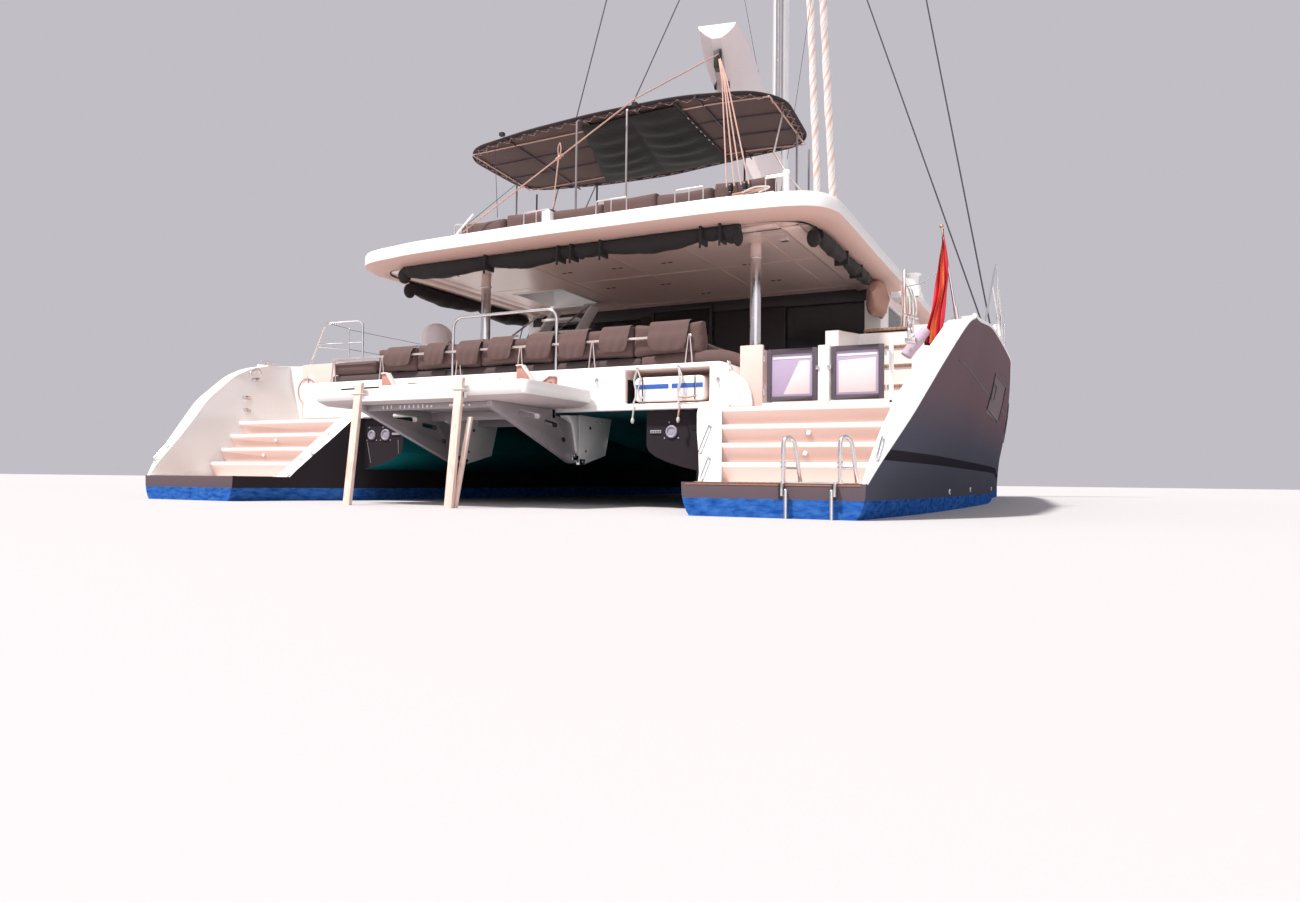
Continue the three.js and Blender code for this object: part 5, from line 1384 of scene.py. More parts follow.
def inflate(thing, fill, wrinkle, cap):
    """Blows a cover up a little by a cloth simulation, nowhere by more than the cap."""
    rest = [v.co.copy() for v in thing.data.vertices]
    cloth_sim = thing.modifiers.new("cloth", "CLOTH")
    settings = cloth_sim.settings
    settings.quality = 5
    settings.mass = 0.3
    settings.use_pressure = True
    settings.uniform_pressure_force = 3.0 + 1.6 * fill
    settings.effector_weights.gravity = 0.0
    settings.tension_stiffness = 12
    settings.compression_stiffness = 8
    settings.bending_stiffness = 0.15
    settings.shrink_min = -0.02 - wrinkle
    cloth_sim.point_cache.frame_start = 1
    cloth_sim.point_cache.frame_end = CLOTH_FRAMES
    for number in range(1, CLOTH_FRAMES + 1):
        bpy.context.scene.frame_set(number)
    bake(thing)
    for vertex, place in zip(thing.data.vertices, rest):
        move = vertex.co - place
        if move.length > cap:
            vertex.co = place + move * (cap / move.length)
    bpy.context.scene.frame_set(1)


def soft(name, form, material, replaces=(), fill=0.8, voxel=0.035, cap=0.02, wrinkle=0.0):
    """A cushion that keeps its seams where they were."""
    thing = object_of(form, name, [MAT[material]])
    remesh = thing.modifiers.new("even", "REMESH")
    remesh.mode = "VOXEL"
    remesh.voxel_size = voxel
    bake(thing)
    inflate(thing, fill, wrinkle, cap)
    repaint(thing, material)
    dress(thing, slot="cushion", replaces=replaces, subdivide=1, sharp=70)


SOFA_UNITS = [(-3.48, -2.68), (-2.64, -1.94), (-1.93, -0.88), (-0.87, 0.24), (0.25, 1.37), (1.38, 2.28)]
FLAPS = [(-2.45, -1.97), (-1.74, -1.40), (-1.20, -0.83), (-0.69, -0.32), (-0.10, 0.28), (0.39, 0.77),
         (0.96, 1.35), (1.61, 2.12)]


BACKS_AFT_Y, BACKS_FORE_Y = -7.44, -7.27


def add_sofa_base():
    form = Form()
    form.box((-3.50, BEAM_FORE_Y + 0.001, SOLE_Z + 0.001), (2.08, -6.56, 1.79))
    piece("sofa_base", form, ["gelcoat"], slot="gelcoat", replaces=["cockpit_sofa_base"], bevel=0.02,
          segments=3)
    for index, (x0, x1) in enumerate(SOFA_UNITS):
        seat = Form().box((x0, -7.20, 1.795), (x1, -6.55, 1.915))
        soft(f"sofa_seat_{index}", seat, "cushion_dark", replaces=["cockpit_seat_cushions"], voxel=0.05,
             cap=0.015)
        high = 1.94 if index == 0 else 2.075 + 0.016 * index
        sections = []
        for inset, y0, y1, z in ((0.006, -7.43, BACKS_FORE_Y, 1.765), (0.0, BACKS_AFT_Y, BACKS_FORE_Y, 1.90),
                                 (0.004, -7.43, -7.29, high)):
            left, right = x0 + inset, x1 - inset
            sections.append([(left, y0, z), (right, y0, z), (right, y1, z), (left, y1, z)])
        back = Form().grid(sections, closed=True, caps=True)
        soft(f"sofa_back_{index}", back, "cushion", replaces=["cockpit_back_cushions"], fill=0.9, voxel=0.035,
             cap=0.022)


def add_coaming_pads():
    pads = [(-3.50, -2.45), (-2.43, -1.45), (-1.43, -0.30), (-0.28, 0.75), (0.77, 1.48)]
    for index, (x0, x1) in enumerate(pads):
        pad = Form().box((x0, BACKS_AFT_Y, 1.604), (x1, -7.26, 1.75))
        soft(f"coaming_pad_{index}", pad, "cushion_dark")
    rows = []
    for x, z0, z1 in ((1.50, 1.61, 1.77), (2.10, 1.61, 1.80), (2.50, 1.61, 1.80), (2.66, 1.60, 1.75),
                      (2.82, 1.53, 1.64)):
        rows.append([(x, BACKS_AFT_Y, z0), (x, BACKS_FORE_Y, z0), (x, BACKS_FORE_Y, z1),
                     (x, BACKS_AFT_Y, z1)])
    soft("coaming_pad_end", Form().grid(rows, closed=True, caps=True), "cushion")


def add_back_flaps():
    for index, (x0, x1) in enumerate(FLAPS):
        middle, half = (x0 + x1) / 2, (x1 - x0) / 2
        under = next(n for n, (a, b) in enumerate(SOFA_UNITS) if a <= middle <= b)
        chance = random.Random(40 + index)
        rows = []
        count = 14
        high = 2.075 + 0.016 * under + 0.014
        profile = [(-7.33, high), (-7.39, high + 0.004), (BACKS_AFT_Y, high - 0.014), (-7.468, high - 0.05),
                   (-7.488, 2.03), (-7.512, 1.998),
                   (-7.520, 1.95), (-7.520, 1.91), (-7.517, 1.87), (-7.512, 1.835 - 0.02 * (index % 3))]
        for n, (y, z) in enumerate(profile):
            down = n / (len(profile) - 1)
            narrow = 1.0 if down < 0.75 else 1.0 - 0.22 * ((down - 0.75) / 0.25) ** 2
            row = []
            for k in range(count + 1):
                u = 2 * k / count - 1
                ripple = 0.006 * math.sin(9 * u + index * 2.1 + n * 0.6) * down
                ripple += chance.uniform(-0.002, 0.002)
                lift = 0.004 * down * (1 - abs(u) ** 3)
                row.append((middle + u * half * narrow, y - ripple - 0.004 - lift,
                            z - 0.012 * down * (1 - u * u)))
            rows.append(row)
        flap = object_of(Form().grid(rows), f"back_flap_{index}", [MAT["cushion"]])
        thick = flap.modifiers.new("thick", "SOLIDIFY")
        thick.thickness = 0.008
        thick.offset = 1
        dress(flap, slot="cushion", subdivide=1, sharp=80)


def add_dining_table():
    form = Form()
    form.box((-1.50, -5.90, 2.15), (0.90, -4.90, 2.19), 0)
    for x in (-1.0, 0.2):
        form.box((x, -5.5, SOLE_Z + 0.001), (x + 0.2, -5.3, 2.155), 1)
    piece("dining_table", form, ["teak", "gelcoat"], slot="teak", replaces=["cockpit_table"], bevel=0.012,
          segments=3)
    form = Form()
    form.box((2.48, -4.70, SOLE_Z + 0.001), (3.30, -3.40, 1.80))
    piece("lounge_base", form, ["gelcoat"], slot="gelcoat", bevel=0.02, segments=3)


def add_lounge():
    soft("lounge_seat", Form().box((2.49, -4.69, 1.805), (3.10, -3.41, 1.92)), "cushion",
         replaces=["starboard_lounge"], voxel=0.05)
    soft("lounge_back", Form().box((3.13, -4.69, 1.80), (3.29, -3.41, 2.31)), "cushion", voxel=0.05)

    form = Form()
    form.box((-3.30, -6.35, SOLE_Z + 0.001), (-2.52, -5.60, 2.21))
    piece("galley_cabinet", form, ["gelcoat"], slot="gelcoat", replaces=["grill_cabinet"], bevel=0.025,
          segments=3)


def add_cabinet():
    form = Form()
    for x in (-3.10, -2.72):
        form.box((x, -6.352, 1.60), (x + 0.36, -6.345, 2.10), 0)
        form.tube([(x + 0.30, -6.36, 1.80), (x + 0.30, -6.36, 1.92)], 0.006, 6, 1)
    piece("cabinet_doors", form, ["plastic", "steel"], slot="gelcoat", bevel=0.003)

    gore_rows = []
    centre = Vector((-2.87, -5.95, 2.465))
    for r in range(17):
        tilt = math.pi * (0.03 + 0.80 * r / 16)
        row = []
        for k in range(49):
            a = 2 * math.pi * k / 48
            pinch = 0.985 + 0.015 * abs(math.cos(4 * a))
            wrinkle = 1 + 0.008 * math.sin(11 * a + 3 * r)
            reach = 0.25 * pinch * wrinkle
            row.append(centre + Vector((reach * math.sin(tilt) * math.cos(a),
                                        reach * math.sin(tilt) * math.sin(a), reach * math.cos(tilt))))
        gore_rows.append(row)
    turns = [2 * math.pi * k / 48 for k in range(49)]
    gore_rows.append([centre + Vector((0.15 * math.cos(a), 0.15 * math.sin(a), -0.245)) for a in turns])
    tints = [[0, 1, 1, 0, 1, 0, 1, 1][(k // 6) % 8] for k in range(48)]
    cover = object_of(Form().grid(gore_rows, tints), "grill_cover_cloth", [MAT["sailcloth"], MAT["cover"]])
    dress(cover, slot="sailcloth", replaces=["grill_cover"], sharp=60)


LOW_RAIL_Y, HOOP_Y = -7.49, -7.45


def add_cockpit_rails():
    form = Form()
    hoop = rounded([(-1.31, HOOP_Y, 1.603), (-1.31, HOOP_Y, 2.43), (0.31, HOOP_Y, 2.43),
                    (0.31, HOOP_Y, 1.603)], 0.16, 8)
    form.tube(hoop, 0.020, 12)
    for x in (-1.31, 0.31):
        form.disc((x, HOOP_Y, 1.602), (0, 0, 1), 0.045, 0.008)
        form.disc((x, HOOP_Y, 1.610), (0, 0, 1), 0.028, 0.012)
    piece("hoop_rail", form, ["steel"], slot="steel", replaces=["cockpit_hoop_rail"])
    form = Form()
    form.tube([(-3.45, LOW_RAIL_Y, 1.975), (2.15, LOW_RAIL_Y, 1.975)], 0.0155, 10)
    form.ball((2.15, LOW_RAIL_Y, 1.975), (0.018, 0.0158, 0.0158))
    for x in (-3.42, -2.51, -1.18, -0.20, 0.85, 2.13):
        for foot in (-0.05, 0.05):
            form.tube([(x + foot, LOW_RAIL_Y, 1.603), (x + foot * 0.2, LOW_RAIL_Y, 1.965)], 0.0095, 8)
            form.disc((x + foot, LOW_RAIL_Y, 1.602), (0, 0, 1), 0.026, 0.007)
    piece("low_rail", form, ["warm_steel"], slot="steel", replaces=["cockpit_low_rail"])


POSTS = (("port", -1.93), ("starboard", 2.37))
POST_Y = -5.96


def add_posts():
    for side, x in POSTS:
        form = Form()
        form.tube([(x, POST_Y, SOLE_Z + 0.001), (x, POST_Y, 3.20)], 0.072, 32, 0)
        # Above the collar the post takes the ceiling's pinkish painted shade.
        form.tube([(x, POST_Y, 3.19), (x, POST_Y, SOFFIT_Z)], 0.0715, 32, 1)
        form.tube([(x, POST_Y, 3.185), (x, POST_Y, 3.205)], 0.086, 32, 2)
        form.disc((x, POST_Y, SOLE_Z + 0.001), (0, 0, 1), 0.11, 0.012, 0)
        piece(f"roof_post_{side}", form, ["steel", "ceiling", "warm_steel"], slot="steel",
              replaces=[f"hardtop_post_{side}"], bevel=0.002)


# Saloon: walls, panes, sliding door and what shows through them
def saloon_loop(inset, z):
    plan = [*SALOON_PLAN, *[(-x, y) for x, y in reversed(SALOON_PLAN)]]
    count = len(plan)
    loop = []
    for i, (x, y) in enumerate(plan):
        before = Vector(plan[i - 1]) - Vector((x, y))
        after = Vector(plan[(i + 1) % count]) - Vector((x, y))
        inward = (before.normalized() + after.normalized())
        inward = inward.normalized() if inward.length > 1e-6 else Vector((0, 1))
        half_angle = before.angle(after) / 2
        if inward.dot(Vector((-x, 0.25 - y))) < 0:
            inward = -inward
        loop.append((x + inward.x * inset / math.sin(half_angle), y + inward.y * inset / math.sin(half_angle),
                     z))
    return loop


ROOM_Z = SOLE_Z + 0.002
SALOON_WINDOWS = [
    (-3.6, 3.6, -2.30, 0.30), (-3.6, 3.6, 0.42, 2.30), (-2.35, -1.45, 2.4, 3.7), (-1.30, -0.06, 2.9, 3.7),
    (0.06, 1.30, 2.9, 3.7), (1.45, 2.35, 2.4, 3.7),
]


def add_saloon_shell():
    walls = Form().grid([saloon_loop(0, SOLE_Z + 0.001), saloon_loop(0, SOFFIT_Z)], 0, closed=True, caps=True)
    shell = object_of(walls, "saloon_walls", [MAT["gelcoat"], MAT["wall_dark"]])
    cuts = [Form().grid([saloon_loop(0.07, SOLE_Z - 0.1), saloon_loop(0.07, 3.5)], 1, closed=True, caps=True)]
    for x0, x1, y0, y1 in SALOON_WINDOWS:
        cuts.append(Form().box((x0, y0, 2.33), (x1, y1, 3.18), 0))
    cuts.append(Form().box((-0.70, -2.95, SOLE_Z + 0.03), (0.50, -2.65, 3.30), 1))
    for x0, x1 in ((-3.05, -0.90), (1.75, 3.05)):
        cuts.append(Form().box((x0, -2.95, 1.70), (x1, -2.65, 3.18), 1))
    carve(shell, cuts=cuts)
    dress(shell, slot="gelcoat", replaces=["saloon_shell"], bevel=0.006, sharp=40)


def add_saloon_aft_trim():
    panel = Form()
    for x0, x1, z0, z1 in ((-3.20, 3.20, 3.18, 3.375), (0.50, 1.75, 1.50, 3.20), (-0.90, -0.70, 1.50, 3.20)):
        panel.box((x0, -2.857, z0), (x1, -2.852, z1))
    piece("saloon_aft_trim", panel, ["wall_dark"], slot="glass", bevel=0.002)
    ring = Form()
    outer, inner = saloon_loop(0.071, 1.64), saloon_loop(0.081, 1.64)
    rows = [outer, [(x, y, 3.24) for x, y, _ in outer], [(x, y, 3.24) for x, y, _ in inner], inner]
    ring.grid([*rows, rows[0]], 0, closed=True)
    pane = object_of(ring, "saloon_panes", [MAT["clear"]])
    carve(pane, cuts=[Form().box((-0.80, -2.87, 1.4), (0.60, -2.5, 3.4), 0)])
    dress(pane, slot="glass", replaces=["saloon_glazing"])


def add_sliding_door():
    door = Form()
    x0, x1, y0, y1, z0, z1 = -0.68, 0.48, -2.90, -2.86, 1.462, 3.32
    frame_bars(door, (x0, y0, z0), (x1, y1, z1), 0.05, 0.06)
    door.box((x0 + 0.045, y0 + 0.013, z0 + 0.055), (x1 - 0.045, y1 - 0.013, z1 - 0.055), 1)
    door.tube([(x0 + 0.09, y0 - 0.03, 2.25), (x0 + 0.09, y0 - 0.03, 2.75)], 0.010, 8, 2)
    for z in (2.28, 2.72):
        door.tube([(x0 + 0.09, y0 - 0.03, z), (x0 + 0.09, y0 + 0.015, z)], 0.008, 8, 2)
    piece("sliding_door", door, ["wall_dark", "clear", "steel"], body="saloon_door", slot="glass",
          replaces=["saloon_door"], bevel=0.003)


def add_side_shades():
    shades = Form()
    for y0, y1 in ((-2.30, 0.30), (0.42, 2.30)):
        shades.box((3.262, y0 + 0.02, 2.35), (3.272, y1 - 0.02, 3.16))
    both_sides("side_shades", shades, ["glass"], slot="glass")

    room = Form()
    # Boxes of tint 2 take the ceiling's pinkish painted shade.
    for low, high, tint in (
        ((0.9, -2.2, ROOM_Z), (2.9, -1.5, 1.85), 0), ((0.9, -1.5, ROOM_Z), (2.9, -1.35, 2.35), 0),
        ((1.2, -0.6, 2.1), (2.6, 0.6, 2.14), 1), ((1.85, -0.05, ROOM_Z), (1.95, 0.05, 2.1), 1),
        ((-3.0, -2.3, ROOM_Z), (-1.5, -1.6, 2.35), 2), ((-3.02, -2.32, 2.35), (-1.48, -1.58, 2.39), 1),
        ((-3.0, 0.2, ROOM_Z), (-1.2, 1.9, 2.1), 0), ((1.5, 1.2, ROOM_Z), (3.0, 2.2, 2.6), 2),
    ):
        room.box(low, high, tint)
    piece("saloon_furniture", room, ["cushion", "teak", "ceiling"], slot="cushion", bevel=0.02)


def add_saloon_blind():
    blinds = Form()
    for z in range(6):
        blinds.box((1.90, -2.76, 2.55 + z * 0.085), (2.90, -2.745, 2.625 + z * 0.085), 0)
    piece("saloon_blind", blinds, ["blind"], slot="canvas", bevel=0.006)

    stairs = Form()
    rise = (3.32 - SOLE_Z) / 7
    for i in range(7):
        z = SOLE_Z + rise * (i + 1)
        y = -5.35 + i * 0.255
        stairs.box((-2.19, y, z - 0.04), (-1.51, y + 0.26, z), 0)
        stairs.box((-2.17, y + 0.02, z), (-1.53, y + 0.24, z + 0.006), 1)
    slope = [(-5.41, SOLE_Z + 0.001), (-5.09, SOLE_Z + 0.001), (-3.37, 3.32), (-3.65, 3.32)]
    for x in (-2.25, -1.49):
        stairs.prism(slope, "X", x, x + 0.04, 0)
    for x in (-2.27, -1.43):
        rail = [(x, -5.30, 1.9), (x, -5.15, 2.45), (x, -3.75, 3.30)]
        stairs.tube(rounded(rail, 0.12, 4), 0.016, 8, 2)
    piece("stair_flight", stairs, ["gelcoat", "teak", "steel"], slot="gelcoat", replaces=["flybridge_stairs"],
          bevel=0.006)


# Bridgedeck between the hulls
NACELLE = [  # y, half width and height at the root, half width and height at the keel
    (-6.20, 0.50, 1.110, 0.06, 1.090), (-3.50, 0.70, 1.110, 0.18, 0.720), (2.60, 0.70, 1.110, 0.18, 0.760),
    (4.60, 0.30, 1.360, 0.06, 1.340),
]


def add_bridgedeck():
    profile = [(-7.838, 1.102), (3.60, 1.102), (5.198, 1.50), (5.198, 2.13), (1.0, 2.13), (1.0, SOLE_Z),
               (-7.838, SOLE_Z)]
    form = Form().prism(profile, "X", -1.7795, 1.7795)
    # The underside and the side ends take the teal painted light from the water.
    form.tints = [1, 1, 0, 2, 0, 3, 0, 1, 1]
    slab = object_of(form, "bridgedeck_skin",
                     [MAT[m] for m in ("gelcoat", "tunnel_deep", "deck", "teak_deck")])
    carve(slab, cuts=[Form().box((1.53, -7.97, 1.175), (2.56, -7.43, 1.56), 1)])
    dress(slab, slot="gelcoat", replaces=["bridgedeck"])
    rows = []
    for i in range(31):
        y = lerp(NACELLE[0][0], NACELLE[-1][0], i / 30)
        wide, top, narrow, low = (monotone(NACELLE, c, y) for c in range(1, 5))
        half = [(wide, top + 0.02), (wide * 0.97, lerp(top, low, 0.12)),
                (lerp(narrow, wide, 0.72), lerp(top, low, 0.55)),
                (lerp(narrow, wide, 0.28), lerp(top, low, 0.9)), (narrow * 0.6, low)]
        rows.append([(x, y, z) for x, z in half] + [(-x, y, z) for x, z in reversed(half)])
    # The nacelle takes the teal painted light from the water.
    piece("nacelle", Form().grid(rows, 0, closed=True, caps=True), ["tunnel_deep"], slot="topside")


# Hardtop with its ceiling, hatch and rolled curtains
ROOF_HALF = [
    (0, -7.230), (2.100, -7.190), (2.700, -7.130), (3.150, -7.060), (3.430, -6.930), (3.580, -6.700),
    (3.620, -6.300),
    (3.600, -4.500), (3.540, 1.200), (3.300, 2.700), (2.700, 3.600), (1.500, 3.990), (0, 4.050),
]
CEILING_Z = 3.380
SOFFIT_Z = 3.379             # what reaches the ceiling from below ends here
ROOF_TOP = 3.652
HATCH = ((-2.35, -4.70), (-1.35, -3.50))


def inset_loop(loop, inset):
    """A loop that runs anticlockwise, moved inward."""
    count = len(loop)
    made = []
    for i, point in enumerate(loop):
        along = (loop[(i + 1) % count] - loop[i - 1]).normalized()
        made.append(Vector((point.x - along.y * inset, point.y + along.x * inset, 0)))
    return made


def roof_loop():
    half = spline([(x, y, 0) for x, y in ROOF_HALF], 4)
    return half + [Vector((-p.x, p.y, 0)) for p in reversed(half[1:-1])]


def add_hardtop():
    loop = roof_loop()
    # The bands under the rim take the salmon painted shade, and the ceiling takes the pinkish painted shade.
    bands = [  # inset, height, finish of the band to the next row
        (0.60, CEILING_Z, 2), (0.33, CEILING_Z, 1), (0.31, 3.366, 1), (0.20, 3.358, 1), (0.10, 3.382, 1),
        (0.025, 3.425, 1),
        (0.0, 3.455, 0), (0.0, 3.590, 0), (0.022, 3.630, 0), (0.075, ROOF_TOP, 0),
        (0.30, ROOF_TOP + 0.002, 3),
    ]
    form = Form()
    for (inset, z, tint), (inset2, z2, _) in zip(bands, bands[1:]):
        rows = [[(p.x, p.y, z) for p in inset_loop(loop, inset)],
                [(p.x, p.y, z2) for p in inset_loop(loop, inset2)]]
        form.grid(rows, tint, closed=True)
    low = [(p.x, p.y, bands[0][1]) for p in inset_loop(loop, bands[0][0])]
    top = [(p.x, p.y, bands[-1][1]) for p in inset_loop(loop, bands[-1][0])]
    form.add(low, [list(range(len(low)))[::-1]], 2)
    form.add(top, [list(range(len(top)))], 3)
    roof = object_of(form, "hardtop_skin", [MAT[m] for m in ("gelcoat", "soffit", "ceiling", "deck")])
    (x0, y0), (x1, y1) = HATCH
    carve(roof, cuts=[Form().box((x0, y0, 3.2), (x1, y1, 3.8), 0)])
    dress(roof, slot="gelcoat", replaces=["hardtop"], sharp=32)

    lines = Form()
    # Seam strips in the pinkish painted shade.
    for x in (-2.70, -1.0, 0.35, 1.45, 2.55):
        lines.box((x - 0.006, -6.70, CEILING_Z - 0.004), (x + 0.006, -2.90, CEILING_Z + 0.01), 0)
    for y in (-6.25, -4.95, -3.10):
        lines.box((-3.0, y - 0.006, CEILING_Z - 0.004), (3.0, y + 0.006, CEILING_Z + 0.01), 0)
    for x, y in ((-0.72, -5.60), (0.10, -5.55), (0.90, -5.55), (-0.62, -4.45), (0.30, -4.35), (1.90, -5.0),
                 (1.95, -3.9), (0.62, -3.5)):
        for dx in (-0.05, 0.05):
            lines.box((x + dx - 0.030, y - 0.018, CEILING_Z - 0.006),
                      (x + dx + 0.030, y + 0.018, CEILING_Z + 0.01), 1)
    for x, y in ((2.76, -5.97), (2.95, -5.93)):
        lines.box((x - 0.050, y - 0.030, CEILING_Z - 0.014), (x + 0.050, y + 0.030, CEILING_Z + 0.01), 2)
        lines.box((x - 0.036, y - 0.018, CEILING_Z - 0.018), (x + 0.036, y + 0.018, CEILING_Z + 0.01), 1)
    for x, y in ((-2.40, -6.10), (-0.20, -6.45), (1.35, -6.45)):
        lines.box((x - 0.055, y - 0.022, CEILING_Z - 0.014), (x + 0.055, y + 0.022, CEILING_Z + 0.01), 3)
    piece("ceiling_fittings", lines, ["blush", "black", "steel", "lens"], slot="gelcoat")

    # The border takes the ceiling's pinkish painted shade.
    beams = Form()
    for sign in (1, -1):
        side = [(sign * 3.13, SOFFIT_Z), (sign * 3.13, 3.350), (sign * 2.96, 3.330), (sign * 2.88, SOFFIT_Z)]
        beams.prism(side, "Y", -6.55, -2.90, 0)
    cross = [(-6.74, SOFFIT_Z), (-6.74, 3.350), (-6.62, 3.340), (-6.55, SOFFIT_Z)]
    beams.prism(cross, "X", -2.9, 2.9, 0)
    piece("ceiling_border", beams, ["ceiling"], slot="gelcoat", bevel=0.006)

    hatch = Form()
    for low, high in (((x0, y0), (x1, y0 + 0.05)), ((x0, y1 - 0.05), (x1, y1)), ((x0, y0), (x0 + 0.05, y1)),
                      ((x1 - 0.05, y0), (x1, y1))):
        hatch.box((*low, 3.37), (*high, ROOF_TOP + 0.03), 0)
    hinge, tilt = Vector((0, y1 - 0.02, ROOF_TOP + 0.04)), math.radians(32)
    lid = []
    for back in (0.0, 1.16):
        for lift in (0.0, 0.035):
            lid.append((hinge.y - back * math.cos(tilt) + lift * math.sin(tilt),
                        hinge.z + back * math.sin(tilt) + lift * math.cos(tilt)))
    hatch.prism([lid[0], lid[2], lid[3], lid[1]], "X", x0 + 0.01, x1 - 0.01, 1)
    hold_y, hold_z = (lerp(lid[0][n], lid[2][n], 0.62) for n in (0, 1))
    for x in (x0 + 0.03, x1 - 0.03):
        hatch.tube([(x, y0 + 0.35, ROOF_TOP), (x, hold_y, hold_z)], 0.012, 8, 2)
    hatch.box((x0 + 0.35, y0 + 0.012, 3.42), (x0 + 0.47, y0 + 0.06, 3.50), 3)
    piece("stair_hatch", hatch, ["gelcoat", "glass", "steel", "black"], slot="gelcoat", bevel=0.004)


def swag(form, path, ties, depth, tint=0):
    """A curtain rolled up under its track: it hangs in scallops between the ties."""
    rows = []
    for u, place, outward in path:
        nearest = min(abs(u - tie) for tie in ties)
        gaps = [(b - a) / 2 for a, b in zip(ties, ties[1:]) if a - 0.3 <= u <= b + 0.3]
        gap = max(gaps) if ties[0] < u < ties[-1] else 0.3
        sag = min(1.0, nearest / max(0.12, gap)) ** 0.45
        drop = lerp(0.135, depth, sag)
        wide = lerp(0.055, 0.100, sag)
        row = []
        for k in range(14):
            a = 2 * math.pi * k / 14
            crease = 1 + 0.07 * math.sin(5 * a + 6.5 * u) + 0.05 * math.sin(17 * u + k)
            out = math.cos(a) * wide * crease
            up = math.sin(a)
            z = (CEILING_Z - 0.012) - drop / 2 + up * drop / 2 * (1.0 if up > 0 else crease)
            row.append(place + outward * out + Vector((0, 0, z)))
        rows.append(row)
    form.grid(rows, tint, closed=True, caps=True)


ROLL_Z = 3.371


def add_curtains():
    def aft(u):
        return (u, Vector((u, -6.92, 0)), Vector((0, -1, 0)))

    form = Form()
    ties = [-2.64, -1.15, 0.02, 0.22, 0.66, 2.05, 2.30, 2.52]
    swag(form, [aft(lerp(-2.66, 2.52, k / 130)) for k in range(131)], ties, 0.235)
    form.ball((2.50, -6.93, 3.20), (0.060, 0.075, 0.105), 0, 8, 12)
    form.ball((-2.68, -6.90, 3.24), (0.10, 0.09, 0.115), 0, 8, 12)
    port_ys = (lerp(-6.10, -2.96, k / 90) for k in range(91))
    port = [(v, Vector((-3.29, v, 0)), Vector((-1, 0, 0))) for v in port_ys]
    swag(form, port, [-6.08, -4.4, -2.98], 0.245)
    form.ball((-3.29, -6.12, 3.23), (0.085, 0.10, 0.115), 0, 8, 12)
    for tie in ties[1:-1]:
        form.box((tie - 0.014, -7.03, 3.16), (tie + 0.014, -6.82, 3.372), 1)
        form.box((tie - 0.012, -7.035, 3.10), (tie + 0.012, -7.02, 3.26), 1)
    form.box((-2.75, -6.945, 3.362), (2.75, -6.895, SOFFIT_Z), 1)
    form.box((-3.305, -6.20, 3.362), (-3.275, -2.90, SOFFIT_Z), 1)
    piece("curtain_rolls_dark", form, ["curtain", "webbing"], slot="canvas", replaces=["rolled_curtains"],
          sharp=60)
    form = Form()
    side_ys = (lerp(-6.30, -3.70, k / 80) for k in range(81))
    side = [(v, Vector((3.29, v, 0)), Vector((1, 0, 0))) for v in side_ys]
    swag(form, side, [-6.28, -5.0, -3.72], 0.165, 1)
    form.ball((3.25, -6.36, 3.25), (0.085, 0.10, 0.11), 1, 8, 12)
    for v in (-5.2, -4.4):
        form.box((3.20, v - 0.02, 3.18), (3.38, v + 0.02, 3.372), 1)
    rows = []
    for k in range(17):
        t = k / 16
        wide = 0.10 + 0.17 * math.sin(math.pi * min(1, t * 1.15)) ** 0.8
        row = []
        for n in range(20):
            a = 2 * math.pi * n / 20
            crumple = 1 + 0.10 * math.sin(3 * a + 5 * t) + 0.06 * math.sin(7 * a - 9 * t)
            row.append((3.34 + 0.6 * wide * crumple * math.cos(a), -3.55 + 0.62 * t + 0.10 * math.sin(a),
                        3.24 - 0.30 * t + wide * crumple * math.sin(a)))
        rows.append(row)
    form.grid(rows, 0, closed=True, caps=True)
    form.box((3.275, -6.40, 3.362), (3.305, -2.90, SOFFIT_Z), 1)
    corner = spline([(3.29, -6.30, ROLL_Z), (3.22, -6.60, ROLL_Z), (3.02, -6.80, ROLL_Z),
                     (2.72, -6.90, ROLL_Z)], 8)
    form.tube(corner, 0.012, 8, 1)
    form.tube([(-p.x, p.y, p.z) for p in corner], 0.012, 8, 1)
    piece("curtain_roll_starboard", form, ["bag", "curtain"], slot="canvas", sharp=60)


# Flybridge: seats, cushions, low rails, helm and small things on the coaming
FLY_FLOOR = ROOF_TOP
SEAT_TOP = 3.72


COAMING_RAIL_Y, COAMING_HOOP_Y = -6.62, -6.60
CORNER_POST_X = 2.99
CUSHION_FOOT_Z = 3.735


def add_flybridge_seats():
    form = Form()
    outline = [(-2.75, -3.30), (-2.75, -6.20), (-2.45, -6.50), (2.45, -6.50), (2.75, -6.20), (2.75, -3.30),
               (2.05, -3.30), (2.05, -5.80), (-2.05, -5.80), (-2.05, -4.77), (-2.41, -4.77), (-2.41, -3.30)]
    form.prism(outline, "Z", FLY_FLOOR - 0.01, SEAT_TOP, 0)
    piece("flybridge_seat_base", form, ["gelcoat"], slot="gelcoat", replaces=["flybridge_seats"], bevel=0.015)
    for index in range(6):
        x0 = -2.02 + index * 0.80
        top = (4.035, 4.055, 4.03, 4.06, 4.03, 4.05)[index]
        back = Form().box((x0 + 0.008, -6.48, CUSHION_FOOT_Z), (x0 + 0.792, -6.31, top))
        soft(f"aft_back_{index}", back, "cushion", replaces=["flybridge_cushions"] if index == 0 else (),
             fill=0.75, voxel=0.045, cap=0.03, wrinkle=0.03)


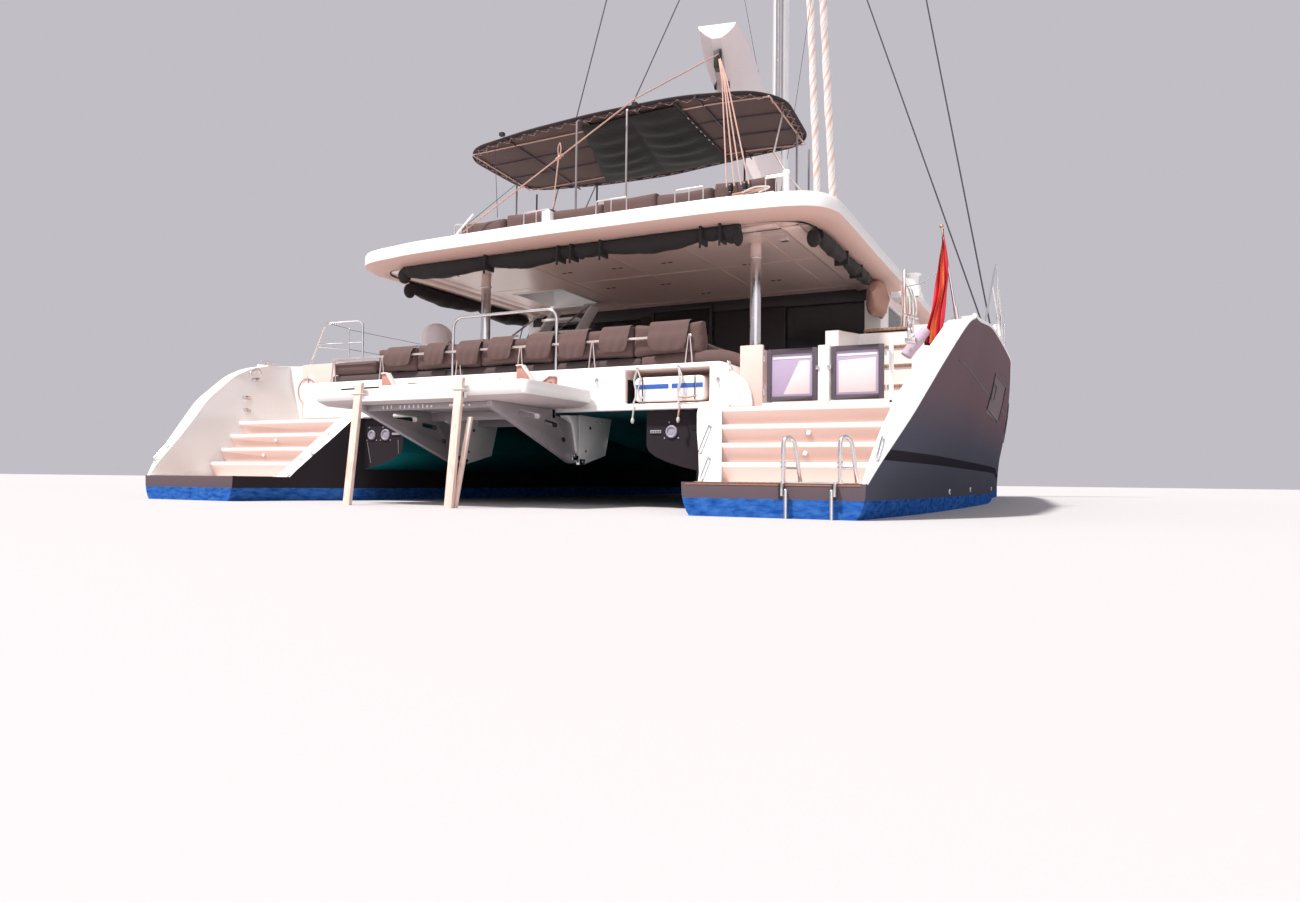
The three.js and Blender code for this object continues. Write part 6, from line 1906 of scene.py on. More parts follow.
def add_flybridge_cushions():
    for index in range(3):
        x0 = -2.50 + index * 1.67
        seat = Form().box((x0 + 0.01, -6.28, CUSHION_FOOT_Z), (x0 + 1.65, -5.83, 3.84))
        soft(f"aft_seat_{index}", seat, "cushion_dark", voxel=0.06)
    for side, sign in SIDES:
        for index, (y0, y1) in enumerate(((-6.15, -4.80), (-4.76, -3.35))):
            x0, x1 = sorted((sign * 2.53, sign * 2.735))
            soft(f"side_back_{side}_{index}", Form().box((x0, y0, CUSHION_FOOT_Z), (x1, y1, 3.97)), "cushion",
                 fill=0.75, voxel=0.06, cap=0.025)
            inner = 2.07 if sign > 0 or index == 0 else 2.43
            x0, x1 = sorted((sign * inner, sign * 2.51))
            soft(f"side_seat_{side}_{index}",
                 Form().box((x0, max(y0, -5.80), CUSHION_FOOT_Z), (x1, y1, 3.84)), "cushion_dark", voxel=0.06)


def add_coaming_rails():
    rails = Form()
    for x0, x1, z in ((-0.81, -0.40, 4.01), (0.35, 0.81, 4.015), (1.51, 1.90, 4.00), (2.72, 2.98, 4.0)):
        hoop = rounded([(x0, COAMING_HOOP_Y, FLY_FLOOR), (x0, COAMING_HOOP_Y, z), (x1, COAMING_HOOP_Y, z),
                        (x1, COAMING_HOOP_Y, FLY_FLOOR)], 0.02, 3)
        rails.tube(hoop, 0.0105, 8, 0)
        rails.tube([((x0 + x1) / 2, COAMING_HOOP_Y, FLY_FLOOR), ((x0 + x1) / 2, COAMING_HOOP_Y, z)], 0.008, 8,
                   0)
    rails.tube(rounded([(-2.0, COAMING_RAIL_Y, 3.82), (-2.02, COAMING_RAIL_Y, 3.99),
                        (-1.78, COAMING_RAIL_Y, 3.96), (-1.78, COAMING_RAIL_Y, FLY_FLOOR)], 0.05, 4), 0.010,
               8, 0)
    rails.tube([(-2.02, -6.64, 3.78), (-1.66, -6.64, 4.09)], 0.014, 8, 1)
    rails.box((-0.46, -6.68, 3.82), (-0.33, -6.59, 3.965), 1)
    rails.tube([(-0.395, -6.635, FLY_FLOOR), (-0.395, -6.635, 3.83)], 0.022, 10, 0)
    rails.disc((-0.395, -6.635, 3.965), (0, 0, 1), 0.035, 0.02, 1)
    rails.tube([(CORNER_POST_X, COAMING_RAIL_Y, FLY_FLOOR), (CORNER_POST_X, COAMING_RAIL_Y, 4.01)], 0.034, 14,
               1)
    rails.ball((CORNER_POST_X, COAMING_RAIL_Y, 4.01), (0.045, 0.045, 0.035), 1, 6, 12)
    for dy, dz in ((0.0, 0.0), (0.10, -0.16)):
        rails.tube([(CORNER_POST_X, COAMING_RAIL_Y + dy, 3.99 + dz), (3.25, -6.36 + dy, FLY_FLOOR + 0.01)],
                   0.012, 8, 0)
    rails.tube([(CORNER_POST_X, COAMING_RAIL_Y, 4.0), (2.72, -6.30, 4.40), (2.56, -5.45, 5.30)], 0.012, 8, 0)
    rails.tube([(2.72, COAMING_RAIL_Y, 3.97), (3.0, COAMING_RAIL_Y, 3.97)], 0.012, 8, 0)
    for x in (-2.35, -2.15, 2.40, 2.62):
        rails.tube([(x, -6.72, FLY_FLOOR), (x, -6.72, FLY_FLOOR + 0.05)], 0.016, 8, 0)
        rails.tube([(x - 0.07, -6.72, FLY_FLOOR + 0.052), (x + 0.07, -6.72, FLY_FLOOR + 0.052)], 0.012, 8, 0)
    piece("coaming_rails", rails, ["warm_steel", "plastic"], slot="steel", bevel=0.0015)


def add_coaming_lines():
    tail = Form()
    tail.tube(spline([(2.30, -6.63, 3.83), (2.75, -6.64, 3.85), (2.45, -6.66, 3.80), (2.05, -6.66, 3.79),
                      (1.55, -6.67, 3.765), (1.30, -6.66, 3.70)], 8), 0.011, 8, 0)
    tail.tube(spline([(2.45, -6.68, 3.82), (2.62, -6.69, 3.86), (2.80, -6.68, 3.84), (2.66, -6.69, 3.79)], 6),
              0.010, 8, 1)
    tail.box((1.25, -6.68, FLY_FLOOR - 0.002), (2.85, COAMING_HOOP_Y, 3.785), 2)
    piece("coaming_lines", tail, ["rope_warm", "rope_white", "gelcoat"], slot="canvas")


def add_helm_pod():
    helm = Form()
    profile = [(-0.40, FLY_FLOOR - 0.01), (-1.15, FLY_FLOOR - 0.01), (-1.15, 4.30), (-1.0, 4.52),
               (-0.50, 4.65), (-0.40, 4.50)]
    helm.prism(profile, "X", 0.50, 1.70, 0)
    piece("helm_pod", helm, ["gelcoat"], slot="gelcoat", replaces=["helm_console"], bevel=0.04, segments=3)
    panel = Form()
    run = Vector((0, 0.5, 0.13)).normalized()
    low, high = (Vector((0, -1.0, 4.522)) + run * reach for reach in (0.04, 0.40))
    for x0, x1 in ((0.60, 1.05), (1.12, 1.60)):
        panel.prism([(low.y, low.z), (high.y, high.z), (high.y, high.z + 0.012), (low.y, low.z + 0.012)], "X",
                    x0, x1, 0)
    panel.disc((1.10, -1.15, 4.33), (0, -1, 0), 0.05, 0.10, 1)
    for k in range(4):
        panel.disc((0.62 + k * 0.09, -1.155, 4.18), (0, -1, 0), 0.022, 0.015, 2)
    for x in (1.50, 1.56):
        panel.tube([(x, -1.16, 4.15), (x, -1.26, 4.26)], 0.014, 8, 1)
    piece("helm_instruments", panel, ["glass", "steel", "black"], slot="glass", bevel=0.003)


def add_helm_wheel():
    wheel = Form()
    centre = Vector((1.10, -1.26, 4.33))
    wheel.ring(centre, (0, 1, 0), 0.33, 0.0158, 0, 40, 10)
    for k in range(5):
        a = 2 * math.pi * k / 5 + 0.3
        wheel.tube([centre, centre + Vector((math.cos(a) * 0.325, 0, math.sin(a) * 0.325))], 0.009, 8, 1)
    wheel.disc(centre + Vector((0, 0.02, 0)), (0, -1, 0), 0.045, 0.045, 1)
    piece("helm_wheel_rim", wheel, ["black", "steel"], body="helm_wheel", slot="steel",
          replaces=["helm_wheel"])


# Bimini: frame, canopy, its lacing and the slack panel under it
CANOPY = [(-2.62, -5.50), (-2.30, -5.85), (-1.2, -6.02), (0, -6.08), (1.2, -6.02), (2.30, -5.85),
          (2.62, -5.50), (2.56, -4.30),
          (2.30, -4.00), (1.2, -3.78), (0, -3.68), (-1.2, -3.78), (-2.30, -4.00), (-2.56, -4.30)]
CANOPY_HEIGHTS = [(-2.62, 5.415), (-1.30, 5.430), (0, 5.450), (1.30, 5.475), (2.62, 5.415)]


def canopy_z(x, y):
    return monotone(CANOPY_HEIGHTS, 1, x) + lerp(0.04, -0.09, (y + 6.2) / 2.6)


def canopy_loop(inset=0.0):
    loop = rounded([(x, y, 0) for x, y in CANOPY], 0.30, 4, closed=True)
    return inset_loop(loop, inset) if inset else loop


FRAME_HALF = 2.45
FRAME_FOOT_Z = 3.85


def add_bimini():
    loop = canopy_loop()
    middle = Vector((0, -4.9, 0))
    rings = 12
    rows = []
    for layer, drop in ((0, 0.0), (1, 0.010)):
        order = range(1, rings + 1) if layer == 0 else range(rings, 0, -1)
        for r in order:
            row = []
            for k, p in enumerate(loop):
                place = middle.lerp(p, r / rings)
                sag = 0.016 * abs(math.sin(math.pi * (place.x + FRAME_HALF) / 0.82)) * (1 - (r / rings) ** 6)
                flutter = 0.006 * math.sin(k * 0.9) * (r / rings) ** 8
                row.append((place.x, place.y, canopy_z(place.x, place.y) - 0.004 - sag - drop + flutter))
            rows.append(row)
    form = Form().grid(rows, 0, closed=True, caps=True)
    canopy = object_of(form, "canopy_cloth", [MAT["canvas"]])
    dress(canopy, slot="canvas", replaces=["bimini_canopy"], sharp=50)

    hem = Form()
    line = [Vector((p.x, p.y, canopy_z(p.x, p.y) - 0.012)) for p in canopy_loop(0.012)]
    hem.tube([*line, line[0]], 0.019, 8, 0)
    for x in (-1.62, 0.62):
        y = -6.05
        hem.box((x - 0.035, y - 0.03, canopy_z(x, y) - 0.03), (x + 0.035, y + 0.03, canopy_z(x, y) + 0.02), 0)
    piece("canopy_hem", hem, ["hem"], slot="canvas")

    tubes = Form()

    def under(x, y, gap=0.036):
        return Vector((x, y, canopy_z(x, y) - gap))

    inner = [under(p.x, p.y, 0.034) for p in canopy_loop(0.055)]
    tubes.tube([*inner, inner[0]], 0.011, 8, 2)
    for y in (-5.70, -4.10):
        tubes.tube([under(lerp(-FRAME_HALF, FRAME_HALF, k / 16), y) for k in range(17)], 0.011, 8, 3)
    for y in (-5.20, -4.65):
        tubes.tube([under(lerp(-2.50, 2.50, k / 16), y) for k in range(17)], 0.010, 8, 2)
    for x, tint in ((-FRAME_HALF, 3), (-1.62, 2), (-0.24, 3), (0.58, 3), (1.50, 2), (FRAME_HALF, 3)):
        y0, y1 = (-6.0, -3.80) if abs(x) < 2 else (-5.68, -4.12)
        tubes.tube([under(x, lerp(y0, y1, k / 8)) for k in range(9)], 0.012, 8, tint)
    for x, y, foot in ((-FRAME_HALF, -4.50, FRAME_FOOT_Z), (-FRAME_HALF, -3.90, FRAME_FOOT_Z),
                       (FRAME_HALF, -4.50, FRAME_FOOT_Z), (FRAME_HALF, -3.90, FRAME_FOOT_Z),
                       (-0.28, -6.10, 3.72), (0.50, -6.05, 3.72), (1.50, -4.10, FLY_FLOOR),
                       (-1.20, -3.95, FLY_FLOOR)):
        dark = y > -4.2 and x < 2
        top = under(x, max(-6.03, y))
        tubes.tube([(x, y, foot - 0.002), (x, y, top.z - 0.05), top], 0.0155, 10, 2 if dark else 4)
        tubes.disc((x, y, foot - 0.002), (0, 0, 1), 0.036, 0.010, 0)
    tubes.tube([(-1.45, -3.98, FLY_FLOOR), (-1.05, -3.95, 4.55)], 0.012, 8, 2)
    for x, y, foot in ((-FRAME_HALF, -4.50, (-1.78, -6.60, 3.98)), (-1.9, -5.85, (-1.30, -6.55, 4.02))):
        tubes.tube([under(x, y, 0.06), foot], 0.004, 6, 2)
    piece("bimini_tubes", tubes, ["warm_steel", "rope_white", "wire", "copper_tube", "post_grey"],
          slot="steel", replaces=["bimini_frame"])

    lacing = Form()
    edge = canopy_loop(0.030)
    ring = canopy_loop(0.115)
    total = [0.0]
    for a, b in zip(edge, edge[1:] + edge[:1]):
        total.append(total[-1] + (b - a).length)

    def along(loop_points, distance):
        distance %= total[-1]
        i = max(k for k in range(len(edge)) if total[k] <= distance)
        span = total[i + 1] - total[i]
        return loop_points[i].lerp(loop_points[(i + 1) % len(edge)], (distance - total[i]) / span)

    count = 2 * int(total[-1] / 0.25)
    zigzag = []
    for k in range(count + 1):
        place = along(edge if k % 2 else ring, total[-1] * k / count)
        zigzag.append(Vector((place.x, place.y, canopy_z(place.x, place.y) - (0.030 if k % 2 else 0.046))))
    lacing.tube(zigzag, 0.0050, 6, 0)
    piece("canopy_lacing", lacing, ["rope_warm"], slot="canvas")

    panel_rows = []
    x1, y0, y1 = 1.15, -5.88, -3.92
    for layer in (0, 1):
        order = range(41) if layer == 0 else range(40, -1, -1)
        for i in order:
            row = []
            for k in range(37):
                v = k / 36
                x = lerp(lerp(-0.34, -1.02, v), x1, i / 40)
                y = lerp(y0, y1, v)
                bay = (i / 20) % 1 if i < 40 else 1
                belly = math.sin(math.pi * v) ** 0.6 * math.sin(math.pi * bay) ** 0.7
                fold = 0.019 * math.sin(34 * v + 1.1 * math.sin(5 * i / 40)) * belly
                z = canopy_z(x, y) - 0.062 - 0.085 * belly - fold - (0.007 if layer else 0)
                row.append((x, y, z))
            panel_rows.append(row)
    panel = object_of(Form().grid([*panel_rows, panel_rows[0]], 0), "slack_panel", [MAT["slack"]])
    fill_holes(panel)
    dress(panel, slot="canvas", sharp=60)

    straps = Form()
    for x in (-0.24, 0.58, 1.17):
        rows = []
        for k in range(25):
            y = lerp(-5.95, -3.84, k / 24)
            z = canopy_z(x, y) - 0.056
            rows.append([(x - 0.026, y, z), (x + 0.026, y, z), (x + 0.026, y, z - 0.004),
                         (x - 0.026, y, z - 0.004)])
        straps.grid(rows, 0, closed=True, caps=True)
        for k in range(7):
            y = lerp(-5.5, -4.6, k / 6)
            straps.box((x - 0.006, y, canopy_z(x, y) - 0.064), (x + 0.006, y + 0.055, canopy_z(x, y) - 0.059),
                       1)
    piece("canopy_straps", straps, ["webbing", "rope_white"], slot="canvas")


# Spars, boom, sails and standing rigging
MAST_Y = 2.11
BOOM_PIVOT = Vector((0, 1.63, 0))
BOOM_TURN = 11.5
BOOM_SECTIONS = [
    (0.0, 0.190, 6.330, 6.880), (0.7, 0.290, 6.200, 7.050), (3.2, 0.370, 6.180, 7.120),
    (5.5, 0.370, 6.260, 7.120), (6.05, 0.345, 6.340, 7.100), (6.5, 0.285, 6.850, 7.060),
]


def mast_scale(z):
    return 1.0 if z <= 24 else lerp(1.0, 0.7, (z - 24) / 5.6)


MAST_FOOT_Z, MAST_TOP_Z = 3.641, 29.598


def add_mast_section():
    form = Form()
    rows = []
    count = 32
    for z in (MAST_FOOT_Z, 4, 6, 8, 10, 12, 14, 16, 18, 20, 22, 24, 26, 28, MAST_TOP_Z):
        k = mast_scale(z)
        rows.append([
            (0.152 * k * signed_power(math.cos(a), 0.8), MAST_Y + 0.235 * k * signed_power(math.sin(a), 0.8),
             z)
            for a in (2 * math.pi * (n + 0.5) / count - math.pi / 2 for n in range(count))
        ])
    tints = [1 if n in (0, 1, 2, count - 1, count - 2) else 0 for n in range(count)]
    form.grid(rows, tints, closed=True, caps=True)
    form.box((-0.022, MAST_Y - 0.252, 6.9), (0.022, MAST_Y - 0.225, 23.9), 2)
    form.box((-0.21, MAST_Y - 0.30, 3.652), (0.21, MAST_Y + 0.30, 3.70), 0)
    for z, span, sweep in ((11.8, 0.90, 0.26), (19.5, 0.76, 0.22)):
        for sign in (1, -1):
            form.tube([(sign * 0.11, MAST_Y, z), (sign * span, MAST_Y - sweep, z + 0.03)], [0.034, 0.026], 12,
                      0)
            form.disc((sign * span, MAST_Y - sweep, z + 0.005), (0, 0, 1), 0.030, 0.05, 2)
    for x in (-0.165, 0.165):
        form.disc((x * 0.92, MAST_Y, 4.9), (math.copysign(1, x), 0, 0), 0.075, 0.11, 2)
    form.box((-0.03, MAST_Y - 0.03, 29.4), (0.03, MAST_Y + 0.03, 29.6), 2)
    piece("mast_section", form, ["alloy", "spar_grey", "steel"], slot="alloy", replaces=["mast"], bevel=0.003)


def add_halyards():
    lines = Form()
    for x, y, top, r, tint in ((-0.07, MAST_Y - 0.262, 23.5, 0.006, 0),
                               (0.075, MAST_Y - 0.262, 23.5, 0.007, 1),
                               (0.135, MAST_Y - 0.18, 22.5, 0.006, 0),
                               (-0.14, MAST_Y - 0.16, 22.5, 0.006, 0)):
        lines.tube([(x, y, 3.75), (x, y, 12), (x * 0.9, y, top)], r, 6, tint)
    for sign in (1, -1):
        for low, mid, high, span, sweep in ((7.5, 11.83, 16.1, 0.90, 0.26), (15.2, 19.53, 23.6, 0.76, 0.22)):
            wire = [(sign * 0.14, MAST_Y + 0.02, low), (sign * span, MAST_Y - sweep, mid),
                    (sign * 0.13, MAST_Y + 0.02, high)]
            lines.tube(wire, 0.0055, 6, 2)
    piece("halyards", lines, ["rope_white", "rope_warm", "wire"], slot="steel")


def boom_row(back):
    half, bottom, top = (monotone(BOOM_SECTIONS, c, back) for c in (1, 2, 3))
    deep = (top - bottom) / 0.86
    side = [(half, top), (half * 0.98, top - 0.10 * deep), (half * 0.90, top - 0.26 * deep),
            (half * 0.62, lerp(top - 0.26 * deep, bottom, 0.52)), (half * 0.25, bottom)]
    return [(x, 1.57 - back, z) for x, z in side] + [(-x, 1.57 - back, z) for x, z in reversed(side)]


BOOM_FORE_Y = 1.57
COAMING_BLOCK_Y = -6.61


def add_boom():
    form = Form().grid([boom_row(6.5 * k / 26) for k in range(27)], 0, closed=True, caps=True)
    form.tints[-1] = 1
    form.tube([(0, 1.60, 6.60), (0, 1.44, 6.60)], 0.06, 16, 2)
    for back in (0.9, 2.2, 3.5, 4.8):
        half, top = (monotone(BOOM_SECTIONS, c, back) for c in (1, 3))
        y = BOOM_FORE_Y - back
        strap = [(-half - 0.006, y, top - 0.02), (-half * 0.74, y, top + 0.20), (0, y, top + 0.275),
                 (half * 0.74, y, top + 0.20), (half + 0.006, y, top - 0.02)]
        strap = spline(strap, 5)
        band = ((-0.02, 0), (0.02, 0), (0.02, -0.006), (-0.02, -0.006))
        form.grid([[(q.x, q.y + dy, q.z + dz) for dy, dz in band] for q in strap], 3, closed=True, caps=True)
    form.turned(BOOM_PIVOT, BOOM_TURN)
    # The shell takes the white boom's pinkish painted shade.
    piece("boom_shell", form, ["boom_paint", "lens", "steel", "webbing"], body="boom", slot="alloy",
          replaces=["boom"], bevel=0.010, sharp=30)


def add_sail_folds():
    sail = Form()
    rows = []
    for k in range(49):
        back = lerp(0.7, 5.5, k / 48)
        half, top = (monotone(BOOM_SECTIONS, c, back) for c in (1, 3))
        half *= 0.72
        row = []
        for n in range(25):
            a = math.pi * n / 24
            fold = 1 + 0.075 * math.sin(9 * a + 0.8 * math.sin(back * 1.7)) + 0.02 * math.sin(6.1 * back + n)
            row.append((half * math.cos(a) * (0.92 + 0.08 * fold), BOOM_FORE_Y - back,
                        top + 0.012 + 0.225 * math.sin(a) ** 0.8 * fold))
        rows.append(row)
    sail.grid(rows, 0, closed=True, caps=True)
    sail.turned(BOOM_PIVOT, BOOM_TURN)
    piece("sail_folds", sail, ["sailcloth"], body="boom", slot="sailcloth", replaces=["stowed_mainsail"],
          sharp=60)


def add_boom_blocks():
    gear = Form()
    for x in (-0.10, 0.10):
        gear.disc((x, -4.55, 6.31), (1, 0, 0), 0.055, 0.03, 0)
        gear.tube([(x + 0.015, -4.55, 6.30), (x + 0.015, -4.55, 6.44)], 0.010, 8, 1)
    gear.disc((0.02, -4.86, 6.66), (1, 0, 0), 0.060, 0.04, 0)
    gear.box((-0.04, -4.94, 6.42), (0.05, -4.76, 6.68), 0)
    gear.turned(BOOM_PIVOT, BOOM_TURN)
    piece("boom_blocks", gear, ["black", "steel"], body="boom", slot="steel", bevel=0.004)
    low = Form()
    for x, z in ((2.27, 3.93), (2.46, 3.93)):
        low.disc((x - 0.02, COAMING_BLOCK_Y, z), (1, 0, 0), 0.052, 0.04, 0)
        low.disc((x - 0.02, COAMING_BLOCK_Y, z - 0.075), (1, 0, 0), 0.034, 0.04, 0)
        low.tube([(x, COAMING_BLOCK_Y, FLY_FLOOR + 0.1), (x, COAMING_BLOCK_Y, z - 0.09)], 0.012, 8, 1)
        low.disc((x, COAMING_BLOCK_Y, 3.775), (0, 0, 1), 0.034, 0.02, 1)
    piece("coaming_blocks", low, ["black", "steel"], slot="steel", bevel=0.004)


def add_mainsheet():
    tip = turning(BOOM_PIVOT, BOOM_TURN) @ Vector((0.04, -4.92, 6.62))
    sheet = Form()
    for x, dx in ((2.27, -0.05), (2.27, 0.05), (2.46, -0.05), (2.46, 0.05)):
        edge = Vector((1.955 + (x - 2.27) * 0.22 + dx * 0.25, -6.115, 5.535))
        foot, top = Vector((x + dx, COAMING_BLOCK_Y, 3.94)), tip + Vector((-0.01 + dx * 0.2, 0.03, -0.06))
        sheet.tube([foot.lerp(edge, k / 12) for k in range(12)] + [edge.lerp(top, k / 12) for k in range(13)],
                   0.0095, 8, 0)
    rope_sheet = object_of(sheet, "mainsheet_parts", [MAT["rope_warm"]])
    dress(rope_sheet, body=None, slot="canvas")
    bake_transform(rope_sheet)
    foot = Vector((-1.86, -6.62, 3.86))
    edge = Vector((0.66, -6.125, 5.535))
    knot = foot.lerp(edge, 0.57)
    guy = Form()
    guy.tube([foot.lerp(edge, k / 24) for k in range(24)] + [edge.lerp(tip, k / 12) for k in range(13)],
             0.010, 8, 0)
    for t, r in ((0.56, 0.024), (0.575, 0.030), (0.59, 0.024)):
        q = foot.lerp(edge, t)
        guy.ball(q, (r, r, r), 0, 6, 8)
    bight, tail = ([knot + Vector(move) for move in moves] for moves in (
        ((0, 0, 0), (0.0, -0.02, 0.12), (0.03, -0.02, 0.20), (0.05, -0.02, 0.10), (0, 0, 0)),
        ((0, 0, 0), (-0.02, -0.05, -0.45), (-0.03, -0.10, -0.75)),
    ))
    guy.tube(spline(bight, 5), 0.008, 6, 0)
    guy.tube(spline([*tail, Vector((-0.62, -6.66, FLY_FLOOR + 0.02))], 8), 0.009, 8, 0)
    preventer = object_of(guy, "preventer_line", [MAT["rope_warm"]])
    dress(preventer, body=None, slot="canvas")
    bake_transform(preventer)


def furled_roll(name, foot, head, radius, start, end, node):
    foot, head = Vector(foot), Vector(head)
    form = Form()
    sides, turns = 20, 1.05
    length = (head - foot).length
    along = (head - foot).normalized()
    across = Vector((1, 0, 0))
    third = along.cross(across)
    count = 260
    rows = []
    for i in range(count + 1):
        t = lerp(start, end, i / count)
        lumps = 1 + 0.05 * math.sin(t * 61) + 0.03 * math.sin(t * 143)
        swell = min(1.0, (i + 4) / 10, (count - i + 14) / 60) * lumps
        row = []
        for k in range(sides):
            a = 2 * math.pi * (k / sides + turns * t * length)
            ridge = 0.90 + 0.10 * (k / sides) + 0.03 * math.sin(5 * a)
            reach = (across * math.cos(a) + third * math.sin(a)) * radius * swell * ridge
            row.append(foot + (head - foot) * t + reach)
        rows.append(row)
    tints = [1 if k in (3, 4, 9, 10, 11, 16) else 0 for k in range(sides)]
    form.grid(rows, tints, closed=True, caps=True)
    form.tube([foot, head], 0.009, 8, 2)
    for low, high, wide in ((0.20, 0.24, 1.1), (0.24, 0.62, 0.62), (0.62, 0.66, 1.1)):
        form.tube([foot + along * low, foot + along * high], radius * wide, 20, 3)
    piece(name, form, ["sailcloth", "sail_strip", "wire", "black"], slot="sailcloth", replaces=[node],
          sharp=50)


def add_rigging():
    furled_roll("genoa_roll", (0, 7.80, 2.18), (0, 2.37, 27.20), 0.104, 0.035, 0.90, "genoa_furled")
    furled_roll("staysail_roll", (0, 5.90, 2.31), (0, 2.37, 24.60), 0.094, 0.035, 0.90, "staysail_furled")
    for side, sign in SIDES:
        form = Form()
        foot = Vector((sign * 4.88, -1.41, 2.195))
        for head, shift in ((Vector((sign * 0.164, 2.05, 27.20)), 0.05),
                            (Vector((sign * 0.164, 2.05, 16.20)), -0.05)):
            base = foot + Vector((0, shift, 0.0))
            run = (head - base).normalized()
            form.tube([base + run * 0.45, head], 0.0125, 8, 0)
            form.tube([base + run * 0.06, base + run * 0.50], 0.020, 10, 1)
            for lift in (0.10, 0.44):
                form.tube([base + run * lift, base + run * (lift + 0.05)], 0.028, 10, 1)
            form.box(tuple(base - Vector((0.012, 0.025, 0.06))), tuple(base + Vector((0.012, 0.025, 0.09))),
                     1)
        piece(f"shroud_wires_{side}", form, ["wire", "steel"], slot="steel", replaces=[f"shrouds_{side}"])


def add_foredeck():
    form = Form()
    form.tube([(-3.355, 7.80, 2.05), (3.355, 7.80, 2.05)], 0.130, 24, 0)
    form.box((-0.11, 5.20, 1.90), (0.11, 7.78, 2.088), 0)
    form.box((-0.07, 5.82, 2.08), (0.07, 5.98, 2.298), 0)
    form.tube([(0, 7.80, 2.17), (0, 7.80, 2.21)], 0.05, 12, 1)
    for sign in (1, -1):
        form.tube([(0, 7.90, 1.70), (sign * 3.0, 7.86, 1.98)], 0.014, 8, 1)
    form.box((-0.05, 7.72, 1.66), (0.05, 7.92, 1.95), 1)
    piece("crossbeam_tube", form, ["alloy", "steel"], slot="alloy", replaces=["forward_crossbeam"],
          bevel=0.006)
    for side, sign in SIDES:
        plan = [(0.16, 5.32), (2.60, 5.32), (2.93, 6.20), (3.29, 7.60), (0.16, 7.60)]
        form = Form().prism([(sign * x, y) for x, y in plan], "Z", 2.052, 2.066, 0)
        net = piece(f"trampoline_net_{side}", form, ["netting"], slot="net", replaces=[f"trampoline_{side}"])
        edge = [Vector((sign * x, y, 2.060)) for x, y in plan]
        border = Form().tube(rounded([*edge, edge[0]], 0.03, 3), 0.014, 8, 0)
        piece(f"trampoline_border_{side}", border, ["rope_white"], slot="net")


# Rails along the side decks, deck gear, ensign and lines
STANCHIONS = [
    (-5.60, 5.090, 2.14), (-3.60, 5.080, 2.15), (-1.50, 4.980, 2.19), (0.80, 4.800, 2.26),
    (3.00, 4.620, 2.37), (5.00, 4.420, 2.43), (6.70, 4.230, 2.46), (8.10, 4.050, 2.48),
]


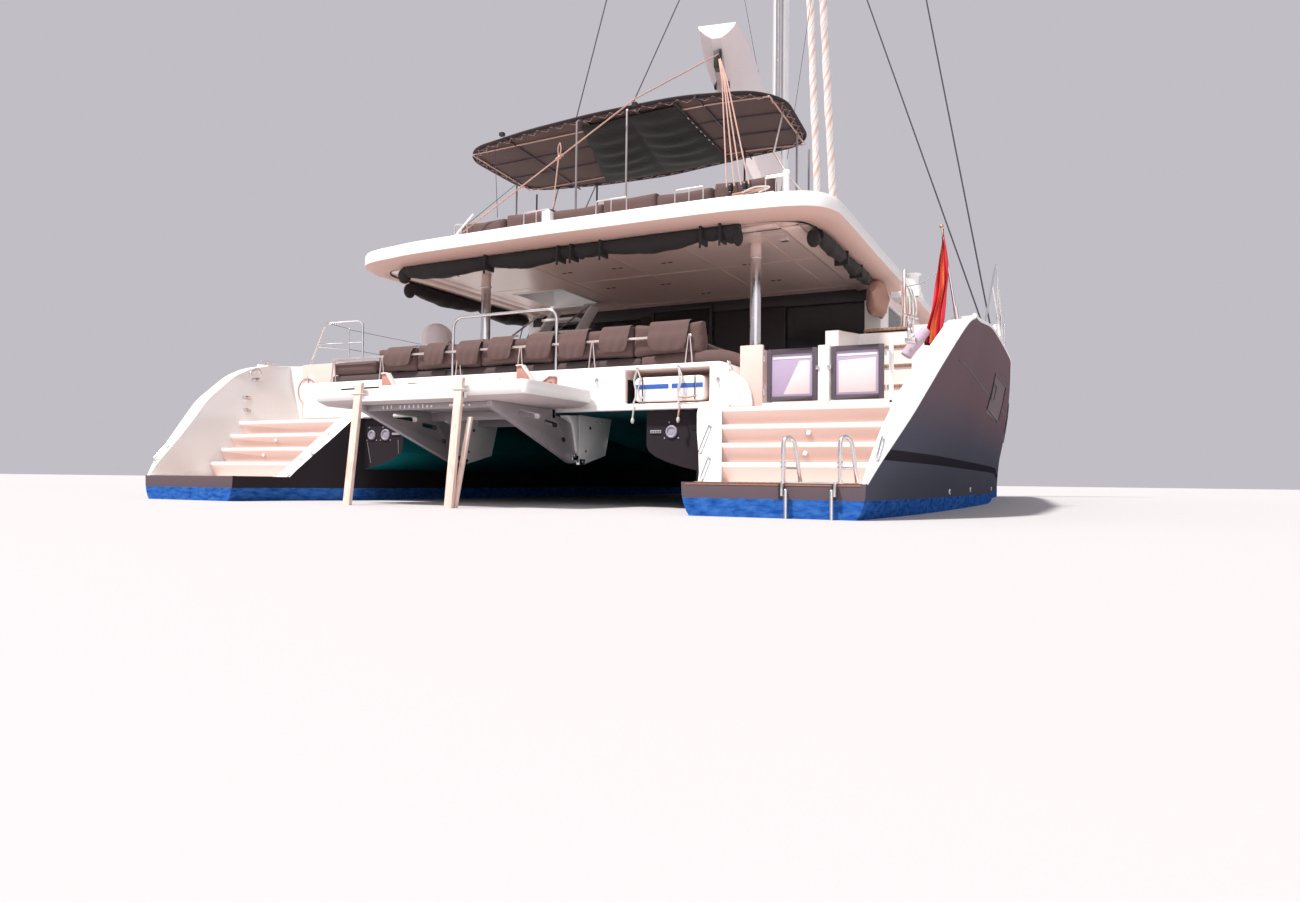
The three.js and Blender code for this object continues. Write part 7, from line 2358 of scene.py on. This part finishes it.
def add_side_rails():
    for side, sign in SIDES:
        form = Form()

        def at(x, y, z):
            return Vector((sign * x, y, z))

        posts = STANCHIONS[2:] if sign > 0 else STANCHIONS
        for y, x, z in posts:
            form.tube([at(x, y, z - 0.004), at(x, y, z + 0.70)], 0.0125, 10, 0)
            form.tube([at(x, y, z), at(x, y, z + 0.07)], 0.019, 10, 0)
            form.disc(at(x, y, z - 0.003), (0, 0, 1), 0.042, 0.012, 0)
            form.ball(at(x, y, z + 0.70), (0.015, 0.015, 0.012), 0, 6, 10)
        for lift in (0.685, 0.35):
            points = [at(x, y, z + lift) for y, x, z in posts]
            form.tube(points, 0.0045, 6, 1)
        pulpit = rounded([at(4.05, 8.10, 3.165), at(3.86, 9.33, 3.19), at(3.56, 8.70, 3.18),
                          at(3.56, 8.70, 2.53)], 0.10, 5)
        form.tube(pulpit, 0.0145, 10, 0)
        form.tube([at(3.86, 9.31, 3.188), at(3.835, 9.25, 2.52)], 0.0145, 10, 0)
        form.tube([at(4.05, 8.10, 2.83), at(3.85, 9.28, 2.86), at(3.56, 8.70, 2.86)], 0.010, 8, 0)
        if sign > 0:
            gate = [(5.09, -5.60, 2.12), (4.98, -2.89, 3.57), (4.96, -1.84, 2.99), (4.96, -1.84, 2.18)]
            form.tube(rounded([at(*q) for q in gate], 0.16, 6), 0.0145, 10, 0)
            form.tube([at(5.015, -3.78, 3.085), at(4.965, -1.84, 2.60)], 0.010, 8, 0)
            form.tube([at(4.97, -2.62, 3.40), at(4.97, -2.62, 2.18)], 0.010, 8, 0)
        else:
            stern = [(4.65, -6.84, 1.98), (4.08, -7.04, 2.62), (3.62, -6.75, 2.68), (3.62, -6.75, 2.0)]
            form.tube(rounded([at(*q) for q in stern], 0.10, 6), 0.0145, 10, 0)
            form.tube([at(4.34, -6.949, 2.33), at(3.62, -6.75, 2.35)], 0.010, 8, 0)
            form.tube([at(4.365, -6.94, 2.30), at(5.09, -5.60, 2.49)], 0.010, 8, 0)
            form.tube([at(5.09, -5.60, 2.84), at(4.08, -7.02, 2.63)], 0.0045, 6, 1)
        piece(f"deck_rails_{side}", form, ["steel", "wire"], slot="steel", replaces=[f"side_rails_{side}"])

    deck = Form()
    for sign in (1, -1):
        for x, y, z, spin in ((4.62, -7.62, 1.93, 0.25), (4.95, -4.75, 2.165, 0.0), (4.55, 3.90, 2.41, -0.05),
                              (4.02, 8.45, 2.49, -0.1)):
            along = Vector((math.sin(spin), math.cos(spin), 0))
            place = Vector((x, y, z))
            for step in (-0.06, 0.06):
                q = place + along * step
                deck.tube([(sign * q.x, q.y, z), (sign * q.x, q.y, z + 0.05)], 0.016, 8, 0)
            ends = [place + along * step + Vector((0, 0, 0.055)) for step in (-0.15, 0.15)]
            deck.tube([(sign * q.x, q.y, q.z) for q in ends], 0.016, 8, 0)
        for x, y, z in ((4.45, -3.3, 2.155), (4.40, -0.6, 2.22)):
            winch = [(sign * x, y, z + lift) for lift in (0, 0.05, 0.06, 0.15, 0.17)]
            deck.tube(winch, [0.090, 0.085, 0.062, 0.058, 0.075], 20, 0)
        for y, z in ((6.3, 2.455), (7.2, 2.475)):
            x = 3.62 + (y - 6.3) * 0.05
            low, high = sorted((sign * (x - 0.22), sign * (x + 0.22)))
            deck.box((low, y - 0.22, z), (high, y + 0.22, z + 0.035), 1)
            deck.box((low + 0.03, y - 0.19, z + 0.030), (high - 0.03, y + 0.19, z + 0.040), 2)
        low, high = sorted((sign * 0.85, sign * 1.40))
        deck.box((low, 4.30, 2.131), (high, 4.80, 2.171), 1)
        deck.box((low + 0.03, 4.33, 2.167), (high - 0.03, 4.77, 2.177), 2)
    deck.tube([(0.0, 4.75, 2.13), (0.0, 4.75, 2.30)], 0.085, 20, 0)
    deck.box((-0.14, 4.60, 2.13), (0.14, 4.92, 2.20), 0)
    piece("deck_gear", deck, ["steel", "gelcoat", "glass"], slot="steel", bevel=0.006)

    gear = Form()
    for y, lean in ((-1.15, 0.02), (-0.15, -0.02)):
        x = monotone(HULL_STATIONS, 5, y) - 0.24
        rows = [Vector((x + lean, y, z)) for z in (2.26, 2.30, 2.36, 2.86, 2.92, 2.96)]
        gear.tube(rows, [0.03, 0.085, 0.115, 0.115, 0.085, 0.03], 18, 0)
        gear.tube([rows[-1], rows[-1] + Vector((0.05, 0, 0.12))], 0.008, 6, 1)
    for k in range(5):
        gear.ring((4.80, -2.35 + 0.01 * k, 2.62 - 0.01 * k), (0.3, 1, 0.15 * k), 0.13 - 0.006 * k, 0.009, 1,
                  24, 6)
    gear.box((4.74, -2.55, 2.17), (4.90, -2.25, 2.46), 0)
    piece("deck_fenders", gear, ["fender", "rope_white"], slot="gelcoat")


def add_port_locker():
    """The hollow in the port wing with the oval white lid that hangs in it."""
    form = Form()
    form.ball((-4.42, -7.02, 1.60), (0.17, 0.045, 0.25), 0, 10, 20)
    form.ring((-4.42, -7.05, 1.60), (0, 1, 0.05), 0.20, 0.012, 1, 30, 6)
    form.tube(spline([(-4.42, -7.06, 1.84), (-4.36, -7.08, 1.62), (-4.30, -7.06, 1.30), (-4.36, -7.05, 1.10)],
                     6), 0.010, 8, 1)
    # The box behind the lid takes the pinkish painted shade of the hollow.
    form.box((-4.60, -6.995, 1.12), (-3.72, -6.96, 2.02), 2)
    piece("port_locker", form, ["plastic", "rope_warm", "blush"], slot="gelcoat", bevel=0.02)


STAFF_Y = -7.45


def add_ensign():
    staff = Form()
    staff.tube([(5.03, STAFF_Y, 1.985), (4.89, STAFF_Y, 2.90)], [0.014, 0.010], 10, 0)
    staff.ball((4.888, STAFF_Y, 2.905), (0.020, 0.020, 0.020), 1, 8, 12)
    staff.tube([(5.045, STAFF_Y, 1.90), (5.02, STAFF_Y, 2.08)], 0.022, 12, 0)
    piece("staff_pole", staff, ["steel", "bronze"], slot="steel", replaces=["ensign_staff"])
    path = [(4.905, -7.46, 2.87), (4.905, -7.475, 2.62), (4.900, -7.50, 2.35), (4.880, -7.53, 2.14),
            (4.840, -7.55, 1.92), (4.800, -7.555, 1.70)]
    line = spline(path, 8)
    rows = []
    count = 45
    for n, place in enumerate(line):
        u = n / (len(line) - 1)
        wide = lerp(0.020, 0.145, min(1, u / 0.6) ** 0.9) * (1 if u < 0.9 else lerp(1, 0.75, (u - 0.9) / 0.1))
        deep = lerp(0.012, 0.030, min(1, u * 2))
        row, other = [], []
        for k in range(count + 1):
            t = k / count
            wave_y = deep * math.sin(8 * math.pi * t + 1.2 * math.sin(3 * u))
            wave_y += 0.010 * math.sin(9 * t + 14 * u)
            sway = 0.010 * math.sin(11 * u + 5 * t)
            point = place + Vector((wide * (t - 0.5) + sway, wave_y, 0.02 * math.sin(6 * t) * u))
            row.append(point)
            other.append(point + Vector((0.0006, 0.003, 0)))
        rows.append(row + other[::-1])
    tints = [0 if k < 20 or k > 25 else 1 for k in range(count)]
    form = Form().grid(rows, tints + [0] + tints[::-1] + [0], closed=True, caps=True)
    flag = object_of(form, "ensign_cloth", [MAT["flag_red"], MAT["flag_yellow"]])
    dress(flag, slot="flag", replaces=["ensign"], sharp=80)


def add_wing_fittings():
    extras = Form()
    sleeve = spline([(4.76, -7.56, 1.84), (4.70, -7.60, 1.76), (4.63, -7.64, 1.66), (4.58, -7.66, 1.58)], 5)
    # The sleeve takes the lilac painted shade of white cloth.
    extras.tube(sleeve, [0.055] * 5 + [0.062] * 5 + [0.058] * 6, 16, 0)
    for sign in (1, -1):
        low, high = sorted((sign * 4.60, sign * 4.70))
        extras.box((low, -7.84, 1.685), (high, -7.74, 1.735), 1)
        hook = [(sign * 4.65, y, z) for y, z in ((-7.86, 1.72), (-7.90, 1.80), (-7.76, 1.88), (-7.70, 1.80))]
        extras.tube(rounded(hook, 0.04, 4), 0.018, 8, 1)
    for z in (1.42, 1.24):
        extras.box((-4.80, -7.90, z), (-4.72, -7.80, z + 0.05), 1)
    piece("wing_fittings", extras, ["lilac", "steel"], slot="steel", bevel=0.004)


def add_halyard_bundle():
    cluster = Form()
    dome = [(3.86, -3.35, z) for z in (3.12, 3.22, 3.24, 3.38, 3.40)]
    cluster.tube(dome, [0.13, 0.13, 0.10, 0.10, 0.14], 20, 0)
    cluster.box((3.60, -3.55, 3.04), (4.0, -3.15, 3.13), 0)
    cluster.tube([(3.92, -4.30, 2.16), (3.90, -4.10, 3.30)], 0.026, 12, 2)
    for k, (dx, dy, low, tint) in enumerate(((0.0, 0.03, 2.30, 1), (0.04, -0.03, 2.45, 1),
                                             (-0.04, 0.0, 2.38, 3), (0.06, 0.04, 2.62, 1))):
        top = Vector((3.90 + dx, -4.16 + dy, 3.18 - 0.05 * k))
        end = Vector((3.93 + dx * 1.6, -4.26 + dy, low))
        half = top.lerp(end, 0.5)
        loop = [top, half + Vector((0.03, 0, 0)), end, end + Vector((0.05, 0, 0.02)),
                half + Vector((0.07, 0, 0)), top + Vector((0.03, 0, 0))]
        cluster.tube(spline(loop, 6), 0.011, 8, tint)
    cluster.tube(spline([(3.94, -4.16, 3.06), (4.15, -4.9, 2.90), (4.50, -6.1, 2.66), (4.82, -7.30, 2.47)],
                        6), 0.009, 8, 1)
    cluster.tube([(3.84, -3.42, 3.20), (3.94, -3.60, 3.02), (4.04, -3.78, 2.98)], 0.012, 8, 2)
    piece("halyard_bundle", cluster, ["plastic", "rope_white", "steel", "rope_warm"], slot="gelcoat",
          bevel=0.004)


def add_floor():
    floor = object_of(Form().box((-FLOOR_REACH, -FLOOR_REACH, -0.02), (FLOOR_REACH, FLOOR_REACH, 0.0)),
                      "floor", [])
    finish = Finish("floor_pale", 0.85)
    tone = finish.mix(finish.noise(0.05, 2), (0.47, 0.455, 0.465), (0.50, 0.485, 0.495))
    floor.data.materials.append(finish.use(tone))


NODE_FINISH = {
    "antifouling": ["keel_starboard", "keel_port", "rudder_starboard", "rudder_port"],
    "bronze": ["shaft_starboard", "shaft_port", "propeller_starboard", "propeller_port"],
}


add_camera()
add_lights()
make_materials()
for material, nodes in NODE_FINISH.items():
    for node in nodes:
        repaint(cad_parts[node], material)
for add in (
    add_floor, add_hulls, add_transom_teak, add_transom_handles, add_topside_groove, add_hull_windows,
    add_vents, add_through_hulls, add_aft_beam, add_beam_fittings, add_raft_canister, add_raft_lashings,
    add_gate_leaves, add_gate_posts, add_gate_hardware, add_ladder, add_tender_platform_slab,
    add_tender_platform_teak, add_tender_arm_ends, add_tender_brackets, add_tender_chock_frames,
    add_sloping_boards, add_sofa_base, add_coaming_pads, add_back_flaps, add_dining_table, add_lounge,
    add_cabinet, add_cockpit_rails, add_posts, add_saloon_shell, add_saloon_aft_trim, add_sliding_door,
    add_side_shades, add_saloon_blind, add_bridgedeck, add_hardtop, add_curtains, add_flybridge_seats,
    add_flybridge_cushions, add_coaming_rails, add_coaming_lines, add_helm_pod, add_helm_wheel,
    add_bimini, add_mast_section, add_halyards, add_boom, add_sail_folds, add_boom_blocks, add_mainsheet,
    add_rigging, add_foredeck, add_side_rails, add_port_locker, add_ensign, add_wing_fittings,
    add_halyard_bundle,
):
    add()
